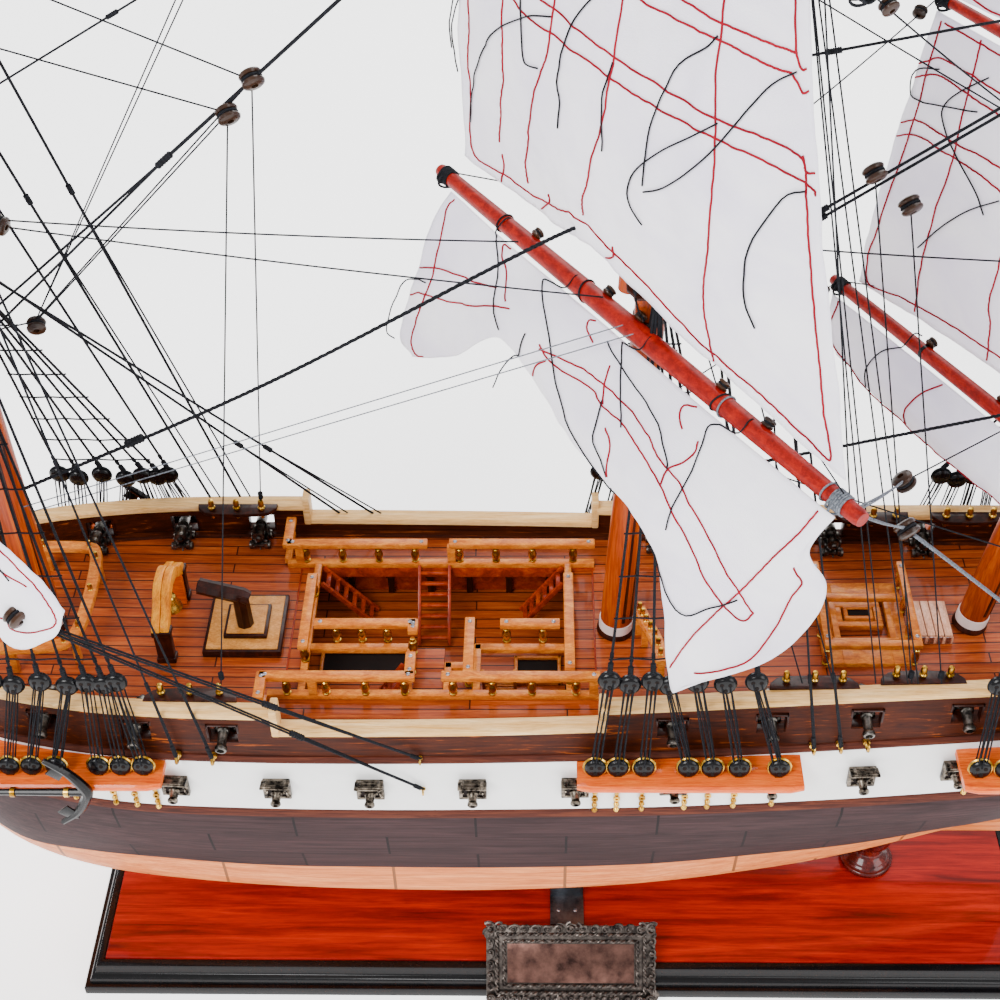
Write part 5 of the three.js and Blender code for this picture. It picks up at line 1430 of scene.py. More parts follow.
def build_eyebolts():
    bm = bmesh.new()

    def shape(part):
        hoop(part, (0, 1.7, 0), 1.5, 0.45, 14, "yz")
        lathe(part, [(0, -0.6), (1.3, -0.6), (1.1, 0.4), (0, 0.5)], (0, 0, 0), (0, 1, 0), 10, 0)

    eye = form("eyebolt", shape)
    for side in SIDES.values():
        for x in EYEBOLTS:
            stamp(bm, eye, on_side(x, band_top(x) + 4, side, 1.8) @ Matrix.Scale(1.4, 4))
        for x, z in ((-66, 195), (-65.5, 175)):
            stamp(bm, eye, on_side(x, z, side, 1.2))
    finished("eyebolts", bm, ["brass"], recalc=False)


def build_anchors():
    for word, side in SIDES.items():
        bm = bmesh.new()
        y, z = side * 90, 192
        tube(bm, [(-292, y, z), (-250, y, z), (-214, y, z)], [1.3, 1.5, 1.9], 10)
        arm = [(-228, 22), (-219.5, 14), (-214.5, 5), (-213, 0), (-214.5, -5), (-219.5, -14), (-228, -22)]
        arms = through([Vector((x, y, z + up)) for x, up in arm], 24)
        tube(bm, arms, [0.6 + 2.1 * math.sin(math.pi * (0.1 + 0.8 * i / 24)) for i in range(25)], 10)
        for k in SIDES.values():
            palm = [(-5, -3.6), (1, -3), (4.6, 0), (1, 3), (-5, 3.6)]
            turn = Matrix.Rotation(-k * math.radians(48), 4, "Y") @ Matrix.Rotation(math.pi / 2, 4, "X")
            plate(bm, palm, 1, Matrix.Translation((-222.8, y, z + k * 15.2)) @ turn, 0, 0.3)
        tube(bm, [(-284, y, z - 21), (-284, y, z - 8), (-284, y, z + 8), (-284, y, z + 21)], [1.2, 1.9, 1.9, 1.2], 10)
        for x in (-222, -246, -276):
            lathe(bm, [(0, 0), (2.3, 0), (2.3, 2), (0, 2)], (x - 1, y, z), (1, 0, 0), 14, 1)
        hoop(bm, (-294, y, z), 2.4, 0.5, 18, "xy", 1)
        finished("anchor_forged_" + word, bm, ["gloss_black", "brass"], ["anchor_" + word])


BOWSPRIT_HEEL, BOWSPRIT_CAP, JIBBOOM_END = Vector((-321, 0, 212)), Vector((-432, 0, 248)), Vector((-556, 0, 288))


def build_bow():
    bm = bmesh.new()
    heel, cap, end = BOWSPRIT_HEEL, BOWSPRIT_CAP, JIBBOOM_END
    along = (cap - heel).normalized()
    length = (cap - heel).length
    profile = [(0, 0), (6.4, 0), (6.5, 20), (6.2, 60), (4.8, length - 2), (4.4, length), (0, length)]
    lathe(bm, profile, heel, along, 20, 0)
    start = heel.lerp(cap, 0.6) + UP * 6
    boom = end - start
    profile = [
        (0, 0), (3.4, 0), (3.6, 4), (3.3, 60), (2.2, boom.length - 8), (1.8, boom.length - 7),
        (1.8, boom.length - 1), (1.2, boom.length), (0, boom.length),
    ]
    lathe(bm, profile, start, boom, 16, 0)
    for t in (0.12, 0.3, 0.46, 0.72, 0.88):
        low, high = 6.0 - 1.6 * t, 6.9 - 1.7 * t
        band = [(low, 0), (high, 0), (high, 2.2), (low, 2.2), (low, 0)]
        lathe(bm, band, heel.lerp(cap, t), along, 20, 1)
    block(bm, (-434.4, -430), (-4.8, 4.8), (242.4, 255.8), 1, 0.8)
    lathe(bm, [(0, 0), (1.5, 0), (1.7, 10), (1.1, 31), (0, 32)], (-424, 0, 245), (-4, 0, -32), 10, 0)
    finished("bowsprit_and_jibboom", bm, ["mast_wood", "gloss_black"], ["bowsprit"])

    bm = bmesh.new()
    for side in SIDES.values():
        for high, low, depth in ((206, 203.6, 0), (196, 199, 3.2), (187, 194, 6.5)):
            sweep = through([
                Vector((-321, side * (21.5 - depth), high)), Vector((-332, side * (16.5 - depth), high - 3.6)),
                Vector((-346, side * (8 - depth * 0.5), low - 3)), Vector((-358, side * 3.2, low - 1)),
                Vector((-366, side * 2.2, low + 1.6)),
            ], 16)
            tube(bm, sweep, [1.5 - 0.5 * i / 16 for i in range(17)], 8, 0)
        for t in (0.25, 0.5, 0.75):
            x = mix(-326, -360, t)
            y = side * mix(19, 2.6, t)
            tube(bm, [(x, y, 203), (x + 0.6, y * 0.8, 196), (x + 1, y * 0.55, 189)], 0.8, 6, 0)
        cat = [Vector((-316, side * 30, 214)), Vector((-322, side * 50, 218.5))]
        beam(bm, cat[0] - (cat[1] - cat[0]) * 0.35, cat[1], 4, 4, 0, 0.5)
        block(bm, (-324.4, -320), span(side, 47.6, 50.6), (215.8, 221.4), 1, 0.4)
    for y in (-10, -6, -2, 2, 6, 10):
        block(bm, (-352, -328), (y * 0.6 - 0.6, y * 0.6 + 0.6), (202.6, 203.8), 0, 0.2)
    scroll = [
        (-368 + 0.4 * a * math.cos(a) * 1.6, 202 + 0.4 * a * math.sin(a) * 1.6)
        for a in [k * 0.35 for k in range(4, 26)]
    ]
    tube(bm, [(x, 0, z) for x, z in scroll], [0.5 + 0.06 * k for k in range(len(scroll))], 8, 2)
    finished("head_rails", bm, ["dark_wood", "brass", "belfry_gold"], ["beakhead"])


STERNPOST_X = 290


def build_stern():
    bm = bmesh.new()
    x0 = STERNPOST_X + 0.3
    rows = [
        (152, -6.5, 0.6), (160, -2.2, 2.6), (172, -1.2, 5.6), (196, -1.6, 8.6), (216, -2.4, 9.6), (236, -4.2, 11.0)
    ]
    half = [breadth(290, max(z, 151)) + cut for z, cut, _ in rows]
    rings = [
        [Vector((x0, -h, z)), Vector((x0 + out, -h * 0.97, z)), Vector((x0 + out, h * 0.97, z)), Vector((x0, h, z))]
        for (z, _, out), h in zip(rows, half)
    ]
    skin(bm, rings)
    for z, out, h in (
        (160.5, 3.6, 48), (174, 6.8, 48), (180.5, 7.6, 47.6), (206, 10, 46.6), (214, 10.6, 46), (232, 11.2, 42)
    ):
        block(bm, (x0 + out - 3, x0 + out + 0.8), (-h, h), (z, z + 2), 1, 0.4)
    for i in range(6):
        y = -36 + i * 14.4
        block(bm, (x0 + 6, x0 + 9.6), (y - 4.8, y + 4.8), (184, 204), 2, 0.3)
        for dy in (-4.9, 0, 4.9):
            block(bm, (x0 + 7, x0 + 10.2), (y + dy - 0.4, y + dy + 0.4), (183.4, 204.4), 3, 0.15)
        for z in (184, 190.6, 197.2, 204):
            block(bm, (x0 + 7, x0 + 10.2), (y - 5.2, y + 5.2), (z - 0.4, z + 0.4), 3, 0.15)
    for y in (-43.4, -28.8, -14.4, 0, 14.4, 28.8, 43.4):
        block(bm, (x0 + 7, x0 + 10.8), (y - 1, y + 1), (182, 206), 1, 0.4)
    finished("stern_windows", bm, ["rosewood", "belfry_gold", "window_glass", "maple"], ["stern_gallery"])

    bm = bmesh.new()
    for side in SIDES.values():
        levels = [(168, 0.5), (173, 6.5), (180, 8.6), (204, 8.2), (209, 6.4), (218, 1.0)]
        rings = []
        for z, out in levels:
            ring = []
            for x, share in ((243, 0.0), (248, 0.8), (256, 1), (272, 1), (281, 0.86), (287, 0.0)):
                ring.append(Vector((x, side * (breadth(x, z) + 0.6 + out * share), z)))
            for x in (287, 243):
                ring.append(Vector((x, side * (breadth(x, z) - 1.5), z)))
            rings.append(ring)
        skin(bm, rings, 0)
        for z, out in ((173, 7.4), (180.6, 9.6), (203.4, 9.2), (209, 7.2)):
            strip = [
                (x, side * (breadth(x, z) + 0.4 + out * share), z)
                for x, share in ((243, 0.1), (248, 0.82), (256, 1), (272, 1), (281, 0.88), (287, 0.1))
            ]
            tube(bm, strip, 0.9, 6, 1)
        for x in (252, 264, 276):
            y = breadth(x, 192) + 8.6
            block(bm, (x - 4.2, x + 4.2), span(side, y - 2, y + 0.5), (184, 201), 2, 0.3)
            for dx in (-4.3, 0, 4.3):
                block(bm, (x + dx - 0.35, x + dx + 0.35), span(side, y - 1, y + 1), (183.6, 201.4), 3, 0.15)
            for z in (184, 189.7, 195.3, 201):
                block(bm, (x - 4.6, x + 4.6), span(side, y - 1, y + 1), (z - 0.35, z + 0.35), 3, 0.15)
    finished("quarter_galleries", bm, ["rosewood", "belfry_gold", "window_glass", "maple"])

    bm = bmesh.new()
    axis = STERNPOST_X + 3
    blade = [
        (-1.6, 46.2), (19, 46.2), (18.6, 60), (18.2, 80), (17.6, 88), (13.4, 97), (11.6, 105), (9.6, 125), (8, 149.6),
        (-1.6, 149.6)
    ]
    plate(bm, blade, 4.2, Matrix.Translation((axis, 2.1, 0)) @ UPRIGHT, 0, 0.8)
    rod(bm, (axis, 0, 46.1), (axis, 0, 149.8), 2.2, None, 16, 0)
    for z in (56, 78, 100, 122, 142):
        width = 17 if z < 90 else 9
        block(bm, (axis - 1, axis + width), (-2.5, 2.5), (z - 1.2, z + 1.2), 1, 0.3)
        for x in range(4, int(width), 4):
            for side in SIDES.values():
                lathe(bm, [(0, 0), (0.6, 0), (0.4, 0.4), (0, 0.5)], (axis + x, side * 2.4, z), (0, side, 0), 8, 1)
    finished("rudder_blade", bm, ["hull_plum", "brass"], ["rudder"], body="rudder")


# Base board, moulding, pedestals, strap and blank plate


BOARD_TOP = 17


def build_base():
    bm = bmesh.new()
    block(bm, (-242, 242), (-65.5, 65.5), (0.2, BOARD_TOP), 0, 0.6)
    finished("board_polished", bm, ["board_red"], ["base_board"])

    bm = bmesh.new()
    profile = [
        (0, 0), (0, 5.4), (0.5, 6), (2.6, 6.2), (2.9, 6.9), (3.1, 8.6), (4.2, 9.7), (5.4, 10.2), (6.1, 11.4),
        (6.4, 14.4), (7.0, 15.8), (8.4, 16.4), (10.5, 16.6), (10.5, 0)
    ]
    corners = [(1, 1), (-1, 1), (-1, -1), (1, -1)]
    rings = []
    for sx, sy in corners + corners[:1]:
        rings.append([Vector((sx * (253 - inset), sy * (76.5 - inset), z)) for inset, z in profile])
    skin(bm, rings, 0, closed=True, caps=False)
    bmesh.ops.remove_doubles(bm, verts=bm.verts, dist=0.01)
    finished("moulding_ogee", bm, ["gloss_black"], ["base_moulding"], smooth=40)

    for name, x in (("pedestal_fore", -172), ("pedestal_aft", 167)):
        bm = bmesh.new()
        top = 27.5
        profile = [
            (0, 0), (13.6, 0), (14.2, 0.6), (14.2, 2.2), (13.4, 3), (12.6, 3.2), (12.4, 3.8), (11.6, 4.2), (11, 4.9),
            (11.4, 5.6), (10.6, 6.6), (8.2, 8), (6.9, 10.2), (6.5, 12.6), (6.9, 15), (8.2, 17), (9.6, 18),
            (9.4, 18.8), (10.8, 19.4), (11.5, 20.6), (11.5, top - 1), (11, top - 0.2), (0, top - 0.2),
        ]
        lathe(bm, profile, (x, 0, BOARD_TOP + HAIR), steps=48)
        finished(name + "_turned", bm, ["pedestal_red"], [name], smooth=50)

    bm = bmesh.new()
    floor = BOARD_TOP + HAIR
    block(bm, (-7, 11), (-44.5, 44.5), (floor, floor + 1.6), 0, 0.35)
    for side in SIDES.values():
        y = span(side, 25.2, 26.8)
        block(bm, (-7, 11), y, (floor + 0.9, 55.4), 0, 0.35)
        rod(bm, (2, side * 25.2, floor + 1.4), (2, side * 25.2, floor + 1.6), 0.6, None, 8, 0)
        for x in (-2.5, 6.5):
            screw(bm, x, side * 36, floor + 1.5, 1)
    finished("strap_bent", bm, ["strap_steel", "screw_silver", "gloss_black"], ["keel_bracket"])


def rope_edge(bm, points, radius, turns, coat):
    """A twisted cord border: two strands wound about a line."""
    for phase in (0, math.pi):
        strand = []
        line = through(points, len(points) * 4)
        for i, p in enumerate(line):
            along = (line[min(i + 1, len(line) - 1)] - line[max(i - 1, 0)]).normalized()
            across = along.cross(UP).normalized()
            angle = phase + math.tau * turns * i / len(line)
            strand.append(p + (across * math.cos(angle) + UP * math.sin(angle)) * radius * 0.55)
        tube(bm, strand, radius * 0.62, 6, coat)


PLATE_PLACE, PLATE_LEAN = (3.5, -69.6, 21.2), math.radians(52)


def build_plate():
    """A blank cast plate: a sunk panel in a rim of twisted cord, leaves and scrolls, made flat and then leant."""
    bm = bmesh.new()
    plate(bm, [(-44, -20), (44, -20), (44, 20), (-44, 20)], 1.4, Matrix.Translation((0, 0, -0.9)), 0, 0.5)
    block(bm, (-33, 33), (-10.5, 10.5), (0.3, 0.7), 1, 0.2)
    for low, high, z in ((34.6, 12, 0.9), (38.4, 15.6, 1.2)):
        corners = [Vector((low, high, z)), Vector((-low, high, z)), Vector((-low, -high, z)), Vector((low, -high, z))]
        for a, b in zip(corners, corners[1:] + corners[:1]):
            steps = max(2, round((b - a).length / 3))
            rope_edge(bm, [a.lerp(b, i / steps) for i in range(steps + 1)], 0.95, (b - a).length / 4.2, 0)
    rng = random.Random(11)

    def leaf(x, y, angle, size):
        spine = []
        for k in range(9):
            a, r = angle + k * 0.26, size * (k / 9) * 2.2
            spine.append(Vector((x + r * math.cos(a), y + r * math.sin(a), 1.1 + 0.5 * math.sin(k * 0.5))))
        tube(bm, spine, [size * 0.12 + size * 0.26 * math.sin(math.pi * (k + 0.5) / 9) for k in range(9)], 7, 0, 0.7)

    def curl(x, y, angle, size, hand):
        spine = []
        for k in range(17):
            a = angle + hand * k * 0.46
            r = size * (1 - k / 19)
            spine.append(Vector((x + r * math.cos(a), y + r * math.sin(a), 1.2 + 0.06 * k)))
        tube(bm, spine, [size * 0.3 - size * 0.008 * k for k in range(17)], 8, 0)
        lathe(bm, [(0, 0), (size * 0.3, 0), (size * 0.26, size * 0.3), (0, size * 0.42)], (x, y, 1.2), steps=10)

    for x in range(-36, 37, 6):
        for y, hand in ((18.4, 1), (-18.4, -1)):
            curl(x, y, rng.uniform(-0.4, 0.4) + (0 if x > 0 else math.pi), 2.3, hand * (1 if x > 0 else -1))
            leaf(x + 2.6, y + hand * 0.8, hand * 1.2 + rng.uniform(-0.5, 0.5), 2.2)
    for y in range(-12, 13, 6):
        for x, hand in ((42, 1), (-42, -1)):
            curl(x, y, math.pi / 2 * hand, 2.2, -hand)
            leaf(x + hand * 0.6, y + 2.6, 0.3 * hand + rng.uniform(-0.5, 0.5), 2.0)
    for sx in SIDES.values():
        for sy in SIDES.values():
            curl(sx * 42, sy * 18.6, math.atan2(sy, sx), 3.6, sx * sy)
            curl(sx * 37.4, sy * 19.6, math.atan2(sy, -sx), 2.6, -sx * sy)
            for k in range(4):
                leaf(sx * 41, sy * 17.6, math.atan2(sy, sx) + (k - 1.5) * 0.55, 2.6)
    curl(0, 19.4, math.pi / 2, 3, 1)
    curl(3.4, 19.2, math.pi / 2, 2.6, -1)
    lean = Matrix.Translation(PLATE_PLACE) @ Matrix.Rotation(PLATE_LEAN, 4, "X")
    bmesh.ops.transform(bm, matrix=lean, verts=bm.verts)
    finished("name_plate_cast", bm, ["plate_cast", "plate_copper"], ["name_plate"], smooth=45)


# Masts and yards


def mast_point(name, z, ahead=0.0, y=0.0):
    return Vector((mast_x(MASTS[name], z) - ahead, y, z))


def top_ahead(mast):
    """How far the topmast stands ahead of the lower mast."""
    return mast["radius"] * 0.8 + 3.4


# A topgallant mast stands so far ahead of its topmast, and its heel is so far below the topmast's head
GALLANT_AHEAD, GALLANT_HEEL = 6, 21
# Radius of a lower mast at its top, as a share of the radius at its foot
MAST_TAPER = 0.82


def build_masts():
    """Lower mast with hoops, top with its rim, cap, topmast, crosstrees, topgallant mast and truck."""
    for name, mast in MASTS.items():
        bm = bmesh.new()
        lean = mast_point(name, 300) - mast_point(name, 200)
        heel = deck_at(mast["x"]) + 0.4
        r = mast["radius"]
        top, cap = mast["top"], mast["cap"]
        high = (cap - heel) / math.cos(math.radians(mast["rake"]))
        seat = (top - heel) / (cap - heel) * high
        pole = [
            (0, 0), (r, 0), (r, 40), (r * 0.95, seat * 0.5), (r * 0.84, seat - 12), (r * 0.8, seat),
            (r * 0.7, seat + 2), (r * 0.66, high), (0, high),
        ]
        lathe(bm, pole, mast_point(name, heel), lean, 32, 0)
        tape = [(r * 0.9, 0), (r + 0.4, 0), (r + 0.5, 2.6), (r + 0.4, 5.2), (r * 0.9, 5.2)]
        lathe(bm, tape, mast_point(name, heel + 2.6), lean, 32, 2)
        foot_ring = [(r * 0.9, 0), (r + 1.3, 0), (r + 1.1, 1.4), (r + 0.3, 2.6), (r * 0.9, 2.6)]
        lathe(bm, foot_ring, mast_point(name, heel), lean, 32, 1)
        for share in (0.78, 0.9):
            here = mix(r, r * MAST_TAPER, share)
            band = [(here - 0.5, 0), (here + 0.55, 0.1), (here + 0.55, 2), (here - 0.5, 2.1)]
            lathe(bm, band, mast_point(name, mix(heel, top, share)), lean, 32, 1)
        # Two dark wooden strips down the aft port side of each lower mast: painted shade along the mast's shaded
        # side.
        for turn in (0.55, 1.0):
            strip = []
            for z in (heel + 11, (heel + top) / 2, top - 26):
                here = mix(r, r * MAST_TAPER, (z - heel) / (top - heel)) - 1.05
                strip.append(mast_point(name, z, -here * math.cos(turn * 1.2), -here * math.sin(turn * 1.2)))
            tube(bm, through(strip, 12), 1.5, 8, 1)
        ahead = top_ahead(mast)
        x = mast_x(mast, top)
        outline = [(x - 11 + max(0, abs(y) - 9) * 4 / 6, y) for y in (-15, -12, -9, 0, 9, 12, 15)]
        outline += [(x + 12.6, 15), (x + 12.6, -15)]
        plate(bm, outline, 1.4, Matrix.Translation((0, 0, top - 1.6)), 1, 0.4)
        for y in (-4.6, 4.6):
            block(bm, (x - 10.5, x + 12), (y - 1, y + 1), (top - 5, top - 1.6), 0, 0.3)
        for dx in (-6, 0, 6):
            block(bm, (x + dx - 0.9, x + dx + 0.9), (-14.4, 14.4), (top - 3.4, top - 1.6), 0, 0.3)
        for y in range(-13, 14, 4):
            block(bm, (x + 11.8, x + 12.8), (y - 0.4, y + 0.4), (top - 0.2, top + 7), 1, 0.1)
        block(bm, (x + 11.6, x + 13), (-14.5, 14.5), (top + 6.6, top + 7.8), 1, 0.2)
        collar = [(r * 0.5, 0), (r * 0.95, 2), (r * 0.9, 9), (r * 0.5, 11)]
        lathe(bm, collar, mast_point(name, top - 13), lean, 20, 0)
        cx = mast_x(mast, cap)
        block(bm, (cx - ahead - 5, cx + 5), (-4.6, 4.6), (cap - 3.6, cap + 0.9), 1, 0.8)
        foot, tip = top - 6, mast["topmast"]
        run = (tip - foot) / math.cos(math.radians(mast["rake"]))
        pole = [
            (0, 0), (4.2, 0), (4.3, 10), (3.7, 30), (3.1, run - 22), (3.9, run - 20), (3.9, run - 15),
            (2.7, run - 13), (2.6, run), (0, run),
        ]
        lathe(bm, pole, mast_point(name, foot, ahead), lean, 20, 0)
        jx = mast_x(mast, tip) - ahead
        for y in (-2.4, 2.4):
            block(bm, (jx - 8, jx + 4), (y - 0.7, y + 0.7), (tip - 20.4, tip - 18), 1, 0.2)
        for dx in (-5.4, 1.4):
            spread = [(jx + dx, -9.8, tip - 17.6), (jx + dx - 0.6, 0, tip - 17), (jx + dx, 9.8, tip - 17.6)]
            tube(bm, through([Vector(p) for p in spread], 6), 0.8, 6, 1)
        block(bm, (jx - 8.2, jx + 3.2), (-2.9, 2.9), (tip - 2.8, tip - 0.2), 1, 0.5)
        gallant = ahead + GALLANT_AHEAD
        foot, tip = mast["topmast"] - GALLANT_HEEL, mast["truck"]
        run = (tip - foot) / math.cos(math.radians(mast["rake"]))
        pole = [
            (0, 0), (2.6, 0), (2.5, 14), (1.9, run * 0.6), (2.4, run * 0.62), (2.3, run * 0.65),
            (1.6, run * 0.66), (1.2, run - 2), (0, run - 2),
        ]
        lathe(bm, pole, mast_point(name, foot, gallant), lean, 14, 0)
        truck = [(0, 0), (1.4, 0), (2.4, 0.5), (2.6, 1.2), (2.2, 2), (0, 2.4)]
        lathe(bm, truck, mast_point(name, tip - 1.6, gallant), (0, 0, 1), 14, 3)
        coats = ["mast_wood", "dark_wood", "tape_white", "gloss_black"]
        finished(name + "_mast_turned", bm, coats, [name + "_mast"])


# mast, height, half length, brace angle, radius at the middle and at the tip, and how far it is slung to port
YARDS = {
    "fore_yard": ("fore", 381, 126, 22, 4.4, 3.2),
    "fore_topsail_yard": ("fore", 512, 100, 22, 3.6, 2.4),
    "fore_topgallant_yard": ("fore", 616, 70, 22, 2.8, 1.9),
    "main_yard": ("main", 385, 139, 34, 4.5, 3.3, 5),
    "main_topsail_yard": ("main", 562, 106, 34, 3.8, 2.5),
    "main_topgallant_yard": ("main", 664, 76, 34, 2.9, 2),
    "crossjack_yard": ("mizzen", 322, 133, 30, 3.6, 2.8),
    "mizzen_topsail_yard": ("mizzen", 471, 118, 30, 3, 2.1),
    "mizzen_topgallant_yard": ("mizzen", 556, 68, 30, 2.4, 1.6),
}


def yard_along(yard):
    a = math.radians(yard[3])
    return Vector((math.sin(a), -math.cos(a), 0))


def yard_ahead(yard):
    a = math.radians(yard[3])
    return Vector((-math.cos(a), -math.sin(a), 0))


def yard_centre(yard):
    name, z, _, brace, mid, _, *slung = yard
    mast = MASTS[name]
    ahead, radius = 0, mast["radius"] * 0.84
    if z > mast["topmast"]:
        ahead = top_ahead(mast) + GALLANT_AHEAD
        low, high = mast["topmast"] - GALLANT_HEEL, mast["truck"]
        radius = 2.6 + (1.2 - 2.6) * (z - low) / (high - low)
    elif z > mast["top"]:
        ahead = top_ahead(mast)
        low, high = mast["top"] - 6, mast["topmast"]
        radius = 4.2 + (3 - 4.2) * (z - low) / (high - low)
    middle = mast_point(name, z, ahead + (radius + mid + 0.3) / math.cos(math.radians(brace)))
    return middle + yard_along(yard) * (slung[0] if slung else 0)


def yard_point(name, share, up=0.0, ahead=0.0):
    """A place on a yard: share runs from -1 at the starboard tip to 1 at the port tip."""
    yard = YARDS[name]
    return yard_centre(yard) + yard_along(yard) * yard[2] * share + yard_ahead(yard) * ahead + UP * up


def yard_radius(name, share):
    yard = YARDS[name]
    return mix(yard[4], yard[5], abs(share) ** 1.3)


def block_form():
    """A round wooden block: two rounded flanges with a rope in the groove between, faces along Y."""

    def shape(part):
        half = [(0, 1.5), (0.8, 1.5), (1, 2.3), (2.4, 2.2), (3.1, 1.75), (3.3, 1.2), (3, 0.65), (2.2, 0.45), (2.2, 0)]
        profile = [(r, -h) for r, h in half] + [(r, h) for r, h in reversed(half[:-1])]
        lathe(part, profile, (0, 0, 0), (0, 1, 0), 20, 0)
        hoop(part, (0, 0, 0), 2.6, 0.5, 16, "xz", 1, 5)

    return form("block", shape)


# Bands and blocks on the yards as shares of the half length; the main yard has its own
YARD_BANDS = {"main_yard": (-0.96, 0.93)}
YARD_BLOCKS = {"main_yard": (-0.47, -0.1, 0.05, 0.42, 0.61)}


def build_yards():
    for name, yard in YARDS.items():
        bm = bmesh.new()
        half = yard[2]
        start, end = yard_point(name, -1), yard_point(name, 1)
        along = end - start
        shares = [-1, -0.985, -0.97, -0.9, -0.7, -0.45, -0.2, 0, 0.2, 0.45, 0.7, 0.9, 0.97, 0.985, 1]
        profile = [(0, -half)]
        for s in shares:
            r = yard_radius(name, s)
            r = r * 0.86 if abs(s) == 1 else r
            profile.append((r, s * half))
        profile.append((0, half))
        lathe(bm, profile, (start + end) / 2, along, 24, 0)
        for s in YARD_BANDS.get(name, (-0.95, -0.5, 0.5, 0.95)):
            r = yard_radius(name, s)
            band = [(r - 0.4, -0.9), (r + 0.25, -0.8), (r + 0.25, 0.8), (r - 0.4, 0.9)]
            lathe(bm, band, yard_point(name, s), along, 24, 1)
        finished(name + "_round", bm, ["yard_red", "gloss_black"], [name])

    bm = bmesh.new()
    for name, yard in YARDS.items():
        for s in YARD_BLOCKS.get(name, (-0.5, -0.15, 0.4, 0.65)):
            r = yard_radius(name, s)
            scale = 0.6 if yard[4] < 3 else 0.8
            turn = Matrix.Rotation(math.radians(90 - yard[3]), 4, "Z").inverted()
            lean = Matrix.Rotation(0.5 + s * 0.4, 4, "X")
            place = Matrix.Translation(yard_point(name, s, r + 0.6, -3.2)) @ turn @ lean @ Matrix.Scale(scale, 4)
            stamp(bm, block_form(), place)
    finished("yard_blocks", bm, ["block_brown", "rope_black"], recalc=False)


SPANKER = {"gaff": 332, "boom": 241, "gaff_end": Vector((318, 0, 392)), "boom_end": Vector((398, 0, 260))}


def build_spanker_spars():
    for name, z, end, thick, thin in (
        ("spanker_gaff", SPANKER["gaff"], SPANKER["gaff_end"], 2.6, 1.8),
        ("spanker_boom", SPANKER["boom"], SPANKER["boom_end"], 3.0, 2.0),
    ):
        bm = bmesh.new()
        throat = Vector((mast_x(MASTS["mizzen"], z) + 7 + 0.6, 0, z))
        length = (end - throat).length
        profile = [
            (0, 0), (thick * 0.8, 0), (thick, 8), (thick * 1.02, length * 0.4), (thin, length - 6),
            (thin * 0.8, length), (0, length)
        ]
        lathe(bm, profile, throat, end - throat, 18, 0)
        for side in SIDES.values():
            block(bm, (throat.x - 0.2, throat.x + 8), span(side, 2.6, 4.6), (z - 2.4, z + 2.6), 1, 0.6)
        for t in (0.3, 0.6, 0.88):
            r = mix(thick, thin, t)
            band = [(r - 0.4, 0), (r + 0.4, 0.1), (r + 0.4, 1.9), (r - 0.4, 2)]
            lathe(bm, band, throat.lerp(end, t), end - throat, 16, 1)
        finished(name + "_turned", bm, ["mast_wood", "gloss_black"], [name])


# Sails. A sail is a cloth through columns of points from the starboard leech to the port one. Each column
# runs from head to foot. A point is so many millimetres along the yard to port, ahead of it and above it.


def yard_frame(name):
    yard = YARDS[name]
    centre, along, ahead = yard_centre(yard), yard_along(yard), yard_ahead(yard)
    return lambda p: centre + along * p[0] + ahead * p[1] + UP * p[2]


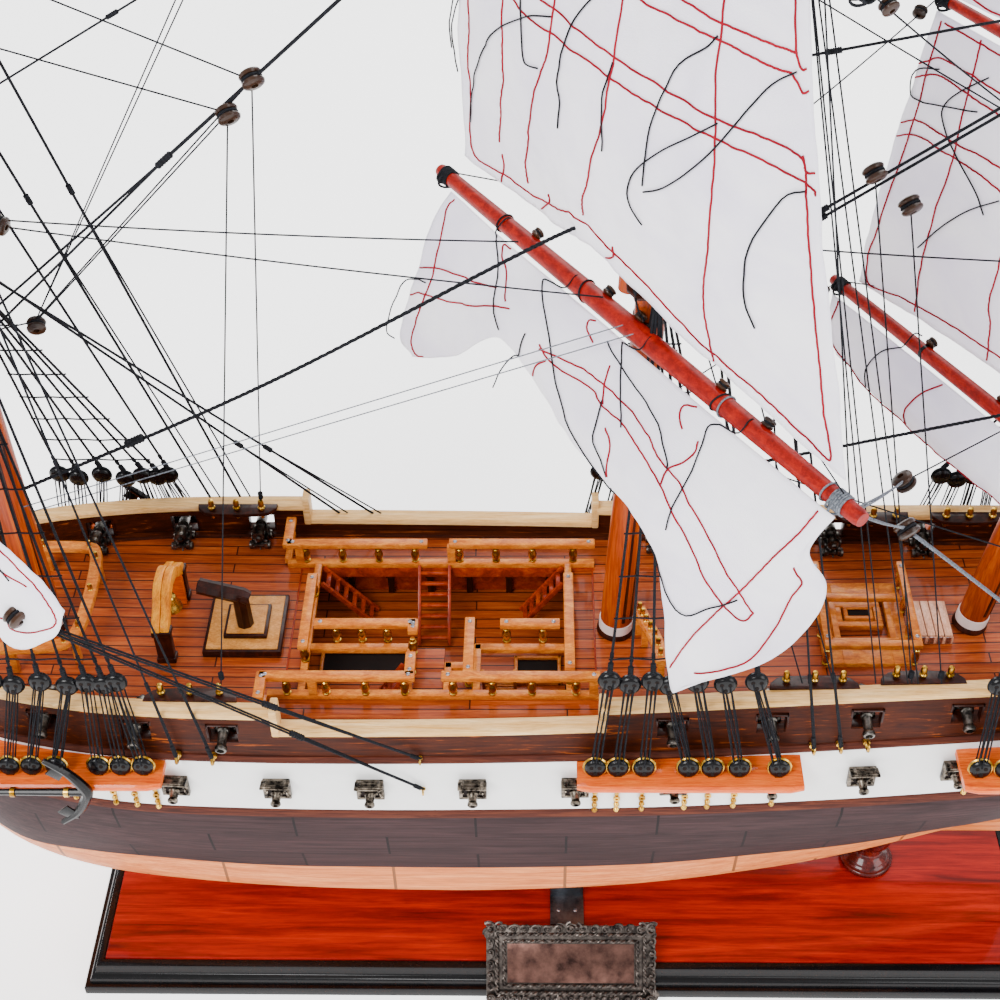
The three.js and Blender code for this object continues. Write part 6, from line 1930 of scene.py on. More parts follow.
SHAPED_SAILS = {
    "main_course": ("main_yard", {
        0.0: [
            (-121, 5.5, 0), (-121.5, 13, -9), (-125, 19, -28), (-130.5, 24, -51), (-137, 28, -79.5),
            (-125.5, 28, -85),
        ],
        0.18: [(-77, 5.5, -2.3), (-77, 15, -12), (-79, 22, -22), (-81, 26, -34), (-83, 28, -46), (-84, 29, -58)],
        0.3: [(-41, 5.5, -2.3), (-42, 14, -8), (-43, 20, -13), (-44, 24, -18), (-46, 26, -23), (-47, 27, -27)],
        0.44: [(1, 5.5, -2.3), (1, 18, -12), (0, 26, -22), (-3, 29, -33), (-6, 27, -43), (-8, 22, -51)],
        0.58: [(41, 5.5, -2.3), (39, 19, -13), (36, 28, -25), (33, 31, -38), (29, 28, -49), (25, 22, -58)],
        0.72: [(79, 5.5, -2.3), (76, 17, -17), (72, 27, -33), (68, 31, -46), (64, 30, -56), (61, 26, -63)],
        0.86: [(118, 5.5, -2.3), (114, 10, -30), (108, 15, -57), (99, 20, -80), (88, 25, -104), (77, 28, -126)],
        1.0: [(131, 5, -2.3), (119, 2, -30), (129, 1, -41), (129, 7, -58), (118, 17, -83), (85, 27, -122)],
    }),
    "main_topsail": ("main_topsail_yard", {
        0.0: [(-95, 5, -2), (-100, 7, -41), (-105, 8, -82), (-109, 6, -121), (-112.5, 3, -158)],
        0.25: [(-47, 5, -2), (-47, 17, -42), (-46, 19, -81), (-44, 13, -119), (-42, 5, -154.5)],
        0.4: [(-20, 5, -2), (-20, 19, -42), (-18, 22, -81), (-14, 18, -116), (-11, 9, -147)],
        0.5: [(-3, 5, -2), (-2, 20, -42), (1, 23, -81), (6, 18, -118), (11, 8, -152)],
        0.75: [(43, 5, -2), (47, 17, -42), (54, 19, -81), (63, 14, -120), (72, 7, -158)],
        1.0: [(88, 5, -3), (99, 7, -40), (111, 8, -80), (123, 7, -122), (134.5, 6, -163)],
    }),
    "mizzen_topsail": ("mizzen_topsail_yard", {
        0.0: [(-111, 5, -3), (-115, 8, -36), (-119, 9, -70), (-123, 10, -106), (-126, 10, -143)],
        0.25: [(-55, 5, -2), (-57, 16, -36), (-59, 19, -70), (-61, 17, -103), (-63, 12, -134)],
        0.5: [(0, 5, -2), (0, 20, -36), (0, 23, -69), (0, 20, -101), (0, 13, -130)],
        0.75: [(54, 5, -2), (55, 16, -36), (57, 19, -70), (59, 17, -103), (61, 12, -133)],
        1.0: [(106, 5, -2), (109, 7, -36), (112, 9, -70), (115, 10, -105), (118, 10, -140)],
    }),
    "mizzen_course": ("crossjack_yard", {
        0.0: [(-127, 4.5, -3.5), (-125, 6, -11), (-124, 6, -19), (-122, 5, -27), (-119, 4, -35)],
        0.25: [(-62, 5, -2), (-61, 10, -11), (-60, 12, -20), (-60, 10, -29), (-60, 6, -38)],
        0.5: [(0, 5, -2), (0, 12, -11), (0, 14, -20), (0, 12, -28), (0, 7, -36)],
        0.75: [(60, 5, -2), (60, 10, -11), (60, 12, -20), (59, 10, -29), (58, 7, -38)],
        1.0: [(119, 5, -2), (118, 6, -11), (117, 7, -20), (116, 7, -30), (114, 7, -40)],
    }),
    "fore_course": ("fore_yard", {
        0.0: [(-111, 5, -2), (-111, 8, -22), (-112, 10, -42), (-112, 10, -61), (-110, 8, -79)],
        0.25: [(-55, 5, -2), (-55, 14, -24), (-56, 16, -42), (-57, 14, -57), (-58, 6, -68)],
        0.5: [(0, 5, -2), (0, 17, -20), (1, 20, -35), (2, 17, -48), (3, 6, -57)],
        0.72: [(60, 5, -2), (64, 12, -25), (70, 13, -50), (78, 10, -74), (86, 4, -95)],
        0.88: [(98, 5, -2), (99, 3, -24), (101, -3, -45), (103, -9, -66), (105, -14, -87)],
        1.0: [(111, 5, -2), (111, -5, -19), (112, -12, -34), (112, -18, -51), (111, -23, -68)],
    }),
}
# Topsails and topgallants without folds of their own: yard above, yard below, fill ahead, arch of the foot
PLAIN_SAILS = {
    "fore_topsail": ("fore_topsail_yard", "fore_yard", 16, 18),
    "fore_topgallant_sail": ("fore_topgallant_yard", "fore_topsail_yard", 12, 14),
    "main_topgallant_sail": ("main_topgallant_yard", "main_topsail_yard", 12, 10),
    "mizzen_topgallant_sail": ("mizzen_topgallant_yard", "mizzen_topsail_yard", 9, 8),
}
HEAD_SHARE, FOOT_SHARE = 0.88, 0.9


def plain_columns(head, foot, fill, arch):
    """Columns for a sail between two yards, in the frame of the upper one."""
    upper, lower = YARDS[head], YARDS[foot]
    drop = yard_centre(lower) + yard_ahead(lower) * (lower[4] + 2) + UP * (lower[4] + 4) - yard_centre(upper)
    reach, fall = drop.dot(yard_ahead(upper)), drop.z
    top = upper[4] + 1
    columns = {}
    for s in (0, 0.25, 0.5, 0.75, 1):
        u = 2 * s - 1
        column = []
        for t in (0, 0.25, 0.5, 0.75, 1):
            half = mix(upper[2] * HEAD_SHARE, lower[2] * FOOT_SHARE, t)
            belly = fill * math.sin(math.pi * 0.8 * t) * (1 - 0.75 * u * u)
            height = mix(-upper[4] * 0.5, fall, t) + arch * t * t * (1 - u * u)
            column.append((u * half, mix(top, reach, t) + belly, height))
        columns[s] = column
    return columns


def cloth_through(columns, place):
    """The place on a cloth at shares s across and t down, with small creases."""
    ready = {s: [(i / (len(column) - 1), Vector(p)) for i, p in enumerate(column)] for s, column in columns.items()}

    def surface(s, t):
        row = [(share, curve_value(column, t)) for share, column in ready.items()]
        p = Vector(curve_value(row, s))
        calm = min(1.0, 8 * t) * 0.9 + 0.1
        crease = noise.fractal(p / 24, 0.9, 2.0, 3) * 1.3 + noise.noise(Vector((p.x / 9, p.y / 9, p.z / 40))) * 0.7
        p.y += crease * calm
        return place(p)

    return surface


# Sails set fore and aft: corners in order round the sail, and how far it fills to port
FORE_AND_AFT = {
    "inner_jib": ([(-412.9, 0, 281), (-295.7, 0, 478), (-295.7, 0, 478), (-336, -12, 262)], 8),
    "outer_jib": ([(-488.4, 0, 292), (-303.8, 0, 494), (-303.8, 0, 494), (-434, -10, 287)], 8),
    "spanker_sail": ([(216, 0, 328), (310, 0, 383), (374, 0, 260.4), (206, 0, 245.2)], 12),
}


def fore_and_aft(corners, fill):
    a, b, c, d = (Vector(p) for p in corners)

    def surface(s, t):
        t = min(t, 1 - 1e-4)
        p = a.lerp(b, s).lerp(d.lerp(c, s), t)
        crease = noise.fractal(p / 24, 0.9, 2.0, 3) * 1.0
        return p - Vector((0, 1, 0)) * (
            fill * math.sin(math.pi * s) * math.sin(math.pi * t) + crease * 4 * s * (1 - s)
        )

    return surface


def cloth_mesh(name, surface, across, down):
    """A grid over the cloth, with its UV map in threads of the weave, and a little thickness."""
    bm = bmesh.new()
    rows = [[surface(i / across, j / down) for i in range(across + 1)] for j in range(down + 1)]
    made = skin(bm, rows, closed=False, caps=False)
    uv = bm.loops.layers.uv.verify()
    lookup = {}
    for j, ring in enumerate(made):
        for i, vert in enumerate(ring):
            lookup[vert] = (i / across, j / down)
    wide = sum((b - a).length for a, b in zip(rows[down // 2], rows[down // 2][1:]))
    deep = sum((rows[j + 1][across // 2] - rows[j][across // 2]).length for j in range(down))
    for face in bm.faces:
        for loop in face.loops:
            s, t = lookup[loop.vert]
            loop[uv].uv = (s * wide / 2, t * deep / 2)
    sail = finished(name, bm, ["sail_cotton"], smooth=180)
    thick = sail.modifiers.new("thickness", "SOLIDIFY")
    thick.thickness, thick.offset = bpy.context.scene.ship_sizes.cloth, 0
    area = sum(face.area for face in sail.data.polygons)
    return sail, wide * MM, deep * MM, area


# Threads on the cloth, in millimetres: the length of their steps and how far they lie above it
STITCH_STEP, STITCH_LIFT = 1.6, 0.5
REEF_STEP, REEF_LIFT = 3, 0.9
# A thread that comes over the yard: millimetres ahead of the sail's head and above it
OVER_YARD = ((-10, 4.4), (-5, 7.4), (0.4, 2.4))
# A plain reef thread: its share of the lean, and its share down the sail from its upper end
REEF_BENDS = ((0, 0), (1, 0.12), (0.6, 0.24), (-0.5, 0.34))

# Stitches and reef threads of the sails that show theirs, as lines of (share across, share down) places.
# Places outside 0 to 1 lie a little past the edge, and a line that begins at -1 down comes over the yard.
STITCHES = {
    "main_topsail": [
        [
            (0.045, 0), (0.045, 0.47), (0.04, 0.66), (0.03, 0.95), (0.11, 0.955), (0.25, 0.93), (0.36, 0.9),
            (0.49, 0.885), (0.6, 0.92), (0.72, 0.96), (0.82, 0.96), (0.93, 0.97), (0.975, 0.975), (0.97, 0.86),
            (0.97, 0.71), (0.977, 0.54), (0.977, 0.41), (0.975, 0.34)
        ],
        [(0.97, 0), (0.97, 0.086), (0.972, 0.15), (0.982, 0.171), (0.992, 0.165)],
        [(0.96, 0.187), (0.975, 0.2), (0.985, 0.215), (0.995, 0.207)],
        [(0.05, 0.17), (0.35, 0.175), (0.64, 0.179), (0.82, 0.179), (0.92, 0.193), (0.96, 0.187)],
        [(0.05, 0.12), (0.35, 0.13), (0.72, 0.143), (0.9, 0.15), (0.973, 0.145)],
        [(0.05, 0.33), (0.24, 0.35), (0.51, 0.35), (0.66, 0.364), (0.83, 0.371), (0.977, 0.393), (0.995, 0.407)],
        [(0.05, 0.28), (0.35, 0.293), (0.59, 0.31), (0.83, 0.329), (0.96, 0.34), (0.977, 0.37), (0.995, 0.364)],
        [(0.2, 0.02), (0.19, 0.38), (0.186, 0.54), (0.145, 0.69), (0.118, 0.84)],
        [(0.12, 0.88), (0.118, 0.93), (0.105, 0.99)],
        [(0.39, 0.02), (0.395, 0.34), (0.35, 0.48), (0.26, 0.66), (0.205, 0.82), (0.2, 0.9)],
        [(0.264, 0.886), (0.255, 0.92), (0.215, 0.98)],
        [(0.59, 0.02), (0.595, 0.27), (0.59, 0.36), (0.555, 0.49), (0.495, 0.66), (0.45, 0.77), (0.423, 0.85)],
        [(0.51, 0.86), (0.495, 0.91), (0.45, 0.98)],
        [
            (0.81, 0.02), (0.823, 0.18), (0.827, 0.34), (0.81, 0.48), (0.786, 0.64), (0.745, 0.77), (0.732, 0.88),
            (0.72, 0.99)
        ],
    ],
    "main_course": [
        [
            (0.02, 0.02), (0.018, 0.11), (0.045, 0.32), (0.055, 0.51), (0.055, 0.63), (0.05, 0.75), (0.036, 0.9),
            (0.035, 0.98), (0.06, 0.993)
        ],
        [(0.005, 0.49), (0.05, 0.44), (0.127, 0.37), (0.18, 0.33), (0.227, 0.286)],
        [(0.005, 0.62), (0.036, 0.59), (0.08, 0.58), (0.15, 0.55), (0.23, 0.49), (0.28, 0.43)],
        [(0.2, 0.01), (0.182, 0.02), (0.195, 0.086), (0.218, 0.136), (0.24, 0.24), (0.264, 0.37)],
        [
            (0.364, 0.45), (0.418, 0.28), (0.473, 0.21), (0.536, 0.22), (0.605, 0.243), (0.64, 0.28), (0.69, 0.3),
            (0.745, 0.336), (0.8, 0.393), (0.836, 0.414), (0.873, 0.464)
        ],
        [
            (0.36, 0.42), (0.386, 0.436), (0.436, 0.32), (0.482, 0.27), (0.514, 0.3), (0.564, 0.3), (0.605, 0.314),
            (0.636, 0.336), (0.682, 0.37), (0.736, 0.43), (0.786, 0.493), (0.823, 0.5), (0.868, 0.514), (0.873, 0.464)
        ],
        [(0.905, 0.015), (0.855, 0.2), (0.836, 0.407), (0.832, 0.68), (0.841, 0.964)],
        [(0.918, 0.243), (0.95, 0.33), (0.927, 0.4), (0.94, 0.58), (0.955, 0.77), (0.93, 0.8), (0.882, 0.843)],
        [(0.37, 0.86), (0.373, 0.6), (0.382, 0.464)], [(0.477, 0.121), (0.495, 0.214), (0.514, 0.293)],
        [(0.545, 0.386), (0.573, 0.45), (0.59, 0.65)],
        [(0.405, 0.01), (0.395, 0.036), (0.405, 0.086), (0.427, 0.1)],
        [(0.636, 0.01), (0.618, 0.043), (0.627, 0.093), (0.645, 0.121)],
        [(0.677, 0.121), (0.686, 0.164), (0.682, 0.236), (0.673, 0.293), (0.68, 0.364)],
    ],
    "mizzen_topsail": [
        [(0.03, 0.02), (0.5, 0.02), (0.97, 0.02)],
        [
            (0.02, 0.02), (0.027, 0.15), (0.036, 0.35), (0.032, 0.61), (0.02, 0.96), (0.12, 0.957), (0.29, 0.93),
            (0.5, 0.91), (0.75, 0.94), (0.97, 0.96), (0.97, 0.5), (0.97, 0.02)
        ],
        [(0.002, 0.18), (0.02, 0.157), (0.05, 0.121), (0.105, 0.114), (0.21, 0.107), (0.6, 0.11), (0.995, 0.15)],
        [(0.002, 0.23), (0.027, 0.2), (0.06, 0.171), (0.123, 0.164), (0.24, 0.157), (0.6, 0.16), (0.995, 0.2)],
        [(0.005, 0.39), (0.045, 0.343), (0.105, 0.32), (0.177, 0.307), (0.286, 0.28), (0.6, 0.28), (0.995, 0.33)],
        [(0.005, 0.44), (0.04, 0.4), (0.095, 0.37), (0.186, 0.35), (0.305, 0.336), (0.6, 0.34), (0.995, 0.39)],
        [(0.123, 0.01), (0.145, 0.15), (0.168, 0.33), (0.168, 0.54), (0.16, 0.79), (0.16, 0.98)],
        [(0.355, 0.02), (0.355, 0.54), (0.345, 0.7), (0.355, 0.82), (0.35, 0.98)], [(0.58, 0.02), (0.58, 0.98)],
        [(0.8, 0.02), (0.8, 0.98)],
    ],
    "mizzen_course": [
        [(0.31, 0.02), (0.28, 0.24), (0.25, 0.6), (0.24, 0.95)],
        [(0.02, 0.02), (0.03, 0.95), (0.5, 0.94), (0.97, 0.95), (0.97, 0.02)], [(0.55, 0.02), (0.56, 0.95)],
        [(0.78, 0.02), (0.77, 0.95)],
    ],
    "fore_course": [
        [
            (0.02, 0.02), (0.03, 0.95), (0.3, 0.93), (0.6, 0.93), (0.78, 0.82), (0.8, 0.88), (0.84, 0.92),
            (0.89, 0.935), (0.96, 0.93), (0.97, 0.5), (0.97, 0.02)
        ],
        [(0.01, 0.4), (0.4, 0.4), (0.75, 0.42), (0.87, 0.535), (0.91, 0.59), (0.936, 0.67)],
        [(0.01, 0.5), (0.4, 0.5), (0.72, 0.52), (0.8, 0.62)], [(0.25, 0.02), (0.25, 0.98)],
        [(0.5, 0.02), (0.5, 0.98)],
    ],
}
REEF_THREADS = {
    "main_topsail": [
        [(0.1, 0.3), (0.02, 0.37), (-0.02, 0.5), (-0.03, 0.66)],
        [(0.2, 0.26), (0.08, 0.4), (0.0, 0.5), (-0.02, 0.62), (-0.01, 0.72)],
        [(0.395, 0.314), (0.31, 0.35), (0.186, 0.45), (0.11, 0.56), (0.064, 0.68), (0.036, 0.78), (0.032, 0.85)],
        [(0.28, 0.2), (0.282, 0.33), (0.29, 0.4), (0.295, 0.457), (0.305, 0.471), (0.35, 0.457)],
        [(0.56, 0.17), (0.51, 0.23), (0.473, 0.293), (0.45, 0.364), (0.423, 0.443), (0.427, 0.507), (0.414, 0.579)],
        [(0.595, 0.32), (0.586, 0.364), (0.568, 0.414), (0.559, 0.479), (0.555, 0.55)],
        [(0.818, 0.171), (0.8, 0.2), (0.75, 0.25), (0.723, 0.314), (0.7, 0.379), (0.673, 0.471), (0.655, 0.571)],
        [(0.973, 0.179), (0.927, 0.221), (0.886, 0.286), (0.832, 0.379), (0.768, 0.471), (0.7, 0.55), (0.655, 0.586)],
        [(0.832, 0.336), (0.782, 0.386), (0.71, 0.457), (0.64, 0.543), (0.61, 0.607), (0.605, 0.657), (0.632, 0.686)],
        [
            (0.977, 0.407), (0.94, 0.436), (0.895, 0.521), (0.868, 0.586), (0.85, 0.664), (0.845, 0.721),
            (0.855, 0.771)
        ],
    ],
    "main_course": [
        [(0.045, 0.529), (0.009, 0.543), (-0.03, 0.58), (-0.05, 0.68), (-0.05, 0.78), (-0.02, 0.82)],
        [(0.155, -1), (0.16, 0.01), (0.164, 0.03), (0.218, 0.23), (0.286, 0.807)],
        [
            (0.33, -1), (0.3, 0.0), (0.286, 0.036), (0.318, 0.157), (0.36, 0.293), (0.405, 0.45), (0.445, 0.521),
            (0.5, 0.7), (0.56, 0.86), (0.6, 0.98)
        ],
        [(0.332, 0.486), (0.34, 0.85), (0.32, 1.15), (0.3, 1.5)],
        [(0.509, 0.271), (0.527, 0.4), (0.541, 0.514), (0.573, 0.579), (0.59, 0.657)],
        [(0.445, 0.043), (0.486, 0.086), (0.545, 0.129), (0.605, 0.171), (0.66, 0.257), (0.673, 0.293)],
        [(0.5, -1), (0.465, 0.0), (0.473, 0.03), (0.509, 0.143), (0.568, 0.314)],
        [(0.72, -1), (0.685, 0.0), (0.673, 0.043), (0.691, 0.143), (0.705, 0.271), (0.727, 0.514)],
        [(0.841, 0.443), (0.823, 0.564), (0.8, 0.743), (0.72, 0.95), (0.66, 1.1)],
    ],
    "mizzen_topsail": [
        [(0.06, 0.15), (0.01, 0.19), (-0.01, 0.24), (0.005, 0.29), (0.04, 0.28), (0.095, 0.243), (0.186, 0.186)],
        [
            (0.177, 0.086), (0.127, 0.171), (0.105, 0.236), (0.123, 0.286), (0.186, 0.35), (0.245, 0.393),
            (0.286, 0.436)
        ],
        [(0.314, 0.357), (0.245, 0.464), (0.191, 0.586), (0.145, 0.714)], [(0.5, 0.2), (0.47, 0.4), (0.52, 0.6)],
        [(0.7, 0.3), (0.74, 0.5), (0.7, 0.7)],
    ],
    "mizzen_course": [
        [(0.2, -1), (0.19, 0), (0.155, 0.2), (0.118, 0.686), (0.109, 1.0)],
        [(0.6, -1), (0.6, 0.02), (0.62, 0.6), (0.6, 1.1)]
    ],
    "fore_course": [
        [(0.3, 0.1), (0.32, 0.4), (0.27, 0.8)], [(0.6, 0.1), (0.64, 0.4), (0.6, 0.8)],
        [(0.86, 0.1), (0.9, 0.35), (0.88, 0.6)]
    ],
}


def plain_stitches(square, rng):
    """Hems all round, and on a square sail its seams and two double reef bands."""
    lines = [
        [
            (0.03, 0.03), (0.5, 0.03), (0.97, 0.03), (0.97, 0.5), (0.97, 0.95), (0.5, 0.95), (0.03, 0.95),
            (0.03, 0.5), (0.03, 0.03)
        ]
    ]
    for s in (0.2, 0.4, 0.6, 0.8) if square else ():
        lines.append([(s, 0.01), (s + rng.uniform(-0.01, 0.01), 0.5), (s, 0.99)])
    for t in (0.2, 0.25, 0.45, 0.5) if square else (0.25, 0.5, 0.75):
        lines.append([(0.01, t), (0.5, t), (0.99, t)])
    return lines


def cloth_place(surface, s, t):
    """A place of the cloth, or a little past its starboard or lower edge."""
    place = surface(min(max(s, 0.002), 0.998), min(max(t, 0.002), 0.998))
    if s < 0:
        place += (surface(0.002, t) - surface(0.05, t)) * (-s / 0.048)
    if t > 1:
        place += (surface(s, 0.998) - surface(s, 0.9)).normalized() * (t - 1) * 60
    return place


def on_cloth(surface, points, step, ahead, lift):
    """A line along the cloth through (share across, share down) places. Below 0 down it starts over the yard."""
    start = []
    if points[0][1] < 0:
        head = cloth_place(surface, points[0][0], 0)
        start = [head + ahead * out + UP * up for out, up in OVER_YARD]
        points = points[1:]
    rough = [cloth_place(surface, s, t) for s, t in points]
    count = max(6, int(sum((b - a).length for a, b in zip(rough, rough[1:])) / step))
    flat = through([Vector((s, t, 0)) for s, t in points], count)
    line = [cloth_place(surface, p.x, max(p.y, 0)) + ahead * lift for p in flat]
    return through(start + line[:1], 14)[:-1] + line if start else line


def dress_sail(name, surface, across, down, held, on, square=True):
    """The cloth of a sail with its stitches and reef threads."""
    sail, wide, deep, area = cloth_mesh(name + "_cloth", surface, across, down)
    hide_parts(name)
    rng = random.Random(sum(map(ord, name)))
    across_sail, down_sail = surface(0.6, 0.5) - surface(0.4, 0.5), surface(0.5, 0.6) - surface(0.5, 0.4)
    ahead = down_sail.cross(across_sail).normalized()
    ahead = -ahead if (ahead.x > 0 if square else ahead.y > 0) else ahead
    threads = []
    for line in STITCHES.get(name) or plain_stitches(square, rng):
        points = on_cloth(surface, line, STITCH_STEP, ahead, STITCH_LIFT)
        points = [p + ahead * 0.1 * math.sin(i * 1.7) + UP * 0.22 * noise.noise(p / 3) for i, p in enumerate(points)]
        threads.append((points, half_thick("sail_thread")))
    pieces = [thread_piece(name + "_stitches", threads, "stitch_crimson", 6)]
    if square:
        hung = REEF_THREADS.get(name)
        if not hung:
            hung = []
            for t in (0.2, 0.45):
                for k in range(5):
                    s, lean = (k + 0.5) / 5 + rng.uniform(-0.04, 0.04), rng.uniform(-0.07, 0.07)
                    hung.append([(s + lean * share, t + fall) for share, fall in REEF_BENDS])
        lines = [(on_cloth(surface, line, REEF_STEP, ahead, REEF_LIFT), half_thick("reef_thread")) for line in hung]
        pieces.append(thread_piece(name + "_reef_threads", lines, "rope_black", 6))


def build_sails():
    for name, (yard, columns) in SHAPED_SAILS.items():
        fine = (96, 48) if name.startswith("main") else (64, 36)
        dress_sail(name, cloth_through(columns, yard_frame(yard)), *fine, "hung", yard)
    for name, (head, foot, fill, arch) in PLAIN_SAILS.items():
        surface = cloth_through(plain_columns(head, foot, fill, arch), yard_frame(head))
        dress_sail(name, surface, 56, 36, "hung", head)
    for name, (corners, fill) in FORE_AND_AFT.items():
        on = "spanker_gaff" if name == "spanker_sail" else "fore_mast"
        dress_sail(name, fore_and_aft(corners, fill), 40, 40, "stretched", on, square=False)


# Rigging: shrouds, stays, braces and the ropes between them


def on_mast(name, z, y=0.0, ahead=0.0):
    """A place in the middle of a mast, topmast or topgallant mast."""
    mast = MASTS[name]
    step = top_ahead(mast) if z > mast["cap"] else 0
    step += GALLANT_AHEAD if z > mast["topmast"] else 0
    return mast_point(name, z, step + ahead, y)


def laid_rope(points, radius, pitch=7.0):
    """Three strands laid round each other, as (points, radius) lines."""
    points = [Vector(p) for p in points]
    length = sum((b - a).length for a, b in zip(points, points[1:]))
    count = max(12, int(length / pitch * 9))
    line = through(points, count)
    strands = [[], [], []]
    across = None
    for i, p in enumerate(line):
        along = (line[min(i + 1, count)] - line[max(i - 1, 0)]).normalized()
        across = along.orthogonal() if across is None else across - along * across.dot(along)
        across.normalize()
        other = along.cross(across)
        for k in range(3):
            a = math.tau * (k / 3 + i / 9)
            strands[k].append(p + (across * math.cos(a) + other * math.sin(a)) * radius * 0.5)
    return [(strand, radius * 0.56) for strand in strands]


def seizing_form():
    """Turns of twine round a rope, 1 wide and 1 long along +Z."""

    def shape(part):
        profile = [(0, 0)]
        for k in range(6):
            profile += [(0.82, k / 6 + 0.01), (1.0, (k + 0.5) / 6)]
        lathe(part, profile + [(0.8, 0.99), (0, 1)], (0, 0, 0), (0, 0, 1), 10, 0)

    return form("seizing", shape)


def seize(bm, at, direction, radius, length):
    size = Matrix.Diagonal((radius, radius, length, 1))
    start = Vector(at) - Vector(direction).normalized() * length / 2
    stamp(bm, seizing_form(), towards(direction, start) @ size)


def ring_round(at, direction, radius, thick, count=18, turns=1, rise=0.0, lean=0.0):
    """Turns of thread round a spar, as a (points, radius) line."""
    turn = towards(direction, at) @ Matrix.Rotation(lean, 4, "X")
    points = []
    for k in range(int(count * turns) + 1):
        a = math.tau * k / count
        points.append(turn @ Vector((radius * math.cos(a), radius * math.sin(a), rise * k / count)))
    return points, thick


RATLINE_STEP, UPPER_RATLINE_STEP = 18.5, 11


def build_shrouds():
    for word, side in SIDES.items():
        lines, twine, collars = [], [], bmesh.new()
        for name, (_, _, lower, upper, upper_z) in CHANNELS.items():
            mast = MASTS[name]
            head = mast["cap"] - 4
            ends = []
            for i, (x, x_low) in enumerate(zip(upper, lower)):
                eye = Vector((x, side * UPPER_DEADEYE_Y, upper_z + DEADEYE_SHIFTS[i]))
                if i < len(upper) - 1:
                    reach = on_mast(name, head, side * 3.4, -1.5 + 0.8 * i)
                else:
                    reach = on_mast(name, mast["topmast"] - 14, side * 3.4)
                start = eye + UP * (DEADEYE_R + 0.3)
                lines.append(([start, reach], half_thick("shroud")))
                ends.append((start, reach))
                turns = [math.tau * k / 20 for k in range(21)]
                ring = [eye + Vector((math.cos(a), 0, math.sin(a))) * DEADEYE_R * 0.97 for a in turns]
                twine.append((ring, 0.55))
                seize(collars, start + (reach - start).normalized() * 2.2, reach - start, 1.35, 5.5)
                seize(collars, start + (reach - start).normalized() * 8.5, reach - start, 0.95, 2.6)
                low = Vector((x_low, side * DEADEYE_Y, DEADEYE_SEAT))
                for hole_x, hole_z in DEADEYE_HOLES:
                    for out in (-2.1, 2.1):
                        top_hole = eye + Vector((hole_x, out, hole_z))
                        foot_hole = low + Vector((hole_x, out, -hole_z))
                        middle = top_hole.lerp(foot_hole, 0.5) + Vector((0.15 * out, 0, 0))
                        twine.append(([top_hole, middle, foot_hole], half_thick("lanyard")))
            z = upper_z + 13
            while z < mast["top"] - 12:
                row = [a.lerp(b, (z - a.z) / (b.z - a.z)) + Vector((0, side * 0.5, 0)) for a, b in ends[:-1]]
                row = [row[0] + Vector((-1.2, 0, 0.2))] + row + [row[-1] + Vector((1.2, 0, 0.3))]
                twine.append((row, half_thick("ratline")))
                z += RATLINE_STEP
            foot, peak = mast["top"] + 1, mast["topmast"] - 19
            upper_lines = []
            for dx in (-8, -1, 6):
                a = Vector((mast_x(mast, foot) + dx, side * 14.4, foot))
                upper_lines.append((a, on_mast(name, peak, side * 2.6)))
                lines.append((list(upper_lines[-1]), 0.45))
                seize(collars, a + UP * 3, upper_lines[-1][1] - a, 1.1, 4)
                lines.append(([a - UP * 1.6, on_mast(name, foot - 24, side * 5.4, -dx * 0.3)], 0.4))
            z = foot + 12
            while z < peak - 20:
                twine.append(([a.lerp(b, (z - a.z) / (b.z - a.z)) for a, b in upper_lines], 0.24))
                z += UPPER_RATLINE_STEP
            peak, gallant = mast["topmast"] - 17, mast["truck"] - 34
            for dx in (-5.4, 1.4):
                a = Vector((mast_x(mast, peak) - top_ahead(mast) + dx, side * 9.6, peak))
                lines.append(([a, on_mast(name, gallant, side * 1)], 0.34))
        thread_piece("shrouds_" + word, lines, "rope_black", 8)
        thread_piece("lanyards_" + word, twine, "rope_black", 6)
        finished("shroud_seizings_" + word, collars, ["rope_black"], recalc=False)


# Backstays: mast, height on it, and x of the eyebolt on the side where each is made fast
BACKSTAYS = [
    ("fore", 690, -174.5), ("fore", 640, -158.5), ("main", 752, 109), ("main", 700, 121),
    ("mizzen", 600, 228),
]
# Starboard lines to the rail: mast, height, foot x and height
STARBOARD_LINES = [
    ("fore", 706, -162, 226), ("fore", 622, -177, 226), ("fore", 434, -106, 212), ("fore", 430, -88, 212)
]


def build_backstays():
    lines, knots = [], bmesh.new()
    for side in SIDES.values():
        for name, z, x in BACKSTAYS:
            if name == "fore" and side == STARBOARD:
                continue
            foot = Vector((x, side * (breadth(x, band_top(x)) + 4.4), band_top(x) + 5.2))
            head = on_mast(name, z, side)
            lines.append(([foot, head], half_thick("backstay") * 0.8))
            along = (head - foot).normalized()
            seize(knots, foot + along * 4, along, 1.0, 7)
            seize(knots, foot + along * 42, along, 0.95, 5)
            lines.append(([foot + along * 1 + AFT * 0.8, foot + along * 40 + AFT * 0.5], half_thick("line")))
    for name, z, x, low in STARBOARD_LINES:
        foot = Vector((x, breadth(x, low) - (2 if low > 220 else -3), low - (0 if low > 220 else 12)))
        head = on_mast(name, z)
        lines.append(([foot, head], half_thick("backstay")))
        along = (head - foot).normalized()
        fork = foot + along * (92 if low < 220 else 200)
        seize(knots, fork, along, 1.3, 5)
        lines.append(([foot + AFT * 5, fork], half_thick("line") * 1.2))
    thread_piece("backstays", lines, "rope_black", 8)
    finished("backstay_seizings", knots, ["rope_black"], recalc=False)


